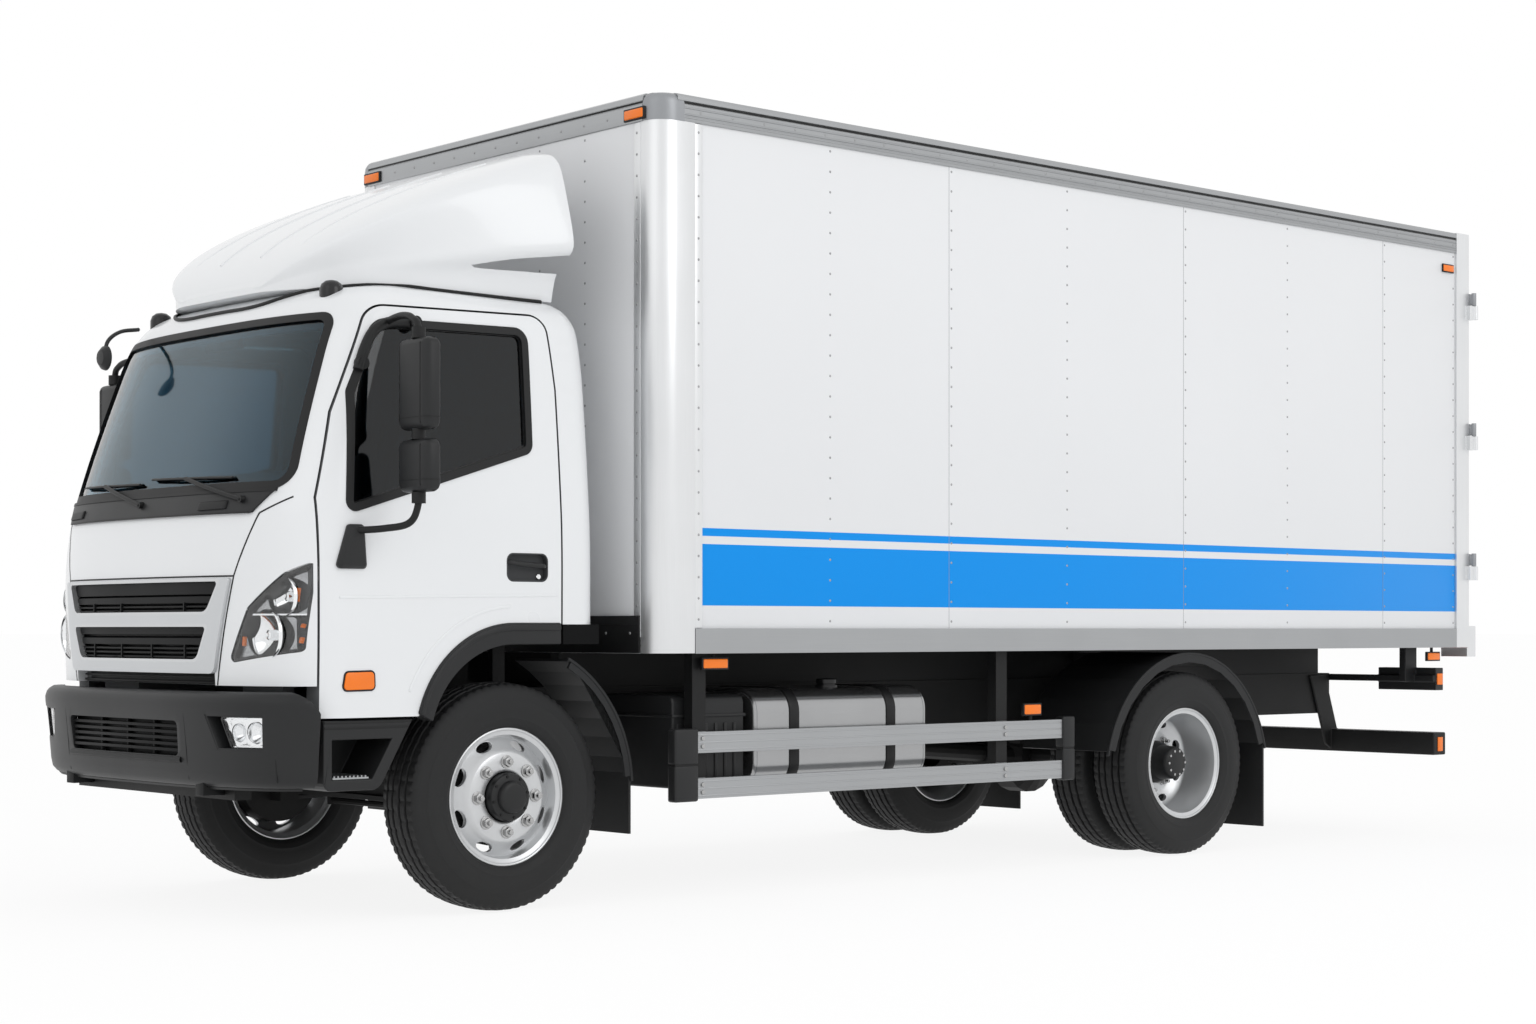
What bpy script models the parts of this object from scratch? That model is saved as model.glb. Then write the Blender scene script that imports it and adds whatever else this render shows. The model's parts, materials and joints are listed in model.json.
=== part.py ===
"""Two-axle cab-over delivery truck with an aluminium cargo box.

Metres, +Z up, the front faces -Y, and +X is the driver's side. Every place is written from the front axle:
y is behind it and z is above the road. One empty then moves the whole truck so that its box is centred on the origin.
"""
import math

import bmesh
import bpy
from mathutils import Vector

for old in list(bpy.data.objects):
    bpy.data.objects.remove(old, do_unlink=True)

# Clearances
GAP = 0.0003            # between pieces that rest on each other
SHUT_GAP = 0.008        # round a door

# Running gear
TYRE_R = 0.44
TYRE_W = 0.245
RIM_R = 0.262           # over the flange
BEAD_R = 0.247
WHEELBASE = 3.87
FRONT_WHEEL_X = 0.822   # middle of the front tyre
KINGPIN_X = 0.72
TWIN_OUTER_X = 0.957
TWIN_INNER_X = 0.680
ROUND_STEPS = 20

# Frame
RAIL_X = 0.375          # outer face of a side rail
RAIL_FLANGE = 0.07
RAIL_T = 0.008
RAIL_Z = (0.62, 0.84)
RAIL_Y = (-0.98, 5.95)

# Cargo box
BOX_W = 2.20
BOX_Y = (0.60, 6.205)
BOX_Z = (0.984, 3.205)
WALL_T = 0.035
BOTTOM_RAIL_H = 0.10
TOP_RAIL_H = 0.11
RAIL_PROUD = 0.012      # how far the rails stand out of the walls
FLOOR_T = 0.03
POST_R = 0.10           # rounded front corner
POST_SIDE = 0.19        # how far the post reaches along the side
REAR_POST_Y = 0.115
REAR_POST_X = 0.075
REAR_DOOR_T = 0.04
BOARD_Y = 0.0033        # headboard behind the posts' front

# Cab
CAB_HALF = 0.97
CAB_REAR = 0.41
CAB_BOTTOM = 0.757
NOSE_BOTTOM = 0.875     # of the front panel, over the bumper
NOSE_BACK = -0.846      # behind it the cab reaches down to its bottom
CAB_WALL = 0.07
CAB_POWER = 2.8         # how square the front corners are
TUNNEL_HALF = 0.41
TUNNEL_TOP = 1.09
ARCH_CENTRE_Z = 0.66
ARCH_R = 0.44           # door edge over the wheel
TRIM_R = 0.385          # inner edge of the arch trim
TILT_PIVOT = (-1.05, 0.66)
TILT_PIN_R = 0.016
TILT_ARM_X = (0.413, 0.438)
BUMPER_FRONT = -1.15
BUFFER_END = 6.275

# Where the overall box is centred, front face to rear buffers
MID_Y = (BUMPER_FRONT + BUFFER_END) / 2


def material(name, colour, roughness, metallic=0.0, alpha=1.0):
    made = bpy.data.materials.new(name)
    made.use_nodes = True
    shader = made.node_tree.nodes["Principled BSDF"]
    shader.inputs["Base Color"].default_value = (*colour, 1.0)
    shader.inputs["Roughness"].default_value = roughness
    shader.inputs["Metallic"].default_value = metallic
    shader.inputs["Alpha"].default_value = alpha
    return made


WHITE = material("cab_white", (0.83, 0.85, 0.87), 0.3)
PANEL = material("box_panel", (0.78, 0.80, 0.83), 0.45)
ALUMINIUM = material("aluminium", (0.62, 0.63, 0.65), 0.35, 1.0)
BLACK = material("black_plastic", (0.035, 0.037, 0.04), 0.55)
CHASSIS = material("chassis_black", (0.012, 0.012, 0.013), 0.5)
RUBBER = material("tyre_rubber", (0.022, 0.023, 0.025), 0.8)
STEEL = material("wheel_silver", (0.66, 0.67, 0.68), 0.3, 0.9)
GLASS = material("tinted_glass", (0.05, 0.09, 0.12), 0.05, 0.0, 0.45)
LAMP = material("lamp_clear", (0.75, 0.77, 0.78), 0.1)
SILVER = material("grille_silver", (0.60, 0.61, 0.63), 0.35, 0.3)
TRIM = material("cab_trim", (0.10, 0.10, 0.11), 0.7)


# Bodies. Each empty sits on its joint's axis, and the pieces that move together hang from it.
def body(name, place, parent=None):
    empty = bpy.data.objects.new("pivot_" + name, None)
    bpy.context.scene.collection.objects.link(empty)
    empty["place"] = place
    empty.parent = parent
    above = Vector(parent["place"]) if parent else Vector((0, MID_Y, 0))
    empty.location = Vector(place) - above
    return empty


def rear_hinge(side):
    return (side * (BOX_W / 2 + 0.028), BOX_Y[1] + 0.020, 0)


CHASSIS_BODY = body("chassis", (0, 0, 0))
CAB = body("cab", (0, *TILT_PIVOT), CHASSIS_BODY)
DOOR, KNUCKLE, FRONT_WHEEL, REAR_WHEEL, REAR_DOOR = {}, {}, {}, {}, {}
DOOR_FRONT = -0.84
DOOR_HINGE_X = 0.958
DOOR_HINGE_R = 0.010
DOOR_HINGES = (1.00, 1.36)
SIDES = ((1, "left"), (-1, "right"))
for side, word in SIDES:
    DOOR[side] = body("door_" + word, (side * DOOR_HINGE_X, DOOR_FRONT - 0.002, 0), CAB)
    KNUCKLE[side] = body("knuckle_" + word, (side * KINGPIN_X, 0, TYRE_R), CHASSIS_BODY)
    FRONT_WHEEL[side] = body("front_wheel_" + word, (side * FRONT_WHEEL_X, 0, TYRE_R), KNUCKLE[side])
    REAR_WHEEL[side] = body("rear_wheel_" + word, (side * TWIN_OUTER_X, WHEELBASE, TYRE_R), CHASSIS_BODY)
    REAR_DOOR[side] = body("box_door_" + word, rear_hinge(side), CHASSIS_BODY)
BALL = (KINGPIN_X - 0.06, 0.20)
TIE_ROD = body("tie_rod", (*BALL, TYRE_R - 0.10), KNUCKLE[1])


def finish_mesh(name, bm, colour, owner, hidden=False):
    """The object of a bmesh, hung from its body's empty with its points still written from the front axle."""
    bmesh.ops.remove_doubles(bm, verts=bm.verts, dist=1e-6)
    bmesh.ops.recalc_face_normals(bm, faces=bm.faces)
    mesh = bpy.data.meshes.new(name)
    bm.to_mesh(mesh)
    bm.free()
    mesh.materials.append(colour)
    mesh.shade_smooth()
    mesh.set_sharp_from_angle(angle=math.radians(35))
    made = bpy.data.objects.new(name, mesh)
    bpy.context.scene.collection.objects.link(made)
    made.parent = owner
    made.location = -Vector(owner["place"])
    made.hide_render = hidden
    if hidden:
        made.display_type = "WIRE"
    return made


def shape(bm, name="helper", colour=CHASSIS, owner=CHASSIS_BODY):
    """A hidden solid that a Boolean joins or cuts with."""
    return finish_mesh(name, bm, colour, owner, hidden=True)


def combine(target, operation, *others):
    for other in others:
        step = target.modifiers.new(operation.lower(), "BOOLEAN")
        step.operation = operation
        step.object = other
        step.solver = "EXACT"
    return target


def box(lo, hi):
    """A block between two corners."""
    bm = bmesh.new()
    corners = [bm.verts.new((x, y, z)) for x in (lo[0], hi[0]) for y in (lo[1], hi[1]) for z in (lo[2],
            hi[2])]
    for a, b, c, d in ((0, 1, 3, 2), (4, 6, 7, 5), (0, 4, 5, 1), (2, 3, 7, 6), (0, 2, 6, 4), (1, 5, 7, 3)):
        bm.faces.new([corners[i] for i in (a, b, c, d)])
    return bm


def prism(outline, axis, start, end):
    """An outline pushed along an axis. It is (y, z) points along X, (x, z) along Y and (x, y) along Z."""
    def place(point, t):
        a, b = point
        return {"X": (t, a, b), "Y": (a, t, b), "Z": (a, b, t)}[axis]
    bm = bmesh.new()
    loops = [[bm.verts.new(place(p, t)) for p in outline] for t in (start, end)]
    for ring in loops:
        bm.faces.new(ring)
    for i in range(len(outline)):
        j = (i + 1) % len(outline)
        bm.faces.new((loops[0][i], loops[0][j], loops[1][j], loops[1][i]))
    return bm


def loft(sections):
    """A closed solid through rings of equal length, with flat ends."""
    bm = bmesh.new()
    rings = [[bm.verts.new(p) for p in ring] for ring in sections]
    for below, above in zip(rings, rings[1:]):
        for i in range(len(below)):
            j = (i + 1) % len(below)
            bm.faces.new((below[i], below[j], above[j], above[i]))
    bm.faces.new(rings[0])
    bm.faces.new(rings[-1])
    return bm


def turned(profile, centre, steps=ROUND_STEPS, axis="X"):
    """A closed ring of (along, radius) points turned about an axis through centre, a flat facing down."""
    bm = bmesh.new()
    rings = []
    for k in range(steps):
        angle = 2 * math.pi * (k + 0.5) / steps
        c, s = math.cos(angle), math.sin(angle)
        ring = []
        for along, radius in profile:
            at = {"X": (along, radius * s, -radius * c), "Y": (radius * s, along, -radius * c),
                  "Z": (radius * c, radius * s, along)}[axis]
            ring.append(bm.verts.new(Vector(centre) + Vector(at)))
        rings.append(ring)
    count = len(profile)
    for k in range(steps):
        here, there = rings[k], rings[(k + 1) % steps]
        for i in range(count):
            j = (i + 1) % count
            corners = (here[i], here[j], there[j], there[i])
            flat = [corners[n] for n in range(4) if (corners[n].co - corners[n - 1].co).length > 1e-7]
            if len(flat) > 2:
                bm.faces.new(flat)
    return bm


def rod(start, end, radius, sides=8):
    """A straight round bar."""
    return swept([start, end], radius, sides)


def swept(path, radius, sides=8):
    """A round bar along a path, with mitred corners."""
    points = [Vector(p) for p in path]
    sections = []
    normal = None
    for i, point in enumerate(points):
        before = (point - points[i - 1]).normalized() if i else (points[1] - point).normalized()
        after = (points[i + 1] - point).normalized() if i < len(points) - 1 else before
        along = (before + after).normalized()
        if normal is None:
            normal = along.orthogonal().normalized()
        normal = (normal - along * normal.dot(along)).normalized()
        other = along.cross(normal)
        stretch = 1 / max(0.5, along.dot(before))
        bend = (after - before)
        across = bend.normalized() if bend.length > 1e-6 else None
        ring = []
        for k in range(sides):
            angle = 2 * math.pi * k / sides
            spoke = (normal * math.cos(angle) + other * math.sin(angle)) * radius
            if across is not None:
                spoke += across * spoke.dot(across) * (stretch - 1)
            ring.append(point + spoke)
        sections.append(ring)
    return loft(sections)


def rounded(outline, radii, steps=4):
    """An outline with its corners rounded. radii is one radius, or one for each corner."""
    count = len(outline)
    sizes = radii if isinstance(radii, (list, tuple)) else [radii] * count
    result = []
    for i in range(count):
        corner = Vector(outline[i])
        before, after = Vector(outline[i - 1]), Vector(outline[(i + 1) % count])
        radius = sizes[i]
        if radius <= 0:
            result.append(tuple(corner))
            continue
        to_a, to_b = (before - corner).normalized(), (after - corner).normalized()
        half = math.acos(max(-1, min(1, to_a.dot(to_b)))) / 2
        reach = radius / math.tan(half)
        centre = corner + (to_a + to_b).normalized() * (radius / math.sin(half))
        a, b = corner + to_a * reach - centre, corner + to_b * reach - centre
        turn = math.atan2(a.x * b.y - a.y * b.x, a.dot(b))
        for k in range(steps + 1):
            angle = turn * k / steps
            c, s = math.cos(angle), math.sin(angle)
            result.append((centre.x + a.x * c - a.y * s, centre.y + a.x * s + a.y * c))
    return result


def grown(outline, distance):
    """An outline moved outwards by a distance, corner by corner."""
    count = len(outline)
    area = sum(outline[i - 1][0] * outline[i][1] - outline[i][0] * outline[i - 1][1] for i in range(count))
    out = 1 if area > 0 else -1
    result = []
    for i in range(count):
        p, q, r = (Vector(outline[k % count]) for k in (i - 1, i, i + 1))
        n1 = Vector(((q - p).y, -(q - p).x)).normalized() * out
        n2 = Vector(((r - q).y, -(r - q).x)).normalized() * out
        mean = (n1 + n2).normalized()
        result.append(tuple(q + mean * (distance / max(0.3, mean.dot(n1)))))
    return result


def arc(centre, radius, start, end, steps):
    """Points of an arc in degrees."""
    angles = [math.radians(start + (end - start) * k / steps) for k in range(steps + 1)]
    return [(centre[0] + radius * math.cos(a), centre[1] + radius * math.sin(a)) for a in angles]


# The cab's shape: at each height, half its width, its nose, and where the nose's curve meets the straight side.
# Columns: height, half width, nose y, side start y, rear y
CAB_LEVELS = (
    (CAB_BOTTOM, CAB_HALF - 0.004, -1.062, -0.70, CAB_REAR),
    (1.10, CAB_HALF, -1.075, -0.70, CAB_REAR),
    (1.30, CAB_HALF, -1.070, -0.70, CAB_REAR),
    (1.48, CAB_HALF - 0.004, -1.050, -0.69, CAB_REAR),
    (1.60, CAB_HALF - 0.012, -1.010, -0.68, CAB_REAR),
    (2.00, CAB_HALF - 0.048, -0.872, -0.58, CAB_REAR),
    (2.24, CAB_HALF - 0.078, -0.775, -0.50, CAB_REAR - 0.012),
    (2.31, CAB_HALF - 0.105, -0.725, -0.46, CAB_REAR - 0.035),
    (2.355, CAB_HALF - 0.155, -0.655, -0.42, CAB_REAR - 0.075),
    (2.38, CAB_HALF - 0.250, -0.540, -0.35, CAB_REAR - 0.150),
)
CAB_TOP = CAB_LEVELS[-1][0]


def cab_level(z):
    """The cab's four plan values at a height between the levels."""
    for low, high in zip(CAB_LEVELS, CAB_LEVELS[1:]):
        if z <= high[0] + 1e-9:
            share = (z - low[0]) / (high[0] - low[0])
            return [a + (b - a) * share for a, b in zip(low[1:], high[1:])]
    return list(CAB_LEVELS[-1][1:])


def cab_ring(z, inset=0.0, nose_steps=6, corner_steps=2):
    """The cab's plan outline at a height, moved in by a wall's thickness."""
    half, nose, start, rear = cab_level(z)
    half, nose, rear = half - inset, nose + inset, rear - inset
    right = []
    for k in range(nose_steps + 1):
        t = math.pi / 2 * k / nose_steps
        x = half * math.sin(t) ** (2 / CAB_POWER)
        y = start - (start - nose) * math.cos(t) ** (2 / CAB_POWER)
        right.append((x, y))
    radius = max(0.03, 0.09 - inset / 2)
    right += arc((half - radius, rear - radius), radius, 0, 90, corner_steps)
    left = [(-x, y) for x, y in reversed(right[1:])]
    return [(x, y, z) for x, y in right + left]


def clip(bm, height, keep_above):
    """Cuts a closed mesh level at a height and closes the cut."""
    everything = bm.verts[:] + bm.edges[:] + bm.faces[:]
    bmesh.ops.bisect_plane(bm, geom=everything, dist=1e-7, plane_co=(0, 0, height), plane_no=(0, 0, 1),
                           clear_inner=keep_above, clear_outer=not keep_above)
    rim = [edge for edge in bm.edges if edge.is_boundary]
    bmesh.ops.contextual_create(bm, geom=rim)


def cab_solid(inset=0.0, low=None, high=None):
    """The cab's outer form, or the same moved in by a wall, between two heights. Its facets never depend on them."""
    bm = bmesh.new()
    rings = [[bm.verts.new(p) for p in cab_ring(level[0], inset)] for level in CAB_LEVELS]
    count = len(rings[0])
    for below, above in zip(rings, rings[1:]):
        for i in range(count):
            j = (i + 1) % count
            if i < count // 2:
                bm.faces.new((below[i], below[j], above[j]))
                bm.faces.new((below[i], above[j], above[i]))
            else:
                bm.faces.new((below[i], below[j], above[i]))
                bm.faces.new((below[j], above[j], above[i]))
    bm.faces.new(rings[0])
    bm.faces.new(rings[-1])
    if low is not None and low > CAB_BOTTOM:
        clip(bm, low, True)
    if high is not None and high < CAB_TOP:
        clip(bm, high, False)
    return bm


# Side outlines, as (y, z)
ARCH_END, ARCH_STEPS = 167, 8
ARCH_EDGE = arc((0, ARCH_CENTRE_Z), ARCH_R, 90, ARCH_END, ARCH_STEPS)
DOOR_OUTLINE = (
    [(DOOR_FRONT, CAB_BOTTOM + 0.002), (ARCH_EDGE[-1][0], CAB_BOTTOM + 0.002)]
    + list(reversed(ARCH_EDGE))
    + rounded([(0.222, ARCH_CENTRE_Z + ARCH_R), (0.225, 2.01), (0.20, 2.295), (-0.59, 2.275),
               (-0.76, 1.87), (DOOR_FRONT, 1.555)], [0.0, 0.0, 0.07, 0.10, 0.0, 0.0])
)
WINDOW_OUTLINE = rounded([(-0.735, 1.505), (0.095, 1.765), (0.105, 2.235), (-0.575, 2.222), (-0.70, 1.95)],
                         [0.03, 0.04, 0.05, 0.08, 0.0])
WINDSCREEN_OUTLINE = rounded([(-0.845, 1.60), (0.845, 1.60), (0.785, 2.245), (-0.785, 2.245)],
                             [0.07, 0.07, 0.06, 0.06])
ARCH_CUT = ([(ARCH_EDGE[-1][0], 0.3)] + list(reversed(ARCH_EDGE))
            + [(1.0, ARCH_CENTRE_Z + ARCH_R), (1.0, 0.3)])


def cab_cavity():
    """The room inside the cab: two foot wells, and the floor that steps up over the wheels and engine."""
    room = shape(cab_solid(CAB_WALL, CAB_BOTTOM + 0.05, CAB_TOP - 0.045), "cab_room")
    floor_rise = shape(box((-1.2, -0.50, 0.5), (1.2, 1.0, ARCH_CENTRE_Z + ARCH_R + 0.05)), "floor_rise")
    tunnel = shape(box((-TUNNEL_HALF - 0.03, -1.3, 0.5), (TUNNEL_HALF + 0.03, 1.0, TUNNEL_TOP + 0.06)),
                   "tunnel_cover")
    toe_board = shape(box((-1.2, -1.3, 0.5), (1.2, NOSE_BACK + 0.05, NOSE_BOTTOM + CAB_WALL)), "toe_board")
    return combine(room, "DIFFERENCE", floor_rise, tunnel, toe_board)


POCKET = rounded([(-0.565, 1.252), (0.565, 1.252), (0.435, 0.967), (-0.435, 0.967)], 0.02)
POCKET_DEPTH = 0.04


def grille_pocket():
    """The hollow in the front panel behind the grille."""
    pocket = shape(prism(POCKET, "Y", -1.3, -0.9), "grille_pocket")
    return combine(pocket, "DIFFERENCE", shape(cab_solid(POCKET_DEPTH, 0.90, 1.35), "pocket_back"))


def make_cab():
    shell = finish_mesh("cab_shell", cab_solid(), WHITE, CAB)
    cuts = [cab_cavity(), grille_pocket(), shape(prism(ARCH_CUT, "X", -1.3, 1.3), "arch_cut"),
            shape(box((-1.3, -1.3, 0.3), (1.3, NOSE_BACK, NOSE_BOTTOM)), "nose_cut"),
            shape(box((-TUNNEL_HALF, -0.93, 0.3), (TUNNEL_HALF, 1.0, TUNNEL_TOP)), "tunnel_cut"),
            shape(prism(WINDSCREEN_OUTLINE, "Y", -1.6, -0.40), "windscreen_cut")]
    for side, word in SIDES:
        cuts.append(shape(prism(grown(DOOR_OUTLINE, SHUT_GAP), "X", side * 0.70, side * 1.3),
                          "door_cut_" + word))
        cuts.append(shape(lamp_block(side), "lamp_cut_" + word))
    combine(shell, "DIFFERENCE", *cuts)
    y, z = TILT_PIVOT
    arm = [(y - 0.022, z + 0.020), (y - 0.028, z), (y - 0.016, z - 0.024), (y + 0.03, z - 0.028),
           (-0.78, 0.720),
           (-0.68, CAB_BOTTOM + 0.02), (-0.84, CAB_BOTTOM + 0.03), (-0.87, CAB_BOTTOM)]
    for side, word in SIDES:
        eyes = [rod((side * DOOR_HINGE_X, DOOR_FRONT - 0.002, h - 0.035),
                    (side * DOOR_HINGE_X, DOOR_FRONT - 0.002, h - GAP),
                    DOOR_HINGE_R) for h in DOOR_HINGES]
        a, b = sorted((side * 0.915, side * (DOOR_HINGE_X + 0.004)))
        eyes += [box((a, -0.865, h - 0.033), (b, DOOR_FRONT - 0.006, h - 0.002)) for h in DOOR_HINGES]
        combine(shell, "UNION", shape(prism(arm, "X", *[side * x for x in TILT_ARM_X]), "tilt_arm"),
                *[shape(e, "pillar_hinge") for e in eyes])
        bore_r = (TILT_PIN_R + GAP) / math.cos(math.pi / PIN_SIDES)
        combine(shell, "DIFFERENCE", shape(turned([(side * 0.40, 0.0), (side * 0.40, bore_r),
                                                   (side * 0.45, bore_r),
                                                   (side * 0.45, 0.0)], (0, y, z), PIN_SIDES), "tilt_bore"))
    screen = finish_mesh("windscreen", cab_solid(0.008, 1.55, 2.34), GLASS, CAB)
    combine(screen, "DIFFERENCE", shape(cab_solid(0.016, 1.50, 2.37), "screen_inside"))
    combine(screen, "INTERSECT", shape(prism(grown(WINDSCREEN_OUTLINE, -GAP), "Y", -1.6, -0.42),
                                       "screen_keep"))


def lamp_block(side, margin=0.0):
    """The headlamp's pocket, seen from the front as (x, z)."""
    outline = [(0.625, 0.955), (0.92, 1.00), (0.945, 1.33), (0.86, 1.285), (0.72, 1.16)]
    outline = [(side * x, z) for x, z in outline]
    return prism(grown(outline, margin), "Y", -1.3, -0.86 + margin)


def make_headlamps():
    for side, word in SIDES:
        lamp = finish_mesh("headlamp_" + word, cab_solid(0.004, 0.90, 1.40), LAMP, CAB)
        combine(lamp, "INTERSECT", shape(lamp_block(side, -GAP), "lamp_keep_" + word))
        combine(lamp, "DIFFERENCE", shape(cab_solid(CAB_WALL - 0.005), "lamp_inside_" + word))


def make_doors():
    for side, word in SIDES:
        door = finish_mesh("door_" + word, cab_solid(), WHITE, DOOR[side])
        keep = shape(prism(DOOR_OUTLINE, "X", side * 0.70, side * 1.3), "door_keep_" + word)
        combine(door, "INTERSECT", keep)
        inside = shape(cab_solid(CAB_WALL, CAB_BOTTOM - 0.1, CAB_TOP - 0.02), "door_inside_" + word)
        window = shape(prism(WINDOW_OUTLINE, "X", side * 0.6, side * 1.3), "window_cut_" + word)
        combine(door, "DIFFERENCE", inside, window)
        eyes = [rod((side * DOOR_HINGE_X, DOOR_FRONT - 0.002, h),
                    (side * DOOR_HINGE_X, DOOR_FRONT - 0.002, h + 0.035),
                    DOOR_HINGE_R) for h in DOOR_HINGES]
        a, b = sorted((side * 0.915, side * (DOOR_HINGE_X + 0.003)))
        eyes += [box((a, DOOR_FRONT + 0.002, h + 0.002), (b, DOOR_FRONT + 0.03,
                                                          h + 0.033)) for h in DOOR_HINGES]
        combine(door, "UNION", shape(arch_trim(side), "trim_" + word),
                *[shape(e, "door_hinge") for e in eyes])
        glass = finish_mesh("door_glass_" + word, cab_solid(0.012, 1.40, 2.30), GLASS, DOOR[side])
        combine(glass, "DIFFERENCE", shape(cab_solid(0.018, 1.35, 2.34), "glass_inside_" + word))
        pane = shape(prism(grown(WINDOW_OUTLINE, -GAP), "X", side * 0.6, side * 1.3), "glass_keep_" + word)
        combine(glass, "INTERSECT", pane)


def arch_trim(side, end=0.219, x_in=0.905, x_out=0.984):
    """The black moulding over the front wheel, on the door's lower edge."""
    outer = arc((0, ARCH_CENTRE_Z), ARCH_R + 0.006, 90, 166, 7)
    inner = arc((0, ARCH_CENTRE_Z - 0.022), TRIM_R, 90, 165, 7)
    outline = [(end, outer[0][1])] + outer + list(reversed(inner)) + [(end, inner[0][1])]
    return prism(outline, "X", side * x_in, side * x_out)


STEP_FRONT, STEP_TOP = -0.835, CAB_BOTTOM - 0.007
STEP_SIDE_X = 0.965


def make_steps():
    """The moulded entry steps, each on a bracket from the frame."""
    for side, word in SIDES:
        outline = rounded([(STEP_FRONT, 0.495), (-0.60, 0.495), (-0.455, STEP_TOP), (STEP_FRONT, STEP_TOP)],
                          [0.03, 0.05, 0.0, 0.0])
        step = finish_mesh("cab_step_" + word, prism(outline, "X", side * 0.66, side * STEP_SIDE_X), BLACK,
                           CHASSIS_BODY)
        tread = [(-0.80, 0.535), (-0.63, 0.535), (-0.545, 0.68), (-0.80, 0.68)]
        combine(step, "DIFFERENCE", shape(prism(tread, "X", side * 0.74, side * 1.2), "step_cut"))
        a, b = sorted((side * (RAIL_X + GAP), side * 0.70))
        combine(step, "UNION", shape(box((a, -0.74, 0.63), (b, -0.66, 0.69)), "step_bracket"))


def make_wheelhouses():
    """The liner of each arch under the cab, with the rear end of the arch trim."""
    arch_top = ARCH_CENTRE_Z + ARCH_R - GAP
    for side, word in SIDES:
        outer = arc((0, ARCH_CENTRE_Z), ARCH_R - GAP, 90, ARCH_END, ARCH_STEPS)
        inner = arc((0, ARCH_CENTRE_Z), ARCH_R - 0.012, 90, ARCH_END, ARCH_STEPS)
        outline = [(CAB_REAR, arch_top)] + outer + list(reversed(inner)) + [(CAB_REAR, inner[0][1])]
        liner = finish_mesh("arch_liner_" + word, prism(outline, "X", side * 0.50, side * 0.898), BLACK, CAB)
        rear_trim = [(0.232, arch_top), (CAB_REAR - 0.004, arch_top), (CAB_REAR - 0.004, 1.023),
                     (0.232, 1.023)]
        tie = [(0.30, 1.03), (0.36, 1.03), (0.36, arch_top - 0.001), (0.30, arch_top - 0.001)]
        combine(liner, "UNION", shape(prism(tie, "X", side * 0.88, side * 0.95), "trim_tie"),
                shape(prism(rear_trim, "X", side * 0.905, side * 0.97), "trim_rear"))


def make_front_details():
    """The grille's silver frame, the dark louvres behind it, and the cowl under the windscreen."""
    outer = [(-0.63, 1.262), (0.63, 1.262), (0.565, 0.93), (-0.565, 0.93)]
    grille = finish_mesh("grille", cab_solid(-0.016, 0.88, 1.30), SILVER, CAB)
    combine(grille, "INTERSECT", shape(prism(rounded(outer, 0.03), "Y", -1.3, -0.80), "grille_keep"))
    combine(grille, "DIFFERENCE", shape(cab_solid(-GAP, 0.86, 1.32), "grille_back"))
    for top, bottom, wide, narrow in ((1.248, 1.143, 0.560, 0.510), (1.090, 0.972, 0.490, 0.440)):
        hole = [(-wide, top), (wide, top), (narrow, bottom), (-narrow, bottom)]
        combine(grille, "DIFFERENCE", shape(prism(rounded(hole, 0.02), "Y", -1.3, -0.9), "grille_hole"))
    louvres = finish_mesh("grille_louvres", cab_solid(POCKET_DEPTH - 0.012, 0.90, 1.35), BLACK, CAB)
    combine(louvres, "INTERSECT", shape(prism(grown(POCKET, -GAP), "Y", -1.3, -0.8), "louvre_keep"))
    combine(louvres, "DIFFERENCE", shape(cab_solid(POCKET_DEPTH - GAP, 0.86, 1.40), "louvre_back"))
    slats = []
    for z, reach in ((1.22, 0.53), (1.175, 0.51), (1.055, 0.455), (1.005, 0.435)):
        front, back = nose_line(z, reach, inset=0.004), nose_line(z, reach, inset=POCKET_DEPTH - 0.008)
        slats.append(shape(loft([[(x, y, z + dz) for x,
                                  y in front + list(reversed(back))] for dz in (-0.009, 0.009)]), "slat"))
    combine(louvres, "UNION", *slats)
    cowl = finish_mesh("cowl", cab_solid(-0.010, 1.505, 1.585), BLACK, CAB)
    combine(cowl, "INTERSECT", shape(box((-0.87, -1.3, 1.4), (0.87, -0.80, 1.7)), "cowl_keep"))
    combine(cowl, "DIFFERENCE", shape(cab_solid(-GAP, 1.45, 1.65), "cowl_back"))


def nose_line(z, reach, steps=8, inset=-0.001):
    """Points along the cab's nose at a height, from -reach to reach."""
    half, nose, start, _ = cab_level(z)
    line = []
    for k in range(steps + 1):
        x = -reach + 2 * reach * k / steps
        depth = (1 - abs(x / half) ** CAB_POWER) ** (1 / CAB_POWER)
        line.append((x, start - (start - nose) * depth + inset))
    return line


# Roof fairing. Columns: share of the length, height over the roof, shares of the rear section's widths, flare
FAIRING_Y = (-0.72, 0.30)
FAIRING_BASE = CAB_TOP - 0.012
FAIRING_RISE = 0.615
FAIRING_STATIONS = (0.0, 0.04, 0.13, 0.30, 0.52, 0.76, 1.0)
# Rear section of the fairing: half widths and heights as shares of the rise, from the crown down to the base
FAIRING_SECTION = ((0.0, 1.0), (0.36, 0.998), (0.70, 0.985), (0.81, 0.94), (0.865, 0.86), (0.945, 0.42),
                   (0.95, 0.30),
                   (0.83, 0.19), (0.80, 0.0))
FAIRING_FLARE = (0.0, 0.0, 0.0, 0.0, 0.0, 1.0, 1.0, 0.15, 0.0)


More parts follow.
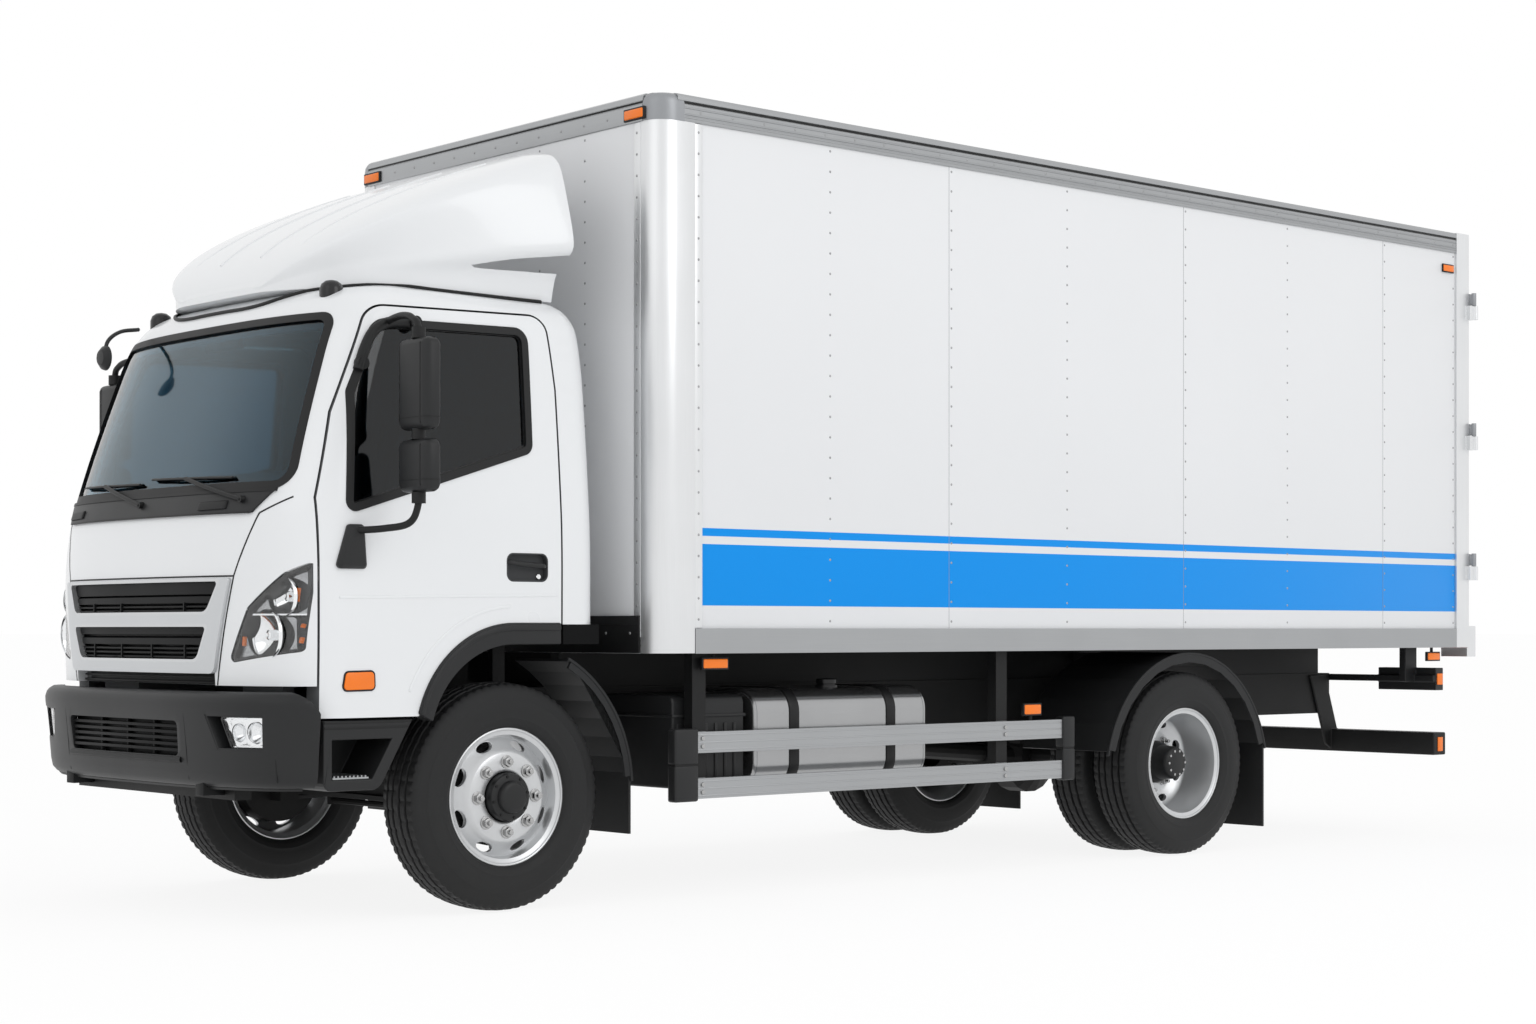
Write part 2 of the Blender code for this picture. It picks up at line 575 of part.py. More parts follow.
def fairing_ring(share, inset=0.0):
    y = FAIRING_Y[0] + (FAIRING_Y[1] - FAIRING_Y[0]) * share
    rise = FAIRING_RISE * max(share, 0.004) ** 0.58
    wide = 0.30 + 0.70 * (1 - (1 - share) ** 2.6) ** 0.5
    grow = max(0.0, (share - 0.28) / 0.72)
    half = []
    for (x, height), flare in zip(FAIRING_SECTION, FAIRING_FLARE):
        base = 0.80 + (x - 0.80) * (1 if flare == 0 else grow)
        wanted = (x if flare == 0 else base) * wide
        half.append((max(0.0, wanted - inset), max(0.0, height * rise - inset)))
    roof = FAIRING_BASE - (0.03 if inset else 0.0)
    ring = [(x, y, roof + (0.0 if k == len(half) - 1 else z + (0.03 if inset else 0.0)))
            for k, (x, z) in enumerate(half)]
    return ring + [(-x, y_, z) for x, y_, z in reversed(ring[1:])]


def make_fairing():
    fairing = finish_mesh("roof_fairing", loft([fairing_ring(s) for s in FAIRING_STATIONS]), WHITE, CAB)
    hollow = [fairing_ring(s, 0.02) for s in FAIRING_STATIONS[3:]]
    hollow.append([(x, y + 0.2, z) for x, y, z in hollow[-1]])
    combine(fairing, "DIFFERENCE", shape(loft(hollow), "fairing_hollow"),
            shape(cab_solid(-GAP, 2.0), "fairing_seat"))


def make_cab_interior():
    floor = ARCH_CENTRE_Z + ARCH_R + 0.05 + GAP
    seat = [(-0.36, floor), (0.27, floor), (0.33, 1.95), (0.24, 1.97), (0.14, 1.40), (-0.36, 1.36)]
    bench = finish_mesh("seat_bench", prism(rounded(seat, [0.02, 0.02, 0.03, 0.03, 0.05, 0.06]), "X", -0.80,
                                            0.80),
                        TRIM, CAB)
    gap = shape(box((-0.02, -0.5, 1.3), (0.06, 0.4, 2.1)), "seat_gap")
    combine(bench, "DIFFERENCE", gap)
    dash_side = [(-1.2, 1.19), (-1.2, 1.52), (-0.62, 1.51), (-0.54, 1.42), (-0.57, 1.19)]
    dash = finish_mesh("dashboard", cab_solid(CAB_WALL + GAP, 1.18, 1.53), TRIM, CAB)
    keep = shape(prism(rounded(dash_side, [0.0, 0.0, 0.05, 0.04, 0.03]), "X", -0.78, 0.78), "dash_keep")
    combine(dash, "INTERSECT", keep)
    column = rod((0.38, -0.62, 1.36), (0.38, -0.44, 1.52), 0.03)
    rim = ring_tube((0.38, -0.40, 1.555), (0, 0.66, 0.75), 0.20, 0.015)
    spokes = [rod((0.38, -0.44, 1.52), (0.38 + 0.19 * math.cos(a), -0.40 - 0.75 * 0.19 * math.sin(a),
                                        1.555 + 0.66 * 0.19 * math.sin(a)), 0.012, 6)
              for a in (math.radians(20), math.radians(160), math.radians(270))]
    boss = rod((0.38, -0.455, 1.505), (0.38, -0.415, 1.541), 0.055)
    combine(dash, "UNION", shape(column, "column"), shape(boss, "wheel_boss"), shape(rim, "wheel_rim"),
            *[shape(s, "wheel_spoke") for s in spokes])


def ring_tube(centre, normal, radius, thick, steps=14, sides=5):
    """A round ring, such as a steering wheel's rim."""
    up = Vector(normal).normalized()
    first = up.orthogonal().normalized()
    second = up.cross(first)
    bm = bmesh.new()
    rings = []
    for k in range(steps):
        angle = 2 * math.pi * k / steps
        out = first * math.cos(angle) + second * math.sin(angle)
        ring = []
        for m in range(sides):
            around = 2 * math.pi * m / sides
            ring.append(bm.verts.new(Vector(centre) + out * (radius + thick * math.cos(around)) + up * thick * math.sin(around)))
        rings.append(ring)
    for k in range(steps):
        here, there = rings[k], rings[(k + 1) % steps]
        for m in range(sides):
            n = (m + 1) % sides
            bm.faces.new((here[m], here[n], there[n], there[m]))
    return bm


def make_mirrors():
    """Two mirror heads on a bent arm, from the top of the door down to its bracket."""
    for side, word in SIDES:
        x = side * 1.17
        upper = rounded([(x - side * 0.10, -0.60), (x + side * 0.10, -0.60), (x + side * 0.10, -0.53),
                         (x - side * 0.10, -0.53)],
                        0.025, 3)
        head = prism(upper, "Z", 1.80, 2.13)
        arm = swept([(side * 0.885, -0.50, 2.205), (side * 1.02, -0.55, 2.22), (side * 1.13, -0.565, 2.20),
                     (x, -0.565, 2.15), (x, -0.565, 1.62), (x, -0.57, 1.50), (side * 1.12, -0.60, 1.455),
                     (side * 0.985, -0.70, 1.44)], 0.014, 6)
        lower = prism(upper, "Z", 1.575, 1.765)
        pad = box((min(side * 0.9585, side * 1.0), -0.775, 1.30),
                  (max(side * 0.9585, side * 1.0), -0.66, 1.46))
        top_pad = swept([(side * 0.912, -0.66, 2.03), (side * 0.905, -0.60, 2.17),
                         (side * 0.900, -0.53, 2.215),
                         (side * 0.900, -0.40, 2.222)], 0.020, 6)
        mirror = finish_mesh("mirror_" + word, arm, BLACK, DOOR[side])
        combine(mirror, "UNION", shape(head, "mirror_head"), shape(lower, "mirror_low"),
                shape(pad, "mirror_pad"),
                shape(top_pad, "mirror_top"))
        combine(mirror, "DIFFERENCE", shape(cab_solid(-GAP), "mirror_seat_" + word))


BUMPER_REAR = -0.856
BUMPER_SIDE_START = -0.74
BUMPER_WALL = 0.03


def bumper_strip(profile, steps=8):
    """A closed moulding along the bumper's plan curve. The profile is (height, how far out, share kept at the sides)."""
    half, nose, last = CAB_HALF + 0.002, BUMPER_FRONT + 0.02, math.radians(81.2)
    sections = []
    for k in range(-steps, steps + 1):
        t = last * k / steps
        s, c = abs(math.sin(t)) ** (2 / 3.0) * (1 if k >= 0 else -1), math.cos(t) ** (2 / 3.0)
        side = (abs(k) / steps) ** 2
        ring = []
        for z, out, keep in profile:
            shift = out * (1 + (keep - 1) * side)
            y = BUMPER_SIDE_START - (BUMPER_SIDE_START - nose + shift) * c
            ring.append(((half + shift) * s, BUMPER_REAR if abs(k) == steps else y, z))
        sections.append(ring)
    return loft(sections)


def make_bumper():
    """A moulded bumper that wraps round both corners, with its air opening, its lamp pockets and their lamps."""
    outer = [(0.505, -0.030, 1), (0.53, -0.008, 1), (0.60, 0.0, 1), (0.68, 0.008, 1), (0.80, 0.020, 1),
             (0.838, 0.012, 1),
             (0.855, -0.012, 1)]
    inner = [(0.855, -0.075, 0.22), (0.843, -0.075, 0.22), (0.838, -0.018, 0.5), (0.80, -0.010, 0.5),
             (0.60, -BUMPER_WALL, 0.5), (0.505, -0.050, 0.8)]
    bumper = finish_mesh("front_bumper", bumper_strip(outer + inner), BLACK, CHASSIS_BODY)
    mouth = prism(rounded([(-0.42, 0.615), (0.42, 0.615), (0.43, 0.745), (-0.43, 0.745)], 0.02), "Y", -1.3,
                  -1.0)
    combine(bumper, "DIFFERENCE", shape(mouth, "mouth"))
    for side, _ in SIDES:
        combine(bumper, "DIFFERENCE", shape(swing_cut(side), "swing_cut"))
        pocket = [(side * 0.62, 0.765), (side * 0.845, 0.765), (side * 0.84, 0.655), (side * 0.66, 0.655)]
        combine(bumper, "DIFFERENCE", shape(prism(pocket, "Y", -1.3, -0.90), "fog_cut"))
        a, b = sorted((side * 0.49, side * 0.55))
        lamp = shape(bumper_strip([(0.62, -0.010, 1), (0.80, -0.010, 1), (0.80, -0.040, 1),
                                   (0.62, -0.040, 1)]), "fog_lamp")
        combine(lamp, "INTERSECT", shape(prism(grown(pocket, 0.006), "Y", -1.3, -0.90), "fog_keep"))
        combine(bumper, "UNION", shape(box((a, -1.09, 0.47), (b, UNDERRUN_FRONT - GAP, 0.56)),
                                       "bumper_stay"), lamp)
    slats = [shape(box((-0.43, -1.118, z - 0.008), (0.43, -1.100, z + 0.008)),
                   "mouth_slat") for z in (0.655, 0.70)]
    combine(bumper, "UNION", *slats)


UNDERRUN_FRONT = -1.00
SWING_R = 0.226         # the cab's lower front corner swings past the bumper at a little more than this


def swing_cut(side):
    """Takes the bumper's upper rear corner away on an arc about the tilt pin, so that the cab can swing past it."""
    edge = arc(TILT_PIVOT, SWING_R, 24, 62, 8)
    return prism(edge + [(edge[-1][0], 0.90), (-0.80, 0.90), (-0.80, edge[0][1])], "X", side * 0.86,
                 side * 1.10)


def c_rail(side):
    """A pressed side rail, open towards the middle."""
    outer, inner = side * RAIL_X, side * (RAIL_X - RAIL_FLANGE)
    web = side * (RAIL_X - RAIL_T)
    low, high = RAIL_Z
    outline = [(outer, low), (outer, high), (inner, high), (inner, high - RAIL_T), (web, high - RAIL_T),
               (web, low + RAIL_T), (inner, low + RAIL_T), (inner, low)]
    return prism(outline, "Y", *RAIL_Y)


CROSS_MEMBERS = (-0.90, 1.08, 1.85, 2.85, 3.20, 4.55, 5.10, 5.88)
HANGER_Y = {"front": (-0.62, 0.62), "rear": (WHEELBASE - 0.66, WHEELBASE + 0.66)}
SPRING_END_Z = 0.574


def make_frame():
    frame = finish_mesh("frame", c_rail(1), CHASSIS, CHASSIS_BODY)
    parts = [shape(c_rail(-1), "rail_right")]
    for y in CROSS_MEMBERS:
        parts.append(shape(box((-RAIL_X + 0.004, y - 0.035, RAIL_Z[0] + 0.10),
                               (RAIL_X - 0.004, y + 0.035, RAIL_Z[1] - 0.03)),
                           "cross_member"))
    for y in HANGER_Y["front"] + HANGER_Y["rear"]:
        for side, _ in SIDES:
            low, high = sorted((side * (RAIL_X - 0.065), side * (RAIL_X - 0.002)))
            outline = [(y - 0.06, RAIL_Z[0] + 0.004), (y + 0.06, RAIL_Z[0] + 0.004),
                       (y + 0.03, SPRING_END_Z + GAP),
                       (y - 0.03, SPRING_END_Z + GAP)]
            parts.append(shape(prism(outline, "X", low, high), "hanger"))
    combine(frame, "UNION", *parts)
    # Front underrun beam below the bumper, on two plates from the rails
    beam = box((-0.62, UNDERRUN_FRONT, 0.455), (0.62, -0.93, 0.52))
    combine(frame, "UNION", shape(beam, "underrun_beam"))
    # Rear mount of the cab: a hoop over the rails, below the tunnel's roof
    hoop = box((-0.45, 0.31, 1.035), (0.45, 0.39, ARCH_CENTRE_Z + ARCH_R - GAP))
    combine(frame, "UNION", shape(hoop, "cab_hoop"))
    y, z = TILT_PIVOT
    ear = [(-0.94, 0.635), (-0.94, 0.72), (y, z + 0.026), (y - 0.026, z), (y, z - 0.026)]
    for side, _ in SIDES:
        low, high = sorted((side * (RAIL_X - 0.030), side * (RAIL_X - 0.001)))
        combine(frame, "UNION", shape(box((low, 0.32, RAIL_Z[1] - 0.02), (high, 0.38, 1.04)), "hoop_leg"))
        combine(frame, "UNION", shape(prism(ear, "X", side * 0.368, side * 0.392), "tilt_ear"))
        pin = turned([(side * 0.37, 0.0), (side * 0.37, TILT_PIN_R), (side * 0.445, TILT_PIN_R),
                      (side * 0.445, 0.0)],
                     (0, y, z), PIN_SIDES)
        combine(frame, "UNION", shape(pin, "tilt_pin"))
        low, high = sorted((side * (RAIL_X - 0.02), side * (RAIL_X - 0.001)))
        combine(frame, "UNION", shape(box((low, RAIL_Y[0] + 0.002, 0.47), (high, -0.90, 0.70)),
                                      "underrun_plate"))


def leaf_spring(x, y, length, leaves, drop):
    """A pack of leaves, each shorter than the one above, as one closed outline pushed across."""
    z = SPRING_END_Z - drop
    half = length / 2
    top = [(y - half + length * k / 8, z + drop * ((k - 4) / 4) ** 2) for k in range(9)]
    steps = []
    for k in range(leaves):
        reach = half * (1 - 0.75 * k / max(1, leaves - 1)) if k else half
        below = z - 0.014 * (k + 1)
        steps.append((reach, below))
    bottom = []
    for k, (reach, level) in enumerate(steps):
        sag = drop * (reach / half) ** 2
        bottom.append((y + reach, level + sag))
        next_reach = steps[k + 1][0] if k + 1 < len(steps) else None
        if next_reach is not None:
            bottom.append((y + next_reach, level + drop * (next_reach / half) ** 2))
    mirrored = [(2 * y - a, b) for a, b in reversed(bottom)]
    return prism(top + bottom + mirrored, "X", x - 0.033, x + 0.033)


PIN_R = 0.020           # kingpin
PIN_SIDES = 10
SPINDLE_R = 0.0455
AXLE_R = 0.048          # rear axle's end


def make_axles():
    beam = [(-0.05, TYRE_R - 0.055), (0.05, TYRE_R - 0.055), (0.05, TYRE_R - 0.035), (0.018, TYRE_R - 0.035),
            (0.018, TYRE_R + 0.025), (0.05, TYRE_R + 0.025), (0.05, TYRE_R + 0.045), (-0.05, TYRE_R + 0.045),
            (-0.05, TYRE_R + 0.025), (-0.018, TYRE_R + 0.025), (-0.018, TYRE_R - 0.035),
            (-0.05, TYRE_R - 0.035)]
    front = finish_mesh("front_axle", prism(beam, "X", -0.64, 0.64), CHASSIS, CHASSIS_BODY)
    parts = []
    for side, word in SIDES:
        eye = turned([(TYRE_R - 0.055, 0.0), (TYRE_R - 0.055, 0.042), (TYRE_R + 0.055, 0.042),
                      (TYRE_R + 0.055, 0.0)],
                     (side * KINGPIN_X, 0, 0), 12, "Z")
        parts.append(shape(eye, "kingpin_eye"))
        low, high = sorted((side * 0.62, side * KINGPIN_X))
        parts.append(shape(box((low, -0.035, TYRE_R - 0.045), (high, 0.035, TYRE_R + 0.045)), "beam_end"))
        parts.append(shape(leaf_spring(side * 0.335, 0, 1.26, 4, 0.028), "front_spring"))
        parts.append(shape(box((side * 0.335 - 0.045, -0.06, TYRE_R + 0.02),
                               (side * 0.335 + 0.045, 0.06, 0.56)), "u_bolts"))
    combine(front, "UNION", *parts)
    bore_r = (PIN_R + GAP) / math.cos(math.pi / PIN_SIDES)
    for side, _ in SIDES:
        bored = turned([(0.30, 0.0), (0.30, bore_r), (0.60, bore_r), (0.60, 0.0)], (side * KINGPIN_X, 0, 0),
                       PIN_SIDES, "Z")
        combine(front, "DIFFERENCE", shape(bored, "kingpin_bore"))

    tube = turned([(-0.50, 0.0), (-0.50, 0.06), (0.50, 0.06), (0.50, 0.0)], (0, WHEELBASE, TYRE_R), 16)
    rear = finish_mesh("rear_axle", tube, CHASSIS, CHASSIS_BODY)
    banjo = turned([(-0.11, 0.0), (-0.11, 0.12), (-0.06, 0.185), (0.06, 0.185), (0.11, 0.12), (0.11, 0.0)],
                   (0, WHEELBASE, TYRE_R), 18)
    nose = turned([(WHEELBASE - 0.30, 0.0), (WHEELBASE - 0.30, 0.07), (WHEELBASE - 0.10, 0.095),
                   (WHEELBASE - 0.10, 0.0)],
                  (0, 0, TYRE_R), 14, "Y")
    parts = [shape(banjo, "banjo"), shape(nose, "pinion_nose")]
    for side, word in SIDES:
        stub = turned([(side * 0.49, 0.0), (side * 0.49, AXLE_R), (side * 0.94, AXLE_R), (side * 0.94, 0.0)],
                      (0, WHEELBASE, TYRE_R))
        parts.append(shape(stub, "axle_stub"))
        parts.append(shape(leaf_spring(side * 0.341, WHEELBASE, 1.34, 5, 0.014), "rear_spring"))
        parts.append(shape(box((side * 0.341 - 0.045, WHEELBASE - 0.08, TYRE_R + 0.02),
                               (side * 0.341 + 0.045, WHEELBASE + 0.08, 0.575)),
                           "rear_u_bolts"))
    combine(rear, "UNION", *parts)


def make_powertrain():
    """Engine, gearbox and propeller shaft: heavy masses as plain blocks at their real places."""
    engine = [(-0.40, 0.50), (0.28, 0.50), (0.28, 1.02), (-0.35, 1.02), (-0.40, 0.95)]
    block = finish_mesh("powertrain", prism(rounded(engine, 0.04, 2), "X", -0.26, 0.26), CHASSIS,
                        CHASSIS_BODY)
    gearbox = prism([(0.27, 0.52), (0.95, 0.56), (0.95, 0.76), (0.27, 0.88)], "X", -0.17, 0.17)
    shaft = rod((0, 0.93, 0.66), (0, WHEELBASE - 0.305, TYRE_R + 0.02), 0.045, 12)
    web = RAIL_X - RAIL_T - GAP
    radiator = box((-0.295, -0.56, 0.56), (0.295, -0.47, 1.03))
    hose = rod((0.18, -0.50, 0.95), (0.18, -0.30, 0.95), 0.03)
    mounts = [shape(box((-web, y, 0.70), (web, y + 0.07, 0.76)), "engine_mount") for y in (-0.20, 0.15)]
    rad_mount = shape(box((-web, -0.55, 0.64), (web, -0.48, 0.69)), "radiator_mount")
    combine(block, "UNION", shape(gearbox, "gearbox"), shape(shaft, "propeller_shaft"),
            shape(radiator, "radiator"), shape(hose, "hose"), rad_mount, *mounts)


def bore(radius):
    """The corner radius of a bore that runs clear of a round bar of the same number of sides."""
    return (radius + GAP) / math.cos(math.pi / ROUND_STEPS)


# Half of a rim's seat for one tyre, from the middle to the flange. Columns: along the axle, radius
RIM_SEAT = ((0.035, BEAD_R - 0.002), (0.0885, BEAD_R), (0.090, RIM_R), (0.100, RIM_R - 0.004))


def rim_top(middle=0.0):
    """The whole seat, inner flange first."""
    inner = [(middle - along, radius) for along, radius in reversed(RIM_SEAT)]
    return inner + [(middle + along, radius) for along, radius in RIM_SEAT]


def make_wheels():
    half = TYRE_W / 2
    r = TYRE_R / math.cos(math.pi / ROUND_STEPS)
    right = [(0.76 * half, r), (0.89 * half, r - 0.020), (half, BEAD_R + 0.080), (0.0875, BEAD_R + 0.018),
             (0.0875, BEAD_R + GAP)]
    tyre = [(-along, radius) for along, radius in reversed(right)] + right
    twin = TWIN_INNER_X - TWIN_OUTER_X
    front = rim_top() + [
        (0.046, 0.230), (0.060, 0.208), (0.096, 0.170), (0.096, 0.108), (0.128, 0.088), (0.155, 0.050),
        (0.155, 0.0), (0.062, 0.0), (0.062, bore(SPINDLE_R)), (-0.016, bore(SPINDLE_R)), (-0.016, 0.095),
                         (0.078, 0.108),
        (0.078, 0.160), (0.030, 0.216), (-0.045, 0.216), (-0.084, 0.238)]
    rear = list(reversed(rim_top())) + [
        (-0.130, 0.170), (-0.147, 0.170)] + list(reversed(rim_top(twin))) + [
        (twin - 0.084, 0.238), (twin - 0.045, 0.216), (twin + 0.082, 0.214), (-0.172, 0.190), (-0.320, 0.190),
        (-0.320, bore(AXLE_R)), (-0.012, bore(AXLE_R)), (-0.012, 0.0), (0.060, 0.0), (0.052, 0.072),
                (-0.040, 0.085),
        (-0.118, 0.112), (-0.118, 0.160), (-0.080, 0.214), (0.045, 0.218)]
    for side, word in SIDES:
        for name, x, y, owner in (("front_tyre_", FRONT_WHEEL_X, 0, FRONT_WHEEL[side]),
                                  ("rear_tyre_outer_", TWIN_OUTER_X, WHEELBASE, REAR_WHEEL[side]),
                                  ("rear_tyre_inner_", TWIN_INNER_X, WHEELBASE, REAR_WHEEL[side])):
            finish_mesh(name + word, turned(tyre, (side * x, y, TYRE_R)), RUBBER, owner)
        for name, profile, x, y, owner in (("front_wheel_", front, FRONT_WHEEL_X, 0, FRONT_WHEEL[side]),
                                           ("rear_wheel_", rear, TWIN_OUTER_X, WHEELBASE, REAR_WHEEL[side])):
            mirrored = [(side * along, radius) for along, radius in profile]
            finish_mesh(name + word, turned(mirrored, (side * x, y, TYRE_R)), STEEL, owner)


def make_knuckles():
    """Steering knuckles: a fork round the axle's eye, its pin, the wheel's spindle, and the arm to the tie rod."""
    top, low = TYRE_R + 0.095, TYRE_R - 0.095
    for side, word in SIDES:
        a, b = sorted((side * 0.7665, side * 0.80))
        knuckle = finish_mesh("knuckle_" + word, box((a, -0.05, low), (b, 0.05, top)), CHASSIS, KNUCKLE[side])
        a = min(side * 0.676, side * 0.80)
        b = max(side * 0.676, side * 0.80)
        x, ball_x = side * KINGPIN_X, side * BALL[0]
        pieces = [box((a, -0.045, TYRE_R + 0.062), (b, 0.045, top)),
                  box((a, -0.045, low), (b, 0.045, TYRE_R - 0.055 - GAP)),
                  turned([(low + 0.01, 0.0), (low + 0.01, PIN_R), (top - 0.01, PIN_R), (top - 0.01, 0.0)],
                         (x, 0, 0), PIN_SIDES, "Z"),
                  turned([(side * 0.79, 0.0), (side * 0.79, SPINDLE_R), (side * 0.878, SPINDLE_R),
                          (side * 0.878, 0.0)],
                         (0, 0, TYRE_R)),
                  swept([(x, 0.02, TYRE_R - 0.079), (side * (KINGPIN_X - 0.02), 0.12, TYRE_R - 0.075),
                         (ball_x, BALL[1], TYRE_R - 0.067)], 0.016, 8),
                  rod((ball_x, BALL[1], TYRE_R - 0.086), (ball_x, BALL[1], TYRE_R - 0.055), 0.022)]
        combine(knuckle, "UNION", *[shape(p, "knuckle_piece") for p in pieces])
    level = TYRE_R - 0.10
    bar = finish_mesh("tie_rod", rod((-BALL[0], BALL[1], level), (BALL[0], BALL[1], level), 0.0135),
                      CHASSIS, TIE_ROD)
    eyes = [shape(rod((side * BALL[0], BALL[1], TYRE_R - 0.118),
                      (side * BALL[0], BALL[1], TYRE_R - 0.086 - GAP), 0.020),
                  "tie_eye") for side, _ in SIDES]
    combine(bar, "UNION", *eyes)


def make_cargo_box():
    half = BOX_W / 2
    front, rear = BOX_Y
    low, high = BOX_Z
    skin = half - RAIL_PROUD            # outer face of a side panel
    floor_top = low + 0.135
    # Floor with its bottom rails, cross bearers and two long bearers that lie on the frame
    wide, notch = skin - WALL_T - GAP, half - POST_R - 0.02
    start, behind_post, end = front + BOARD_Y + WALL_T + GAP, front + POST_SIDE + GAP, rear - REAR_POST_Y - GAP
    right_side = [(notch, start), (notch, behind_post), (wide, behind_post), (wide, end)]
    plan = right_side + [(-x, y) for x, y in reversed(right_side)]
    floor = finish_mesh("box_floor", prism(plan, "Z", floor_top - FLOOR_T, floor_top), ALUMINIUM,
                        CHASSIS_BODY)
    parts = []
    for side, _ in SIDES:
        rail = [(side * half, low), (side * half, low + BOTTOM_RAIL_H),
                (side * (skin + GAP), low + BOTTOM_RAIL_H),
                (side * (skin + GAP), low + 0.03), (side * (skin - WALL_T - 0.001), low + 0.03),
                (side * (skin - WALL_T - 0.001), floor_top - 0.002),
                (side * (skin - WALL_T - 0.03), floor_top - 0.002),
                (side * (skin - WALL_T - 0.03), low)]
        parts.append(shape(prism(rail, "Y", front + POST_SIDE + GAP, rear - REAR_POST_Y - GAP),
                           "bottom_rail"))
        a, b = sorted((side * (RAIL_X - 0.065), side * (RAIL_X - 0.005)))
        parts.append(shape(box((a, front + 0.06, RAIL_Z[1] + GAP), (b, rear - 0.35, low + 0.02)),
                           "long_bearer"))
    bearers = 9
    for k in range(bearers):
        y = front + 0.30 + (rear - REAR_POST_Y - 0.20 - front - 0.30) * k / (bearers - 1)
        parts.append(shape(box((-skin + WALL_T + 0.02, y - 0.025, low + 0.002),
                               (skin - WALL_T - 0.02, y + 0.025, floor_top - 0.01)),
                           "cross_bearer"))
    combine(floor, "UNION", *parts)
    # Side panels, between the rails
    for side, word in SIDES:
        a, b = sorted((side * skin, side * (skin - WALL_T)))
        finish_mesh("box_side_" + word, box((a, front + POST_SIDE + GAP, low + 0.03 + GAP),
                                            (b, rear - REAR_POST_Y - GAP, high - 0.03 - GAP)),
                    PANEL, CHASSIS_BODY)
    # Headboard and its two rounded corner posts
    board = finish_mesh("box_front", box((-half + POST_R + 0.001, front + BOARD_Y, low + 0.001),
                                      (half - POST_R - 0.001, front + BOARD_Y + WALL_T, high - 0.03 - GAP)),
                PANEL, CHASSIS_BODY)
    for side, word in SIDES:
        outer = arc((half - POST_R, front + POST_R), POST_R, 270, 360, 7)
        inner = arc((half - POST_R, front + POST_R), POST_R - 0.04, 360, 270, 5)
        outline = ([(half - POST_R - 0.011, front)] + outer + [(half, front + POST_SIDE),
                                                               (half - 0.012 - WALL_T, front + POST_SIDE),
                   (half - 0.012 - WALL_T, front + POST_R)] + inner[1:] + [(half - POST_R - 0.011,
                           front + 0.04)])
        post = [(side * x, y) for x, y in outline]
        combine(board, "UNION", shape(prism(post, "Z", low, high - TOP_RAIL_H - GAP), "corner_post_" + word))
    # Roof skin with the top rails that run round three sides, corner castings in front
    outline = [(-half, rear - REAR_POST_Y - GAP), (-half, front + POST_R)] + \
        [(-x, y) for x, y in reversed(arc((half - POST_R, front + POST_R), POST_R, 270, 360, 7)[:-1])] + \
        [(x, y) for x, y in arc((half - POST_R, front + POST_R), POST_R, 270, 360, 7)] + [(half,
                rear - REAR_POST_Y - GAP)]
    rim = ((high - TOP_RAIL_H, 0.0), (high - 0.035, 0.0), (high - 0.012, -0.007), (high, -0.03))
    roof = finish_mesh("box_roof", loft([[(x, y, z) for x,
                                          y in (grown(outline, out) if out else outline)] for z, out in rim]),
                       ALUMINIUM, CHASSIS_BODY)
    inner = [(-skin - GAP, rear), (-skin - GAP, front + 0.003), (skin + GAP, front + 0.003),
             (skin + GAP, rear)]
    lip = shape(prism(inner, "Z", high - TOP_RAIL_H - 0.1, high - 0.03), "roof_hollow")
    tail = shape(box((-2, rear - REAR_POST_Y - GAP, high - 0.3), (2, rear + 1, high + 0.3)), "roof_tail")
    combine(roof, "DIFFERENCE", lip, tail)
    corner_fill = [shape(prism([(side * x, y) for x, y in
                                [(half - POST_R, front + 0.001)] + arc((half - POST_R, front + POST_R),
                                        POST_R - 0.001, 270, 360, 7)[1:-1]
                                + [(half - 0.001, front + POST_R), (half - 0.02, front + POST_R + 0.03),
                                   (half - POST_R, front + 0.03)]],
                               "Z", high - TOP_RAIL_H + 0.001, high - 0.02), "corner_casting") for side,
                   _ in SIDES]
    combine(roof, "UNION", *corner_fill)


def make_rear_frame():
    """The rear portal: two posts, a header and a sill, with the hinge lugs and rubber buffers."""
    half = BOX_W / 2
    rear = BOX_Y[1]
    low, high = BOX_Z
    y0 = rear - REAR_POST_Y
    portal = finish_mesh("rear_frame", box((-half, y0, low), (half, rear, high)), ALUMINIUM, CHASSIS_BODY)
    combine(portal, "DIFFERENCE", shape(box((-half + REAR_POST_X, y0 - 0.1, low + 0.135),
                                            (half - REAR_POST_X, rear + 0.1, high - 0.13)),
                                        "portal_opening"))
    parts = []
    for side, _ in SIDES:
        x, y, _z = rear_hinge(side)
        for z in HINGE_HEIGHTS:
            low_x, high_x = sorted((side * (half - 0.02), x))
            parts.append(shape(box((low_x, rear - 0.03, z - 0.075), (high_x, y, z - GAP)), "hinge_lug"))
            parts.append(shape(rod((x, y, z - 0.075), (x, y, z - GAP), 0.013), "hinge_pin"))
    combine(portal, "UNION", *parts)
    for side, word in SIDES:
        a, b = sorted((side * (half - 0.17), side * (half - 0.005)))
        combine(portal, "UNION", shape(box((a, rear - 0.01, low - 0.05), (b, BUFFER_END, low + 0.115)),
                                       "buffer_" + word))


HINGE_HEIGHTS = (1.42, 2.12, 2.82)


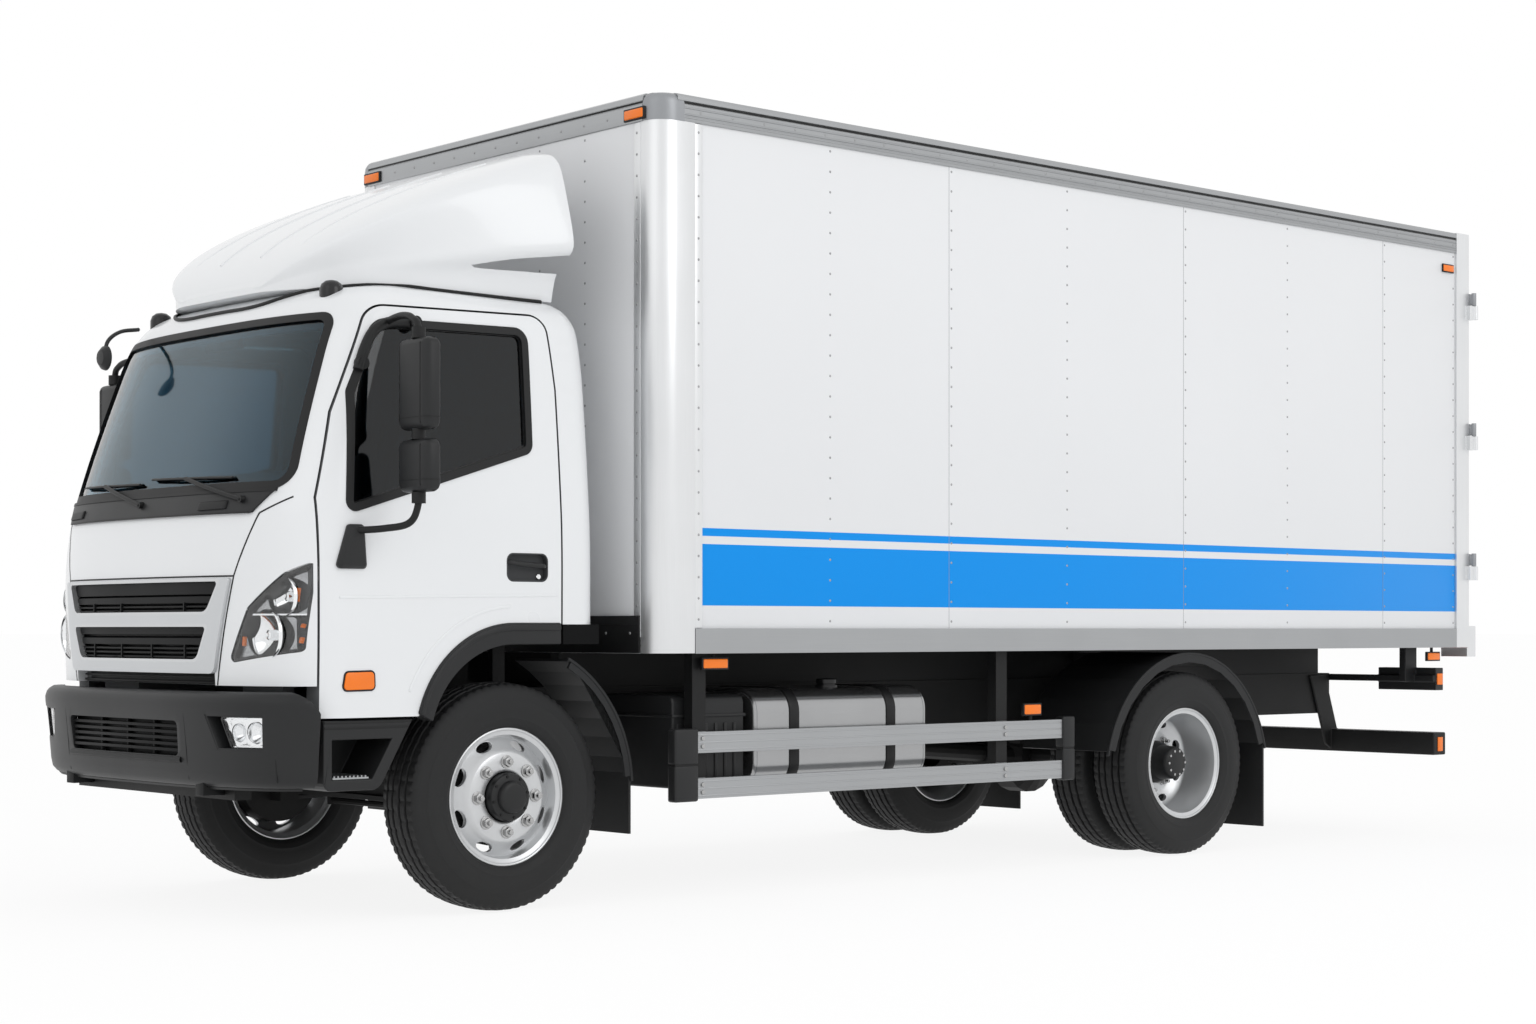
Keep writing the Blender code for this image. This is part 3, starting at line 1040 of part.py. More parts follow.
def make_rear_doors():
    half = BOX_W / 2
    rear = BOX_Y[1]
    low, high = BOX_Z[0] + 0.135 + SHUT_GAP, BOX_Z[1] - 0.13 - SHUT_GAP
    for side, word in SIDES:
        a, b = sorted((side * 0.004, side * (half - REAR_POST_X - SHUT_GAP)))
        leaf = finish_mesh("box_door_" + word, box((a, rear - REAR_DOOR_T, low), (b, rear - 0.002, high)),
                           PANEL, REAR_DOOR[side])
        x, y, _z = rear_hinge(side)
        parts = []
        for z in HINGE_HEIGHTS:
            near, far = sorted((side * (half - REAR_POST_X - 0.25), side * (half + 0.022)))
            parts.append(shape(box((near, rear + 0.0055, z), (far, rear + 0.0135, z + 0.07)), "strap"))
            near, far = sorted((side * (half - REAR_POST_X - 0.25), side * (half - REAR_POST_X - 0.02)))
            parts.append(shape(box((near, rear - 0.01, z + 0.005), (far, rear + 0.010, z + 0.065)),
                               "strap_foot"))
            parts.append(shape(rod((x, y, z), (x, y, z + 0.07), 0.013), "strap_eye"))
        for reach in (0.10, 0.44):
            bar_x = side * reach
            parts.append(shape(rod((bar_x, rear + 0.020, low + 0.005), (bar_x, rear + 0.020, high - 0.005),
                                   0.012, 6), "lock_rod"))
            for z in (low + 0.12, high - 0.12):
                parts.append(shape(box((bar_x - 0.03, rear - 0.01, z - 0.02),
                                       (bar_x + 0.03, rear + 0.024, z + 0.02)), "rod_guide"))
        combine(leaf, "UNION", *parts)


def make_side_guards():
    """Two aluminium planks between end posts, hung from the box's bearers."""
    for side, word in SIDES:
        a, b = sorted((side * 1.035, side * 1.060))
        guard = finish_mesh("side_guard_" + word, box((a, 0.80, 0.585), (b, 3.02, 0.670)), ALUMINIUM,
                            CHASSIS_BODY)
        parts = [shape(box((a, 0.80, 0.402), (b, 3.02, 0.484)), "guard_low")]
        a, b = sorted((side * 1.02, side * 1.065))
        parts.append(shape(box((a, 0.715, 0.395), (b, 0.83, 0.680)), "guard_front"))
        parts.append(shape(box((a, 3.00, 0.395), (b, 3.075, 0.680)), "guard_rear"))
        for y in (0.86, 2.62):
            a, b = sorted((side * 0.985, side * 1.037))
            parts.append(shape(box((a, y - 0.035, 0.42), (b, y + 0.035, BOX_Z[0] - GAP)), "guard_post"))
        combine(guard, "UNION", *parts)


def make_tank_and_boxes():
    section = rounded([(0.50, 0.44), (0.985, 0.44), (0.985, 0.835), (0.50, 0.835)],
                      [0.05, 0.09, 0.10, 0.05], 4)
    tank = finish_mesh("fuel_tank", prism(section, "Y", 1.20, 2.20), ALUMINIUM, CHASSIS_BODY)
    cap = rod((0.86, 1.72, 0.82), (0.86, 1.72, 0.862), 0.045, 16)
    foot = [shape(box((RAIL_X + GAP, y - 0.03, 0.50), (0.52, y + 0.03, 0.80)),
                  "tank_bracket") for y in (1.42, 1.98)]
    combine(tank, "UNION", shape(cap, "filler_cap"), *foot)
    section = rounded([(0.48, 0.44), (0.965, 0.44), (0.965, 0.815), (0.48, 0.815)], 0.03, 2)
    battery = finish_mesh("battery_box", prism(section, "Y", 0.78, 1.16), BLACK, CHASSIS_BODY)
    combine(battery, "UNION", shape(box((RAIL_X + GAP, 0.90, 0.66), (0.50, 1.04, 0.78)), "battery_bracket"))
    reservoir = turned([(1.30, 0.0), (1.30, 0.09), (1.34, 0.125), (2.06, 0.125), (2.10, 0.09), (2.10, 0.0)],
                       (-0.62, 0, 0.66), 20, "Y")
    air = finish_mesh("air_reservoir", reservoir, CHASSIS, CHASSIS_BODY)
    combine(air, "UNION", *[shape(box((-0.52, y - 0.03, 0.64), (-RAIL_X - GAP, y + 0.03, 0.80)),
                                  "reservoir_bracket") for y in (1.45, 1.95)])


def guard_strip(centre, radius, thick, start, end, steps):
    outer = arc(centre, radius, start, end, steps)
    inner = arc(centre, radius - thick, start, end, steps)
    return outer + list(reversed(inner))


def make_mudguards():
    for side, word in SIDES:
        # Rear: a half round over both tyres, with a flap behind
        strip = guard_strip((WHEELBASE, 0.37), 0.60, 0.012, 14, 166, 12)
        a, b = sorted((side * 0.545, side * 1.085))
        guard = finish_mesh("rear_mudguard_" + word, prism(strip, "X", a, b), BLACK, CHASSIS_BODY)
        lip = guard_strip((WHEELBASE, 0.37), 0.599, 0.045, 15, 165, 12)
        c, d = sorted((side * 1.077, side * 1.087))
        flap = box((a + 0.003, WHEELBASE + 0.568, 0.11), (b - 0.003, WHEELBASE + 0.579, 0.54))
        stay = box((min(side * RAIL_X + side * GAP, side * 0.56), WHEELBASE - 0.03, 0.93),
                   (max(side * RAIL_X + side * GAP, side * 0.56), WHEELBASE + 0.03, 0.965))
        plate = box((min(side * (RAIL_X + GAP), side * (RAIL_X + 0.012)), WHEELBASE - 0.03, 0.74),
                    (max(side * (RAIL_X + GAP), side * (RAIL_X + 0.012)), WHEELBASE + 0.03, 0.96))
        combine(guard, "UNION", shape(prism(lip, "X", c, d), "guard_lip"), shape(flap, "rear_flap"),
                shape(stay, "guard_stay"),
                shape(plate, "guard_plate"))
        # Front: the half behind the wheel, on a bracket from the frame, with a flap below
        strip = guard_strip((0.0, 0.45), 0.585, 0.012, 4, 62, 7)
        a, b = sorted((side * 0.60, side * 0.955))
        front = finish_mesh("front_mudguard_" + word, prism(strip, "X", a, b), BLACK, CHASSIS_BODY)
        lip = guard_strip((0.0, 0.45), 0.584, 0.035, 5, 61, 7)
        c, d = sorted((side * 0.946, side * 0.959))
        flap = box((a + 0.003, 0.568, 0.27), (b - 0.003, 0.579, 0.51))
        stay = box((min(side * (RAIL_X + GAP), side * 0.62), 0.52, 0.66),
                   (max(side * (RAIL_X + GAP), side * 0.62), 0.575, 0.70))
        combine(front, "UNION", shape(prism(lip, "X", c, d), "front_lip"), shape(flap, "front_flap"),
                shape(stay, "front_stay"))


def make_rear_end():
    """Rear underrun bar on two braced legs, and the tail lamps on their own cross bar."""
    bar = finish_mesh("rear_underrun", box((-1.05, 5.95, 0.41), (1.05, 6.06, 0.53)), BLACK, CHASSIS_BODY)
    parts = []
    for side, _ in SIDES:
        a, b = sorted((side * (RAIL_X + GAP), side * (RAIL_X + 0.014)))
        parts.append(shape(prism([(5.76, 0.83), (5.90, 0.83), (6.02, 0.50), (5.96, 0.42), (5.90, 0.45)],
                                 "X", a, b), "underrun_leg"))
    combine(bar, "UNION", *parts)
    carrier = finish_mesh("tail_lamps", box((-1.04, 5.96, 0.80), (1.04, 5.99, 0.835)), BLACK, CHASSIS_BODY)
    parts = []
    for side, _ in SIDES:
        a, b = sorted((side * 0.68, side * 1.045))
        parts.append(shape(box((a, 5.975, 0.755), (b, 6.045, 0.875)), "tail_lamp"))
        a, b = sorted((side * 0.88, side * 0.92))
        parts.append(shape(box((a, 5.88, 0.80), (b, 5.985, BOX_Z[0] + 0.002 - GAP)), "lamp_hanger"))
    combine(carrier, "UNION", *parts)


make_cab()
make_headlamps()
make_doors()
make_steps()
make_wheelhouses()
make_front_details()
make_fairing()
make_cab_interior()
make_mirrors()
make_bumper()
make_frame()
make_axles()
make_powertrain()
make_wheels()
make_knuckles()
make_cargo_box()
make_rear_frame()
make_rear_doors()
make_side_guards()
make_tank_and_boxes()
make_mudguards()
make_rear_end()
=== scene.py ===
# %% [markdown]
# # A delivery truck, dressed
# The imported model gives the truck's bodies and where each of them turns. This script builds what the eye sees round
# that frame: smooth sheet metal, glass, rubber, aluminium rails with their rivets, treaded tyres and lamps. Every
# finished piece rides on one of the bodies, so it moves when that body moves.

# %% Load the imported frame
import json
from math import acos, atan2, copysign, cos, pi, radians, sin, tan

import bmesh
import bpy
from mathutils import Matrix, Vector

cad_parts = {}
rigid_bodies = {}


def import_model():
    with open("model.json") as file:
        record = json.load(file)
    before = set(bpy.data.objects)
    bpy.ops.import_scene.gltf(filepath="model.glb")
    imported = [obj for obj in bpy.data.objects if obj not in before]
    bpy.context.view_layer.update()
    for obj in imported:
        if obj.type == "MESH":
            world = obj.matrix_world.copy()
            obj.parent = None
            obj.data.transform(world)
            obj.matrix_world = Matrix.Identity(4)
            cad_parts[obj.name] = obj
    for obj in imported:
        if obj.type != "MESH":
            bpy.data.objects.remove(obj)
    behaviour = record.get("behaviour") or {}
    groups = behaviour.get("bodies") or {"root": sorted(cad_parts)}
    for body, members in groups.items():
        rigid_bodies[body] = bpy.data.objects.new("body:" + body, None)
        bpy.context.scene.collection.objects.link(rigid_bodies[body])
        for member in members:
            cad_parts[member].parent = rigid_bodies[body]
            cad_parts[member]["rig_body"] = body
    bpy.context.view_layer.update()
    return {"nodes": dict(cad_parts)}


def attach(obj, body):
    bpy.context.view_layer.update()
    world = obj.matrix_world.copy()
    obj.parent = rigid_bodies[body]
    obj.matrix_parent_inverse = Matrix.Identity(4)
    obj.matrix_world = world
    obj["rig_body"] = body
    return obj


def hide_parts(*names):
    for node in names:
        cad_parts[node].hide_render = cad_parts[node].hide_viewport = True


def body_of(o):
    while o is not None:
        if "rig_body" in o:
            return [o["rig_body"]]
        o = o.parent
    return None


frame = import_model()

# %% [markdown]
# ## Where things are
# A truck's drawing is measured from the front axle, so y is the distance behind it here, z is the height over the
# road and +x is the driver's side. The frame has its origin in the middle of the truck instead, so a finished mesh
# is moved forward by one fixed distance, once.

# %% Sizes that many pieces share
MIDDLE = 2.5625         # the frame's origin lies this far behind the front axle
SIDES = ((1, "left"), (-1, "right"))
TYRE_R = 0.44
WHEELBASE, FRONT_WHEEL_X, TWIN_OUTER_X, TWIN_INNER_X = 3.87, 0.822, 0.957, 0.68
BOX_HALF, BOX_FRONT, BOX_REAR, BOX_LOW = 1.1, 0.6, 6.205, 0.984
SKIN_X = BOX_HALF - 0.012
made = []

# %% [markdown]
# Most pieces start as one of a few solids: a block, an outline pushed along an axis, rings joined to a tube, a
# section turned about an axis, or a bar along a path.

# %% Basic solids
def box(corner, other):
    """A block between two opposite corners."""
    bm = bmesh.new()
    lo, hi = zip(*(sorted(pair) for pair in zip(corner, other)))
    corners = [bm.verts.new((x, y, z)) for x in (lo[0], hi[0]) for y in (lo[1], hi[1]) for z in (lo[2], hi[2])]
    for ring in ((0, 1, 3, 2), (4, 6, 7, 5), (0, 4, 5, 1), (2, 3, 7, 6), (0, 2, 6, 4), (1, 5, 7, 3)):
        bm.faces.new([corners[i] for i in ring])
    return bm


def prism(outline, axis, start, end):
    """An outline pushed along an axis. It is (y, z) points along X, (x, z) along Y and (x, y) along Z."""
    order = {"X": lambda p, t: (t, p[0], p[1]), "Y": lambda p, t: (p[0], t, p[1]), "Z": lambda p, t: (p[0], p[1], t)}
    return loft([[order[axis](p, t) for p in outline] for t in (start, end)])


def loft(sections, closed=False):
    """A closed solid through rings of equal length. Its ends are flat, or joined where it runs in a circle."""
    bm = bmesh.new()
    rings = [[bm.verts.new(p) for p in ring] for ring in sections]
    pairs = list(zip(rings, rings[1:])) + ([(rings[-1], rings[0])] if closed else [])
    for below, above in pairs:
        for i in range(len(below)):
            j = (i + 1) % len(below)
            bm.faces.new((below[i], below[j], above[j], above[i]))
    if not closed:
        bm.faces.new(rings[0])
        bm.faces.new(rings[-1])
    return bm


def turned(profile, centre, steps=64, axis="X", wave=None):
    """A closed ring of (along, radius) points turned about an axis. wave may change a point's radius on the way."""
    rings = []
    for k in range(steps):
        angle = 2 * pi * k / steps
        c, s = cos(angle), sin(angle)
        ring = []
        for n, (along, radius) in enumerate(profile):
            r = radius + (wave(k, n) if wave else 0.0)
            at = {"X": (along, r * s, -r * c), "Y": (r * s, along, -r * c), "Z": (r * c, r * s, along)}[axis]
            ring.append(Vector(centre) + Vector(at))
        rings.append(ring)
    return loft(rings, closed=True)


def swept(path, radius, sides=12, flat=1.0):
    """A bar along a path, round or flattened."""
    points = [Vector(p) for p in path]
    sections, normal = [], None
    for i, point in enumerate(points):
        before = (point - points[i - 1]).normalized() if i else (points[1] - point).normalized()
        after = (points[i + 1] - point).normalized() if i < len(points) - 1 else before
        along = (before + after).normalized()
        normal = (along.orthogonal() if normal is None else normal - along * normal.dot(along)).normalized()
        other = along.cross(normal)
        spokes = [2 * pi * k / sides for k in range(sides)]
        sections.append([point + (normal * cos(a) + other * sin(a) * flat) * radius for a in spokes])
    return loft(sections)


def smooth_path(points, steps=6):
    """Points on a soft curve through the given ones."""
    given = [Vector(p) for p in points]
    ends = [given[0] * 2 - given[1]] + given + [given[-1] * 2 - given[-2]]
    line = []
    for a, b, c, d in zip(ends, ends[1:], ends[2:], ends[3:]):
        for k in range(steps):
            t = k / steps
            line.append(0.5 * ((2 * b) + (c - a) * t + (2 * a - 5 * b + 4 * c - d) * t ** 2
                + (3 * b - a - 3 * c + d) * t ** 3))
    return line + [given[-1]]

# %% [markdown]
# Many panels start as a flat outline. These helpers round its corners, grow it evenly, give the points of an arc,
# and mirror it for the truck's other side.

# %% Outlines
def rectangle(x0, z0, x1, z1):
    return [(x0, z0), (x1, z0), (x1, z1), (x0, z1)]


def rounded(outline, radii, steps=6):
    """An outline with its corners rounded. radii is one radius, or one for each corner."""
    count = len(outline)
    sizes = radii if isinstance(radii, (list, tuple)) else [radii] * count
    result = []
    for i in range(count):
        corner, before, after = (Vector(outline[k % count]) for k in (i, i - 1, i + 1))
        if sizes[i] <= 0:
            result.append(tuple(corner))
            continue
        to_a, to_b = (before - corner).normalized(), (after - corner).normalized()
        half = acos(max(-1, min(1, to_a.dot(to_b)))) / 2
        reach = sizes[i] / tan(half)
        centre = corner + (to_a + to_b).normalized() * (sizes[i] / sin(half))
        a, b = corner + to_a * reach - centre, corner + to_b * reach - centre
        turn = atan2(a.x * b.y - a.y * b.x, a.dot(b))
        for k in range(steps + 1):
            c, s = cos(turn * k / steps), sin(turn * k / steps)
            result.append((centre.x + a.x * c - a.y * s, centre.y + a.x * s + a.y * c))
    return result


def grown(outline, distance):
    """An outline moved outwards by a distance, corner by corner."""
    count = len(outline)
    area = sum(outline[i - 1][0] * outline[i][1] - outline[i][0] * outline[i - 1][1] for i in range(count))
    out = 1 if area > 0 else -1
    result = []
    for i in range(count):
        p, q, r = (Vector(outline[k % count]) for k in (i - 1, i, i + 1))
        n1 = Vector(((q - p).y, -(q - p).x)).normalized() * out
        n2 = Vector(((r - q).y, -(r - q).x)).normalized() * out
        mean = (n1 + n2).normalized()
        result.append(tuple(q + mean * (distance / max(0.3, mean.dot(n1)))))
    return result


def arc(centre, radius, start, end, steps):
    """Points of an arc in degrees."""
    angles = [radians(start + (end - start) * k / steps) for k in range(steps + 1)]
    return [(centre[0] + radius * cos(a), centre[1] + radius * sin(a)) for a in angles]


def flipped(outline, side):
    """The outline on the driver's side as it is, on the other side mirrored in x."""
    return [(side * x, z) for x, z in outline]

# %% [markdown]
# ## From a shape to a finished piece
# Sheet metal, plastic and rubber never have knife edges, so most pieces get a small bevel that catches the light.
# The modifiers are turned into plain mesh at once. Then the mesh moves into the frame, gets its material, and rides
# on its body. Shapes that are cut out of each other use exact Booleans, and their cutters are thrown away.

# %% Helpers that make and cut
def scene_object(name, data):
    """A new object in the scene."""
    obj = bpy.data.objects.new(name, data)
    bpy.context.scene.collection.objects.link(obj)
    return obj


def object_from(bm, name):
    """A new object in the scene from a bmesh, which is used up."""
    mesh = bpy.data.meshes.new(name)
    bm.to_mesh(mesh)
    bm.free()
    return scene_object(name, mesh)


def solid(bm, name="tool"):
    """An object from a bmesh, with its faces pointing outwards."""
    bmesh.ops.remove_doubles(bm, verts=bm.verts, dist=1e-6)
    bmesh.ops.recalc_face_normals(bm, faces=bm.faces)
    return object_from(bm, name)


def baked(obj):
    """Turns an object's modifiers into plain mesh."""
    graph = bpy.context.evaluated_depsgraph_get()
    plain = bpy.data.meshes.new_from_object(obj.evaluated_get(graph))
    old = obj.data
    obj.modifiers.clear()
    obj.data = plain
    bpy.data.meshes.remove(old)
    return obj


def combine(obj, operation, tools):
    """Changes an object with others, by exact Booleans. The others are used up."""
    helpers = [solid(tool) if isinstance(tool, bmesh.types.BMesh) else tool for tool in tools]
    for helper in helpers:
        step = obj.modifiers.new(operation.lower(), "BOOLEAN")
        step.operation, step.object, step.solver = operation, helper, "EXACT"
    baked(obj)
    for helper in helpers:
        bpy.data.objects.remove(helper)
    return obj


def cut(obj, *tools):
    return combine(obj, "DIFFERENCE", tools)


def joined(obj, *tools):
    return combine(obj, "UNION", tools)


def within(obj, *tools):
    return combine(obj, "INTERSECT", tools)


def gathered(*shapes):
    """Several separate shapes in one bmesh."""
    bm = bmesh.new()
    for shape in shapes:
        mesh = bpy.data.meshes.new("part")
        shape.to_mesh(mesh)
        shape.free()
        bm.from_mesh(mesh)
        bpy.data.meshes.remove(mesh)
    return bm

# %% [markdown]
# A finished piece has rounded edges, smooth shading, a material and a body to ride on. It also hides the packed
# nodes whose place it takes.

# %% Helpers that finish a piece
def softened(obj, width, segments=2, angle=30):
    """Rounds an object's edges."""
    bevel = obj.modifiers.new("edges", "BEVEL")
    bevel.width, bevel.segments, bevel.limit_method, bevel.angle_limit = width, segments, "ANGLE", radians(angle)
    bevel.harden_normals = False
    return baked(obj)


def finish(obj, name, body, material, replaces=(), slot=None, angle=35, placed=False):
    """Gives a piece its name, shading, place, material and body."""
    obj.name = obj.data.name = name
    if not placed:
        obj.data.transform(Matrix.Translation((0, -MIDDLE, 0)))
        slot = slot or SLOT_OF.get(material)
    if material:
        obj.data.materials.clear()
        obj.data.materials.append(material)
    if not obj.data.has_custom_normals:
        obj.data.shade_smooth()
        obj.data.set_sharp_from_angle(angle=radians(angle))
    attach(obj, body)
    if replaces:
        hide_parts(*replaces)
    made.append((name, sum(len(face.vertices) - 2 for face in obj.data.polygons)))
    return obj


def progress(what):
    print(what + ":", len(made), "pieces,", sum(count for _, count in made), "triangles")


def piece(shape, name, body, material, replaces=(), slot=None, bevel=0.0, segments=2, angle=35):
    """A finished piece straight from one shape or a list of them."""
    obj = solid(gathered(*shape) if isinstance(shape, list) else shape, name)
    if bevel:
        softened(obj, bevel, segments)
    return finish(obj, name, body, material, replaces, slot, angle)


def from_frame(node, material, bevel=0.003, segments=2, name=None):
    """A copy of a frame node with its triangles merged into faces and its edges rounded."""
    source = frame["nodes"][node]
    bm = bmesh.new()
    bm.from_mesh(source.data)
    bmesh.ops.remove_doubles(bm, verts=bm.verts, dist=1e-5)
    bmesh.ops.dissolve_limit(bm, angle_limit=radians(0.5), verts=bm.verts, edges=bm.edges)
    obj = object_from(bm, node)
    if bevel:
        softened(obj, bevel, segments, 25)
    return finish(obj, name or node + "_dressed", body_of(source)[0], material, (node,), placed=True)

# %% [markdown]
# ## Finishes
# Paint, plastic and rubber are told apart by how they scatter light and by their fine relief. Four effects are used
# in many materials, and three node groups give them: a fine grain for moulded plastic and rubber, brushed streaks for
# aluminium, a slow colour variation that both of these also give, and road dust that thins out with height. They read
# Object coordinates, which are the truck's own metres, so the grain has its real size on every piece.

# %% Node groups for the effects
def add_socket(tree, label, kind, value=None, in_out="INPUT"):
    """A socket on a group's outside, with its first value."""
    socket = tree.interface.new_socket(label, in_out=in_out, socket_type="NodeSocket" + kind)
    if value is not None:
        socket.default_value = value


def node_group(name, inputs, outputs):
    """An empty group with float inputs, as (name, value), and float outputs by name."""
    tree = bpy.data.node_groups.new(name, "ShaderNodeTree")
    for label, value in inputs:
        add_socket(tree, label, "Float", value)
    for label in outputs:
        add_socket(tree, label, "Float", in_out="OUTPUT")
    return tree, tree.nodes.new("NodeGroupInput"), tree.nodes.new("NodeGroupOutput")


def node(tree, kind, links=None, **settings):
    """A node with its settings and its inputs linked or set, by socket name or number."""
    made_node = tree.nodes.new(kind)
    for key, value in settings.items():
        setattr(made_node, key, value)
    for key, value in (links or {}).items():
        socket = made_node.inputs[key]
        if isinstance(value, bpy.types.NodeSocket):
            tree.links.new(value, socket)
        else:
            socket.default_value = value
    return made_node


def maths(tree, operation, *values, clamp=False):
    """The result of a Math node."""
    return node(tree, "ShaderNodeMath", dict(enumerate(values)), operation=operation, use_clamp=clamp).outputs[0]

# %% [markdown]
# Grain and streaks give a height for a bump and a slowly varying value. Dust gives a mask.

# %% Grain, streaks and dust
def grain_group():
    """Fine leather-like grain. Height is for a Bump node, Value varies slowly from 0 to 1."""
    tree, given, result = node_group("moulded_grain", [("Size", 0.002), ("Patch", 0.3)], ["Height", "Value"])
    place = node(tree, "ShaderNodeTexCoord").outputs["Object"]
    scale = maths(tree, "DIVIDE", 1.0, given.outputs["Size"])
    cells = node(tree, "ShaderNodeTexNoise", {"Vector": place, "Scale": scale, "Detail": 2.0})
    slow_scale = maths(tree, "DIVIDE", 1.0, given.outputs["Patch"])
    slow = node(tree, "ShaderNodeTexNoise", {"Vector": place, "Scale": slow_scale, "Detail": 3.0})
    tree.links.new(cells.outputs["Fac"], result.inputs["Height"])
    tree.links.new(slow.outputs["Fac"], result.inputs["Value"])
    return tree


def brushed_group():
    """Streaks along one axis: the other two are stretched by Fineness."""
    tree, given, result = node_group("brushed_streaks", [("Along X", 0.0), ("Along Y", 1.0), ("Along Z", 0.0),
        ("Fineness", 900.0)], ["Height", "Value"])
    place = node(tree, "ShaderNodeTexCoord").outputs["Object"]
    sizes = []
    for label in ("Along X", "Along Y", "Along Z"):
        keep = maths(tree, "SUBTRACT", 1.0, given.outputs[label])
        fine = maths(tree, "MULTIPLY_ADD", keep, given.outputs["Fineness"], 4.0)
        sizes.append(fine)
    scale = node(tree, "ShaderNodeCombineXYZ", {0: sizes[0], 1: sizes[1], 2: sizes[2]})
    stretched = node(tree, "ShaderNodeVectorMath", {0: place, 1: scale.outputs[0]}, operation="MULTIPLY")
    streaks = node(tree, "ShaderNodeTexNoise", {"Vector": stretched.outputs[0], "Scale": 1.0, "Detail": 2.0})
    slow = node(tree, "ShaderNodeTexNoise", {"Vector": place, "Scale": 3.0, "Detail": 2.0})
    mixed = maths(tree, "MULTIPLY", streaks.outputs["Fac"], slow.outputs["Fac"])
    tree.links.new(streaks.outputs["Fac"], result.inputs["Height"])
    tree.links.new(mixed, result.inputs["Value"])
    return tree


def dust_group():
    """Road dust: 1 at the road, 0 above Reach, broken up by noise."""
    tree, given, result = node_group("road_dust", [("Reach", 0.9), ("Amount", 0.25)], ["Mask"])
    place = node(tree, "ShaderNodeTexCoord").outputs["Object"]
    parts = node(tree, "ShaderNodeSeparateXYZ", {0: place})
    share = maths(tree, "DIVIDE", parts.outputs["Z"], given.outputs["Reach"])
    low = maths(tree, "SUBTRACT", 1.0, share, clamp=True)
    spots = node(tree, "ShaderNodeTexNoise", {"Vector": place, "Scale": 9.0, "Detail": 6.0, "Roughness": 0.65})
    spread = maths(tree, "MULTIPLY", low, spots.outputs["Fac"])
    mask = maths(tree, "MULTIPLY", spread, given.outputs["Amount"], clamp=True)
    tree.links.new(mask, result.inputs["Mask"])
    return tree


GRAIN, BRUSHED, DUST = grain_group(), brushed_group(), dust_group()
DUST_COLOUR = (0.2, 0.185, 0.165, 1.0)
print("node groups", [group.name for group in (GRAIN, BRUSHED, DUST)])

# %% [markdown]
# ## Materials
# One function writes most of them: a base colour that varies a little, a relief that comes from one of the groups,
# and dust on what is near the road. What differs is the numbers. Values that are the same all over a surface are set
# straight on the Principled shader.

# %% The material maker
def material(name, colour, roughness, metallic=0.0, grain=(0.003, 0.3), streaks=None, relief=0.0, vary=0.1, dust=0.0,
             reach=0.9, **shader_values):
    """A finish. grain is (size, patch) of its relief, and streaks is (axis, fineness) where it is brushed instead."""
    mat = bpy.data.materials.new(name)
    mat.use_nodes = True
    mat.diffuse_color = (*colour, 1.0)
    tree = mat.node_tree
    shader = tree.nodes["Principled BSDF"]
    shader.inputs["Metallic"].default_value = metallic
    for key, value in shader_values.items():
        shader.inputs[key.replace("_", " ")].default_value = value
    source = tree.nodes.new("ShaderNodeGroup")
    source.node_tree = BRUSHED if streaks else GRAIN
    values = [float(axis == streaks[0]) for axis in "XYZ"] + [streaks[1]] if streaks else (*grain, 0.3)[:2]
    for number, value in enumerate(values):
        source.inputs[number].default_value = value
    dark = [c * (1 - vary) for c in colour]
    light = [min(1.0, c * (1 + vary)) for c in colour]
    tint = node(tree, "ShaderNodeMix", {0: source.outputs["Value"], 6: (*dark, 1.0), 7: (*light, 1.0)},
        data_type="RGBA")
    colour_out = tint.outputs[2]
    rough = node(tree, "ShaderNodeMapRange", {"Value": source.outputs["Value"],
        "To Min": max(0.02, roughness - 0.06), "To Max": min(1.0, roughness + 0.06)})
    rough_out = rough.outputs[0]
    if dust:
        mask = tree.nodes.new("ShaderNodeGroup")
        mask.node_tree = DUST
        mask.inputs["Amount"].default_value = dust
        mask.inputs["Reach"].default_value = reach
        dusty = node(tree, "ShaderNodeMix", {0: mask.outputs["Mask"], 6: colour_out, 7: DUST_COLOUR},
            data_type="RGBA")
        colour_out = dusty.outputs[2]
        dull = maths(tree, "ADD", mask.outputs["Mask"], rough_out, clamp=True)
        rough_out = dull
    tree.links.new(colour_out, shader.inputs["Base Color"])
    tree.links.new(rough_out, shader.inputs["Roughness"])
    if relief:
        bump = node(tree, "ShaderNodeBump", {"Height": source.outputs["Height"], "Strength": 1.0, "Distance": relief})
        tree.links.new(bump.outputs[0], shader.inputs["Normal"])
    return mat

# %% [markdown]
# The cab has a clear-coated white. Everything black on a truck is plastic, rubber or thin chassis paint. All of
# them reflect little, and they differ in shade and grain.

# %% Paints, plastics and rubber
PAINT = material("cab_paint", (0.76, 0.775, 0.79), 0.3, grain=(0.004, 0.8), relief=0.00002, vary=0.012,
    Coat_Weight=0.4, Coat_Roughness=0.08)


def black(name, shade, roughness, size, relief, vary=0.15, dust=0.0, shine=0.25):
    """A black plastic, rubber or chassis paint: a low reflection keeps it black under a white sky."""
    return material(name, (shade, shade * 1.04, shade * 1.1), roughness, grain=(size, 0.2), relief=relief,
        vary=vary, dust=dust, Specular_IOR_Level=shine)


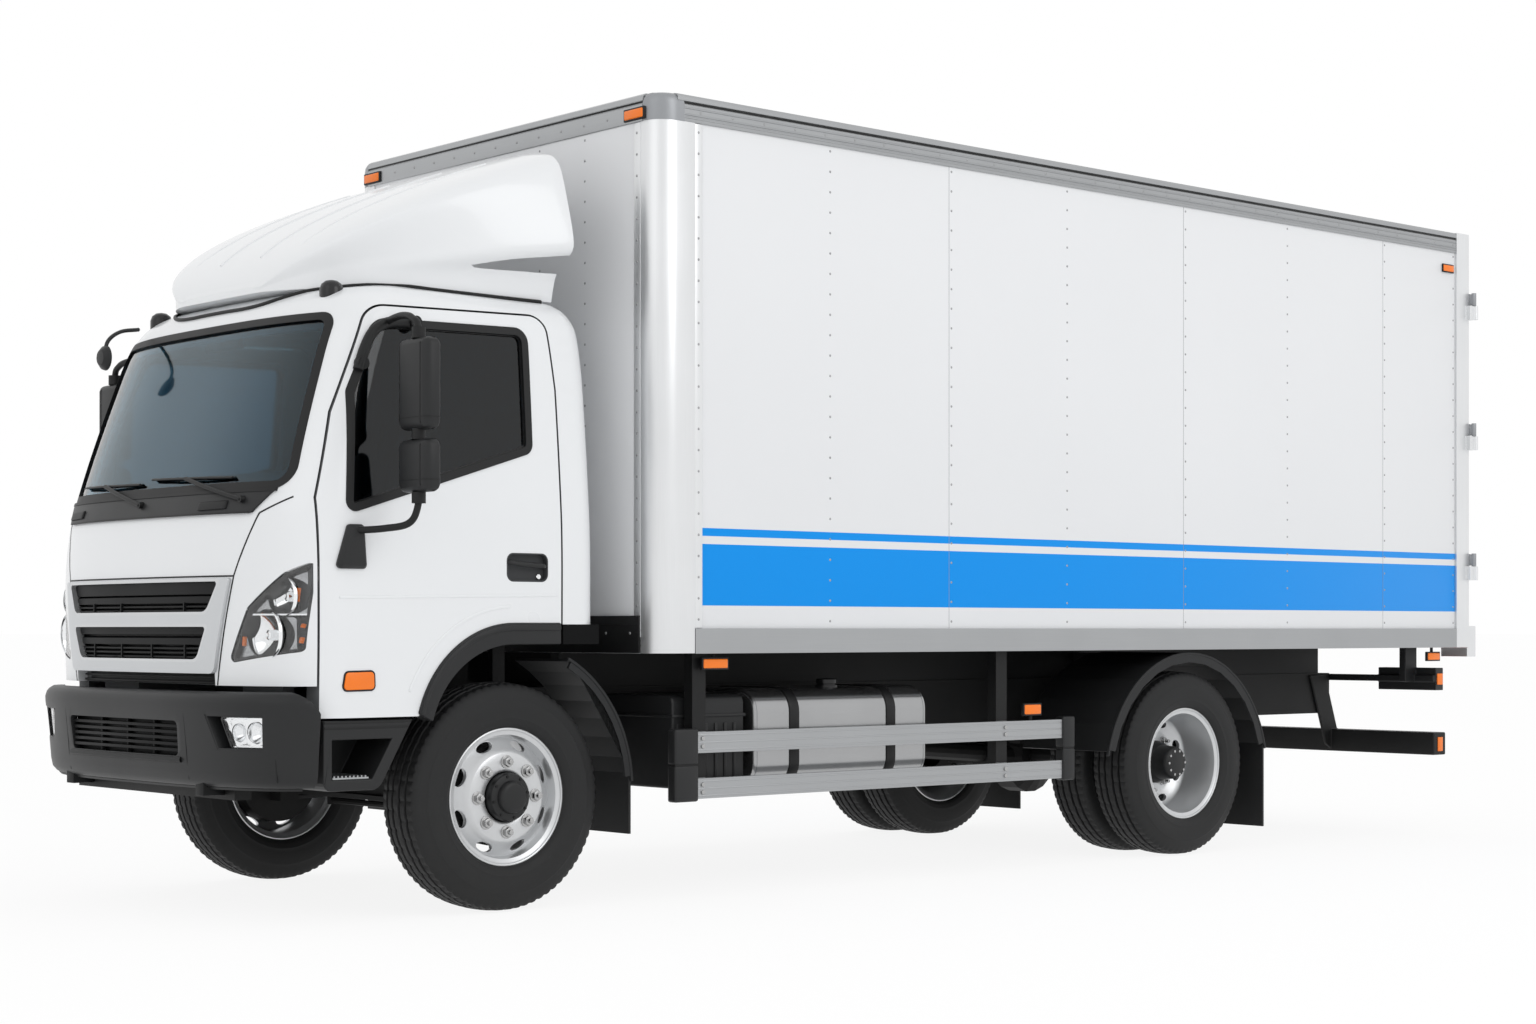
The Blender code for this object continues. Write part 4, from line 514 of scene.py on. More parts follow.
BUMPER = black("bumper_plastic", 0.015, 0.42, 0.0016, 0.00012, 0.12, 0.03, 0.3)
GLOSSY_BLACK = black("black_gloss", 0.01, 0.22, 0.003, 0.00001, 0.1, shine=0.4)
SEAL = black("rubber_seal", 0.008, 0.5, 0.002, 0.00006, shine=0.3)
CHASSIS = black("chassis_paint", 0.007, 0.5, 0.004, 0.00015, 0.2, 0.06)
CASTING = black("cast_iron_parts", 0.009, 0.6, 0.0035, 0.0004, 0.3, 0.08)
MUD_FLAP = black("flap_rubber", 0.008, 0.7, 0.003, 0.0001, dust=0.06)
MUDGUARD = black("mudguard_plastic", 0.016, 0.48, 0.0018, 0.0001, 0.12, 0.05)
RUBBER = black("tyre_rubber_black", 0.011, 0.6, 0.002, 0.00018, 0.16, 0.04, 0.3)
HUB = black("hub_black", 0.009, 0.42, 0.003, 0.00012, 0.2, shine=0.35)
LOUVRE = black("louvre_plastic", 0.0075, 0.5, 0.002, 0.00008, shine=0.15)
LINER = black("arch_liner_felt", 0.006, 0.8, 0.004, 0.0003, 0.2, 0.05, 0.1)
TRIM_GREY = black("cab_trim_plastic", 0.045, 0.6, 0.0022, 0.00012, 0.12, shine=0.3)
LINING = material("cab_lining", (0.13, 0.135, 0.14), 0.8, relief=0.0001, vary=0.08)
PLYWOOD = material("floor_plywood", (0.09, 0.062, 0.04), 0.6, streaks=("Y", 260.0), relief=0.0001, vary=0.3)

# %% [markdown]
# Metals differ in how they were worked: rails are extruded and streaked along their length, the tank is rolled
# sheet, castings are dull. Lenses are tinted plastic with a fine pattern.

# %% Metals and lenses
WHEEL = material("wheel_paint", (0.6, 0.61, 0.62), 0.32, 0.7, grain=(0.003, 0.2), relief=0.00003,
    vary=0.05, dust=0.04)
NUT = material("zinc_nut", (0.42, 0.42, 0.42), 0.25, 1.0, relief=0.00003)
PROFILE_Y = material("extruded_aluminium", (0.4, 0.41, 0.42), 0.36, 0.85, streaks=("Y", 900.0), relief=0.00003)
PROFILE_X = material("extruded_aluminium_across", (0.42, 0.43, 0.44), 0.36, 0.85, streaks=("X", 900.0),
    relief=0.00003)
PROFILE_Z = material("extruded_aluminium_upright", (0.78, 0.79, 0.8), 0.4, 0.8, streaks=("Z", 900.0), relief=0.00003)
CASTING_GREY = material("corner_casting_grey", (0.3, 0.31, 0.325), 0.38, 0.5, relief=0.00008, vary=0.08)
TANK = material("tank_aluminium", (0.41, 0.415, 0.42), 0.24, 0.95, streaks=("Y", 1400.0), relief=0.00004,
    vary=0.14, dust=0.04)
GRILLE_SILVER = material("grille_paint", (0.56, 0.575, 0.59), 0.3, 0.3, relief=0.00002, vary=0.03)
RIVET = material("rivet_steel", (0.34, 0.345, 0.35), 0.35, 0.8, relief=0.00002, vary=0.12)
CHROME = material("lamp_chrome", (0.86, 0.87, 0.88), 0.08, 1.0, grain=(0.01, 0.3), vary=0.02)
LAMP_SILVER = material("lamp_silver", (0.42, 0.43, 0.44), 0.22, 0.85, grain=(0.012, 0.05), relief=0.0006, vary=0.2)
AMBER = material("amber_lens", (0.9, 0.19, 0.004), 0.25, grain=(0.004, 0.3), relief=0.0004, vary=0.12)
RED_LENS = material("red_lens", (0.5, 0.01, 0.008), 0.2, grain=(0.004, 0.3), relief=0.0004, vary=0.12)
WHITE_LENS = material("white_lens", (0.75, 0.76, 0.77), 0.2, grain=(0.004, 0.3), relief=0.0004, vary=0.05)
MIRROR_GLASS = material("mirror_silver", (0.8, 0.83, 0.85), 0.03, 1.0, grain=(0.02, 0.3), vary=0.02)
SLOT_OF = {mat: slot for slot, finishes in (("black_plastic",
    (BUMPER, GLOSSY_BLACK, SEAL, LOUVRE, MUD_FLAP, MUDGUARD)), ("chassis_black", (CHASSIS, CASTING, HUB)),
    ("aluminium", (NUT, PROFILE_X, PROFILE_Y, PROFILE_Z, CASTING_GREY, TANK, PLYWOOD)),
    ("lamp_clear", (CHROME, LAMP_SILVER, AMBER, RED_LENS, WHITE_LENS, MIRROR_GLASS))) for mat in finishes}
print("materials", len(bpy.data.materials))

# %% [markdown]
# ## The cab's form
# A cab is pressed from a few large panels that share one smooth surface. That surface is described by its plan at ten
# heights: half the width, how far the nose reaches, where the nose's curve meets the straight side, and the back.
# Between them the values follow a curve that never overshoots. The shell, doors, glass and trim are all cut out of
# this form, at their own depth, so they line up as they do on the real truck.

# %% The form's outlines
LEVELS = (
    (0.757, 0.966, -1.062, -0.7, 0.41), (1.1, 0.97, -1.075, -0.7, 0.41), (1.3, 0.97, -1.07, -0.7, 0.41),
    (1.48, 0.966, -1.05, -0.69, 0.41), (1.6, 0.958, -1.01, -0.68, 0.41), (2.0, 0.922, -0.872, -0.58, 0.41),
    (2.24, 0.892, -0.775, -0.5, 0.398), (2.31, 0.865, -0.725, -0.46, 0.375), (2.355, 0.815, -0.655, -0.42, 0.335),
    (2.38, 0.72, -0.54, -0.35, 0.26),
)
CAB_LOW, CAB_HIGH, CORNER_R, NOSE_POWER = LEVELS[0][0], LEVELS[-1][0], 0.09, 2.8


def curve_through(xs, ys):
    """A function through the given points that rises and falls only where they do."""
    rises = [(b - a) / (d - c) for a, b, c, d in zip(ys, ys[1:], xs, xs[1:])]
    slopes = [rises[0]] + [2 * a * b / (a + b) if a * b > 0 else 0.0 for a, b in zip(rises, rises[1:])] + [rises[-1]]

    def value(x):
        i = max(0, min(len(rises) - 1, sum(x >= k for k in xs[1:-1])))
        h = xs[i + 1] - xs[i]
        t = max(0.0, min(1.0, (x - xs[i]) / h))
        low, high = ys[i] * (1 + 2 * t) + slopes[i] * h * t, ys[i + 1] * (3 - 2 * t) - slopes[i + 1] * h * (1 - t)
        return low * (1 - t) ** 2 + high * t ** 2
    return value


PLAN = [curve_through([level[0] for level in LEVELS], [level[k] for level in LEVELS]) for k in (1, 2, 3, 4)]


def cab_at(z):
    return [value(z) for value in PLAN]


def nose_y(x, z):
    """Where the front surface is, seen from the front."""
    half, nose, start, _ = cab_at(z)
    reach = min(1.0, abs(x) / half)
    return start - (start - nose) * (1 - reach ** NOSE_POWER) ** (1 / NOSE_POWER)


def side_x(y, z):
    """Where the side surface is, seen from the side."""
    half, nose, start, _ = cab_at(z)
    ahead = max(0.0, min(1.0, (start - y) / (start - nose)))
    return half * (1 - ahead ** NOSE_POWER) ** (1 / NOSE_POWER)

# %% [markdown]
# Rings at many heights, joined, give the form as a solid. One solid cut by a deeper one gives a sheet.

# %% The form as a solid at any depth
def cab_ring(z, inset, nose_steps=22):
    half, nose, start, rear = cab_at(z)
    half, nose, rear = half - inset, nose + inset, rear - inset
    right = []
    for k in range(nose_steps + 1):
        t = pi / 2 * k / nose_steps
        right.append((half * sin(t) ** (2 / NOSE_POWER), start - (start - nose) * cos(t) ** (2 / NOSE_POWER)))
    radius = max(0.03, CORNER_R - inset / 2)
    right += arc((half - radius, rear - radius), radius, 0, 90, 6)
    return [(x, y, z) for x, y in right + [(-x, y) for x, y in reversed(right[1:])]]


def cab_solid(inset=0.0, low=CAB_LOW, high=CAB_HIGH, rings=40):
    """The form moved in by inset, between two heights. The roof's round edge gets more rings."""
    heights = {low, high}
    for k in range(rings + 1):
        z = CAB_LOW + (CAB_HIGH - CAB_LOW) * (1 - (1 - k / rings) ** 1.5)
        if low < z < high:
            heights.add(z)
    heights |= {z for z in (2.31, 2.335, 2.355, 2.366, 2.374) if low < z < high}
    ordered = sorted(heights)
    kept = [z for z, after in zip(ordered, ordered[1:]) if after - z > 0.002] + [ordered[-1]]
    return loft([cab_ring(z, inset) for z in kept])


def layer(outer, inner, *tools):
    """What lies between two depths of the cab's form and inside all the tools. A depth comes with its two heights."""
    return within(cut(solid(cab_solid(*outer)), cab_solid(*inner)), *tools)

# %% [markdown]
# Booleans leave long thin faces, and those shade badly on a curved panel. So each point of a cut panel takes the
# direction of the form itself, which is known from its formula. Faces inside the cab keep a second material.

# %% Shading like the form
def form_normal(point):
    """The direction in which the form's surface faces near a point."""
    x, y, z = point
    half, _, start, rear = cab_at(z)
    if y > rear - 0.1 and abs(x) < half - CORNER_R:
        return Vector((0, 1, 0))
    slope = (cab_at(min(CAB_HIGH, z + 0.004))[0] - cab_at(z - 0.004)[0]) / (min(CAB_HIGH, z + 0.004) - z + 0.004)
    if y > rear - CORNER_R:
        return Vector((abs(x) - half + CORNER_R, y - rear + CORNER_R, 0)).normalized() * 1.0 if x > 0 else \
            Vector((-(abs(x) - half + CORNER_R), y - rear + CORNER_R, 0)).normalized()
    if y > start:
        return Vector((copysign(1, x), 0, -slope)).normalized()

    def level_set(px, py, pz):
        h, n, s, _ = cab_at(pz)
        return (abs(px) / h) ** NOSE_POWER + (max(0.0, (s - py) / (s - n))) ** NOSE_POWER
    e = 0.001
    top = min(CAB_HIGH, z + e)
    return Vector((level_set(x + e, y, z) - level_set(x - e, y, z), level_set(x, y + e, z) - level_set(x, y - e, z),
        (level_set(x, y, top) - level_set(x, y, z - e)) * 2 * e / (top - z + e))).normalized()


def depth_in_cab(point):
    x, y, z = point
    half, _, _, rear = cab_at(z)
    return min(half - abs(x), y - nose_y(x, z), rear - y, CAB_HIGH - z)


def polished(obj, lining=None):
    """Shades what lies along the cab's form exactly as that form, whatever was cut out of it. Faces inside the cab
    can take a second material."""
    mesh = obj.data
    mesh.shade_smooth()
    mesh.set_sharp_from_angle(angle=radians(30))
    normals = [Vector(corner.vector) for corner in mesh.corner_normals]
    for face in mesh.polygons:
        flat = face.normal
        for loop in face.loop_indices:
            point = mesh.vertices[mesh.loops[loop].vertex_index].co
            wanted = form_normal(point)
            if flat.dot(wanted) > 0.86 and flat.z < 0.995:
                normals[loop] = wanted
            elif flat.dot(wanted) < -0.86 and flat.z > -0.995:
                normals[loop] = -wanted
        if lining is not None:
            face.material_index = 1 if depth_in_cab(face.center) > 0.035 else 0
    mesh.normals_split_custom_set(normals)
    return obj

# %% [markdown]
# Joints, seals and creases run along the surface. A narrow strip is laid on it, point by point.

# %% Strips on the cab
def on_nose(path, width, lift=0.0008, depth=0.004, steps=10):
    """A narrow closed strip laid along (x, z) points on the cab's front."""
    return strip_on(path, width, lift, depth, steps, lambda a, b, out: Vector((a, nose_y(a, b) - out, b)))


def on_side(path, width, side, lift=0.0008, depth=0.004, steps=10):
    """The same along (y, z) points on the cab's side."""
    return strip_on(path, width, lift, depth, steps, lambda a, b, out: Vector((side * (side_x(a, b) + out), a, b)))


def strip_on(path, width, lift, depth, steps, place):
    fine = [Vector(a).lerp(Vector(b), k / steps) for a, b in zip(path, path[1:])
        for k in range(steps)] + [Vector(path[-1])]
    sections = []
    for i, point in enumerate(fine):
        along = (fine[min(i + 1, len(fine) - 1)] - fine[max(i - 1, 0)]).normalized()
        across = Vector((-along.y, along.x)) * width / 2
        a, b = point + across, point - across
        sections.append([place(a.x, a.y, lift), place(b.x, b.y, lift), place(b.x, b.y, -depth),
            place(a.x, a.y, -depth)])
    return loft(sections)


print("cab half widths", [round(cab_at(z)[0], 3) for z in (0.8, 1.5, 2.0, 2.3)])

# %% [markdown]
# ## Shell, doors and glass
# The shell is one steel body with openings for the windscreen, doors, wheel arches, grille and lamps, and a room
# inside with a raised floor over the engine. Its doors are cut from the same form with a shut gap of 8 mm. Paint is
# outside and a grey lining inside. The windscreen and the door windows are curved glass a few millimetres below the
# sheet metal, each in a rubber frame, and the glass has a printed black edge.

# %% Outlines on the cab
ARCH_EDGE = arc((0, 0.66), 0.44, 90, 167, 24)
DOOR_OUTLINE = ([(-0.84, 0.759), (ARCH_EDGE[-1][0], 0.759)] + list(reversed(ARCH_EDGE))
    + rounded([(0.222, 1.1), (0.225, 2.01), (0.2, 2.295), (-0.59, 2.275), (-0.76, 1.87), (-0.84, 1.555)],
    [0.0, 0.0, 0.07, 0.1, 0.0, 0.0], 8))
WINDOW_OUTLINE = rounded([(-0.735, 1.505), (0.095, 1.765), (0.105, 2.235), (-0.575, 2.222), (-0.7, 1.95)],
    [0.03, 0.04, 0.05, 0.08, 0.05], 8)
WINDSCREEN_OUTLINE = rounded([(-0.845, 1.6), (0.845, 1.6), (0.785, 2.245), (-0.785, 2.245)],
    [0.07, 0.07, 0.06, 0.06], 8)
ARCH_CUT = [(ARCH_EDGE[-1][0], 0.3)] + list(reversed(ARCH_EDGE)) + [(1.0, 1.1), (1.0, 0.3)]
POCKET = rounded([(-0.612, 1.268), (0.612, 1.268), (0.5, 0.95), (-0.5, 0.95)], 0.02)
LAMP_OUTLINE = rounded([(0.625, 0.955), (0.92, 1.0), (0.945, 1.33), (0.86, 1.285), (0.72, 1.16)],
    [0.02, 0.02, 0.015, 0.05, 0.05])
SHUT_GAP = 0.008


def side_cutter(outline, side, reach=0.7):
    return prism(outline, "X", side * reach, side * 1.3)

# %% [markdown]
# The shell is cut in one step with all its cutters. A door keeps what lies inside its outline, and then gets its
# window, its rubber and the handle's cup.

# %% Shell and doors
def make_shell():
    room = solid(cab_solid(0.07, 0.807, 2.335))
    cut(room, box((-1.2, -0.5, 0.5), (1.2, 1.0, 1.15)), box((-0.44, -1.3, 0.5), (0.44, 1.0, 1.15)),
            box((-1.2, -1.3, 0.5), (1.2, -0.8, 0.945)))
    pocket = solid(prism(POCKET, "Y", -1.3, -0.9))
    cut(pocket, cab_solid(0.04, 0.9, 1.35))
    cuts = [room, pocket, prism(ARCH_CUT, "X", -1.3, 1.3), box((-1.3, -1.3, 0.3), (1.3, -0.846, 0.875)),
            box((-0.548, -1.3, 0.3), (0.548, -1.0, 0.922)),
            box((-0.41, -0.93, 0.3), (0.41, 1.0, 1.09)), prism(WINDSCREEN_OUTLINE, "Y", -1.6, -0.4)]
    for side, _ in SIDES:
        cuts.append(side_cutter(grown(DOOR_OUTLINE, SHUT_GAP), side))
        cuts.append(prism(flipped(LAMP_OUTLINE, side), "Y", -1.3, -0.86))
    shell = cut(solid(cab_solid()), *cuts)
    arm = [(-1.072, 0.68), (-1.078, 0.66), (-1.066, 0.636), (-1.02, 0.632), (-0.78, 0.72), (-0.68, 0.777),
        (-0.84, 0.787), (-0.87, 0.757)]
    arms = [prism(arm, "X", side * 0.405, side * 0.445) for side, _ in SIDES]
    joined(shell, *arms)
    shell.data.materials.append(PAINT)
    shell.data.materials.append(LINING)
    polished(shell, LINING)
    finish(shell, "cab_shell_skin", "cab", None, ("cab_shell",), "cab_white")


def make_door(side, word):
    body = "door_" + word
    door = within(solid(cab_solid()), side_cutter(DOOR_OUTLINE, side))
    cut(door, cab_solid(0.07, 0.657, 2.36), side_cutter(WINDOW_OUTLINE, side, 0.6))
    # A shallow recess for the handle
    cup = rounded(rectangle(-0.035, 1.262, 0.16, 1.372), 0.03)
    cut(door, prism(cup, "X", side * 0.94, side * 1.3))
    door.data.materials.append(PAINT)
    door.data.materials.append(LINING)
    polished(door, LINING)
    finish(door, body + "_skin", body, None, ("door_" + word,), "cab_white")
    glass = layer((0.012, 1.4, 2.32), (0.017, 1.35, 2.34), side_cutter(grown(WINDOW_OUTLINE, -0.001), side, 0.6))
    finish(polished(glass), body + "_pane", body, DOOR_GLASS_PAINTED_SHADE, ("door_glass_" + word,), "tinted_glass")
    rubber = layer((-0.004, 1.4, 2.32), (0.022, 1.35, 2.34), side_cutter(grown(WINDOW_OUTLINE, 0.008), side, 0.6))
    cut(rubber, side_cutter(grown(WINDOW_OUTLINE, -0.022), side, 0.5))
    finish(polished(rubber), body + "_window_rubber", body, SEAL)
    # The lip that runs round inside the rubber, against the glass
    lip = layer((0.0045, 1.4, 2.32), (0.0115, 1.35, 2.34), side_cutter(grown(WINDOW_OUTLINE, -0.021), side, 0.6))
    cut(lip, side_cutter(grown(WINDOW_OUTLINE, -0.027), side, 0.5))
    finish(polished(lip), body + "_window_lip", body, GLOSSY_BLACK)

# %% [markdown]
# Tinted glass is a clear shader with a dark colour. A low reflection keeps it from mirroring the white studio.
# The door glass is far darker than the windscreen: that darkness is painted shade of the dim cab seen through it.

# %% Glass and the windscreen
def glass_material(name, colour):
    return material(name, colour, 0.02, grain=(0.5, 0.6), vary=0.05, Transmission_Weight=1.0, IOR=1.45,
        Specular_IOR_Level=0.22)


SCREEN_GLASS = glass_material("windscreen_glass", (0.2, 0.44, 0.58))
# Painted shade: the door glass is tinted much darker than the windscreen to stand for the shadowed cab behind it.
DOOR_GLASS_PAINTED_SHADE = glass_material("door_window_glass_painted_shade", (0.03, 0.062, 0.085))
CLEAR_LENS = glass_material("headlamp_lens", (0.97, 0.975, 0.98))


def make_windscreen():
    screen = layer((0.008, 1.55, 2.34), (0.014, 1.5, 2.37),
        prism(grown(WINDSCREEN_OUTLINE, -0.001), "Y", -1.6, -0.42))
    finish(polished(screen), "windscreen_pane", "cab", SCREEN_GLASS, ("windscreen",), "tinted_glass")
    rubber = layer((-0.004, 1.5, 2.32), (0.03, 1.45, 2.36), prism(grown(WINDSCREEN_OUTLINE, 0.01), "Y", -1.6, -0.42))
    cut(rubber, prism(grown(WINDSCREEN_OUTLINE, -0.02), "Y", -1.7, -0.3))
    finish(polished(rubber), "windscreen_rubber", "cab", SEAL)
    edge = layer((0.0145, 1.5, 2.32), (0.017, 1.45, 2.36), prism(grown(WINDSCREEN_OUTLINE, -0.019), "Y", -1.6, -0.42))
    inner = [(x, z + (0.012 if z < 1.9 else -0.02)) for x, z in grown(WINDSCREEN_OUTLINE, -0.04)]
    cut(edge, prism(inner, "Y", -1.7, -0.3))
    finish(polished(edge), "windscreen_printed_edge", "cab", GLOSSY_BLACK)


make_shell()
make_windscreen()
for side, word in SIDES:
    make_door(side, word)
print("cab pieces", [(name, count) for name, count in made])

# %% [markdown]
# ## Panel joints and small fittings on the cab
# The front flap ends in thin dark joints beside and above the grille. Each door has a soft crease, a handle in a
# cup and a lock. A side marker sits low on the door's front edge. The moulding over the wheel arch is black plastic
# in two parts, one on the door and one behind it.

# %% Joints, handles, markers and arch mouldings
joints = [on_nose([(side * x, z) for x, z in path], 0.006) for side, _ in SIDES
    for path in ([(0.745, 1.503), (0.652, 1.275)], [(0.652, 1.275), (0.572, 0.925), (0.562, 0.876)],
    [(0.745, 1.503), (0.86, 1.56)])]
joints.append(on_nose([(-0.652, 1.275), (0.652, 1.275)], 0.006, steps=40))
piece(joints, "front_panel_joints", "cab", SEAL)


def make_door_fittings(side, word):
    body = "door_" + word
    s = side
    crease = on_side([(-0.77, 1.196), (0.205, 1.212)], 0.01, s, 0.0022, 0.003, 24)
    flare = on_side([(y, z) for y, z in arc((0, 0.66), 0.508, 92, 158, 20)], 0.012, s, 0.0022, 0.003, 2)
    piece(gathered(crease, flare), body + "_creases", body, PAINT, slot="cab_white", bevel=0.0012)
    cup = rounded(rectangle(-0.035, 1.262, 0.16, 1.372), 0.03)
    tray = cut(solid(prism(grown(cup, -0.0005), "X", s * 0.941, s * 0.9705)),
        prism(grown(cup, -0.006), "X", s * 0.945, s * 1.1))
    finish(softened(tray, 0.001), body + "_handle_cup", body, TRIM_GREY, slot="black_plastic")
    grip = [(s * 0.957, -0.028, 1.338), (s * 0.972, -0.016, 1.336), (s * 0.976, 0.03, 1.33),
        (s * 0.976, 0.095, 1.326), (s * 0.972, 0.135, 1.324), (s * 0.957, 0.147, 1.322)]
    piece(swept(smooth_path(grip), 0.011, 14, 0.8), body + "_handle_grip", body, BUMPER)
    lock = turned([(s * 0.944, 0.0), (s * 0.944, 0.011), (s * 0.951, 0.011), (s * 0.953, 0.009), (s * 0.953, 0.0)],
                  (0, 0.128, 1.283), 24)
    slot_cut = box((s * 0.951, 0.1265, 1.276), (s * 0.96, 0.1295, 1.29))
    finish(cut(solid(lock), slot_cut), body + "_lock", body, CHROME)
    marker = rounded([(-0.755, 0.86), (-0.625, 0.862), (-0.628, 0.926), (-0.745, 0.924)], 0.014)
    shell = within(solid(cab_solid(-0.007, 0.8, 0.98)), side_cutter(marker, s))
    cut(shell, cab_solid(0.004, 0.76, 1.0))
    finish(softened(shell, 0.003), body + "_marker_lens", body, AMBER)
    base = within(solid(cab_solid(-0.003, 0.8, 0.98)), side_cutter(grown(marker, 0.006), s))
    cut(base, cab_solid(0.006, 0.76, 1.0))
    finish(base, body + "_marker_base", body, SEAL)
    outer, inner = arc((0, 0.66), 0.446, 90, 166, 30), arc((0, 0.638), 0.385, 90, 165, 30)
    outline = [(0.219, 1.106)] + outer + list(reversed(inner)) + [(0.219, 1.023)]
    trim = solid(prism(outline, "X", s * 0.905, s * 0.978))
    finish(softened(trim, 0.006, 3), body + "_arch_moulding", body, BUMPER)
    top, low = arc((0, 0.655), 0.443, 92, 165, 30), arc((0, 0.648), 0.428, 92, 165, 30)
    ridge = prism([(0.215, 1.098)] + top + list(reversed(low)) + [(0.215, 1.076)], "X", s * 0.97, s * 0.983)
    piece(ridge, body + "_arch_lip", body, BUMPER, bevel=0.003)


for side, word in SIDES:
    make_door_fittings(side, word)
    from_frame("arch_liner_" + word, LINER, 0.004)

# %% [markdown]
# ## Grille, cowl, wipers and lamps
# The grille is a silver-painted moulding with two wide openings. Its inner lip takes a brighter, more metallic silver
# as a painted highlight. Dark slats and a fine mesh lie behind it. The cowl carries the wipers and hides the joint to
# the windscreen. Each headlamp is a clear lens over a black housing with bowl reflectors, a bright divider and an
# amber indicator.

# %% Grille, slats and cowl
HOLES = ((1.266, 1.135, 0.604, 0.528), (1.1, 0.96, 0.538, 0.468))


def hole_outline(top, bottom, wide, narrow, more=0.0):
    return rounded(grown([(-wide, top), (wide, top), (narrow, bottom), (-narrow, bottom)], more),
        [0.01, 0.01, 0.045, 0.045])


grille = within(solid(cab_solid(-0.016, 0.88, 1.3)),
    prism(rounded([(-0.643, 1.268), (0.643, 1.268), (0.56, 0.918), (-0.56, 0.918)], [0.008, 0.008, 0.03, 0.03]),
    "Y", -1.3, -0.8))
cut(grille, cab_solid(-0.0003, 0.86, 1.32), *[prism(hole_outline(*hole), "Y", -1.3, -0.9) for hole in HOLES])
finish(polished(softened(grille, 0.004, 3, 40)), "grille_frame", "cab", GRILLE_SILVER, ("grille",), "grille_silver")

# The lips get the wheels' brighter, more metallic silver: a painted highlight along the openings' edges.
lips = []
for hole in HOLES:
    lip = within(solid(cab_solid(-0.0155, 0.88, 1.3)), prism(hole_outline(*hole, 0.001), "Y", -1.3, -0.8))
    cut(lip, cab_solid(0.01, 0.86, 1.32), prism(hole_outline(*hole, -0.01), "Y", -1.3, -0.7))
    lips.append(lip)
joined(lips[0], lips[1])
finish(polished(lips[0]), "grille_lips_painted_highlight", "cab", WHEEL, slot="grille_silver")

back = within(solid(cab_solid(0.028, 0.9, 1.35)), prism(grown(POCKET, -0.001), "Y", -1.3, -0.8))
cut(back, cab_solid(0.0395, 0.86, 1.4))
slats = []
for z, reach, thick in ((1.232, 0.575, 0.022), (1.19, 0.55, 0.012), (1.165, 0.535, 0.003), (1.15, 0.525, 0.003),
        (1.078, 0.515, 0.016), (1.036, 0.495, 0.012), (1.01, 0.48, 0.003), (0.994, 0.475, 0.003),
        (0.978, 0.465, 0.003)):
    line = [-reach + 2 * reach * k / 30 for k in range(31)]
    front, rear = [(x, nose_y(x, z) + 0.005, 0.0) for x in line], [(x, nose_y(x, z) + 0.03, 0.008)
        for x in reversed(line)]
    slats.append(loft([[(x, y, z + tilt + dz) for x, y, tilt in front + rear] for dz in (-thick, thick)]))
posts = [box((x - 0.004, nose_y(x, low), low), (x + 0.004, nose_y(x, low) + 0.03, high))
    for x in (-0.36, -0.12, 0.12, 0.36) for low, high in ((0.962, 1.024), (1.137, 1.18))]
joined(back, *slats, *posts)
finish(back, "grille_slats", "cab", LOUVRE, ("grille_louvres",), "black_plastic")
recess = [loft([[(x, nose_y(x, 0.9) + d, z) for x, d in [(-0.545 + 1.09 * k / 24, front) for k in range(25)]
    + [(0.545 - 1.09 * k / 24, front + 0.014) for k in range(25)]] for z in (low, high)])
    for low, high, front in ((0.878, 0.921, 0.045), (0.88, 0.888, 0.028), (0.9, 0.907, 0.03))]
piece(recess, "grille_lower_recess", "cab", LOUVRE, bevel=0.001)

cowl = within(solid(cab_solid(-0.01, 1.505, 1.585)), prism([(-0.7, 1.49), (0.7, 1.49), (0.8, 1.6), (-0.8, 1.6)],
    "Y", -1.3, -0.8))
cut(cowl, cab_solid(-0.0003, 1.45, 1.65))
finish(polished(softened(cowl, 0.003, 2, 40)), "cowl_panel", "cab", BUMPER, ("cowl",), "black_plastic")
strips = [on_nose([(-x, z), (x, z)], w, 0.0125, 0.004, 60)
          for x, z, w in ((0.795, 1.588, 0.012), (0.705, 1.506, 0.006))]
piece(strips, "cowl_seals", "cab", SEAL)
grips = []
for x in (-0.62, 0.5):
    grips.append(on_nose([(x - 0.085, 1.535), (x + 0.085, 1.538)], 0.032, 0.018, 0.02, 8))
piece(grips, "cowl_handles", "cab", SEAL, bevel=0.006, segments=3)

# %% [markdown]
# Two wipers lie parallel on the glass, parked to the same side. Each is a flat arm, a bent link and a long blade.

# %% Wipers
def make_wiper(name, pivot, blade_from, blade_to):
    """An arm on its pivot, a bent link, and a blade that follows the glass."""
    def at(x, z, out):
        return Vector((x, nose_y(x, z) - out, z))
    parts = [swept([at(*pivot, -0.005), at(*pivot, 0.026)], 0.013, 16)]
    middle = (Vector(blade_from) + Vector(blade_to)) / 2
    arm = [at(pivot[0] + (middle.x - pivot[0]) * t, pivot[1] + (middle.y - pivot[1]) * t, 0.022 + 0.006 * sin(pi * t))
           for t in (0, 0.15, 0.35, 0.6, 0.85, 1.0)]
    parts.append(swept(smooth_path(arm, 4), 0.0085, 10, 0.7))
    blade = [at(blade_from[0] + (blade_to[0] - blade_from[0]) * k / 14,
        blade_from[1] + (blade_to[1] - blade_from[1]) * k / 14, 0.006 + 0.009 * sin(pi * k / 14))
        for k in range(15)]
    parts.append(swept(blade, 0.0055, 8, 0.6))
    rubber = [at(blade_from[0] + (blade_to[0] - blade_from[0]) * k / 14,
        blade_from[1] + (blade_to[1] - blade_from[1]) * k / 14, -0.004) for k in range(15)]
    parts.append(swept(rubber, 0.005, 6, 0.5))
    piece(parts, name, "cab", SEAL)


make_wiper("wiper_right", (-0.02, 1.556), (-0.66, 1.65), (-0.1, 1.64))
make_wiper("wiper_left", (0.66, 1.556), (-0.01, 1.655), (0.56, 1.64))

# %% [markdown]
# A headlamp is a clear lens over a black case. Two bowls, a silver mask and small amber lamps sit inside, each at its
# own depth below the cab's form.

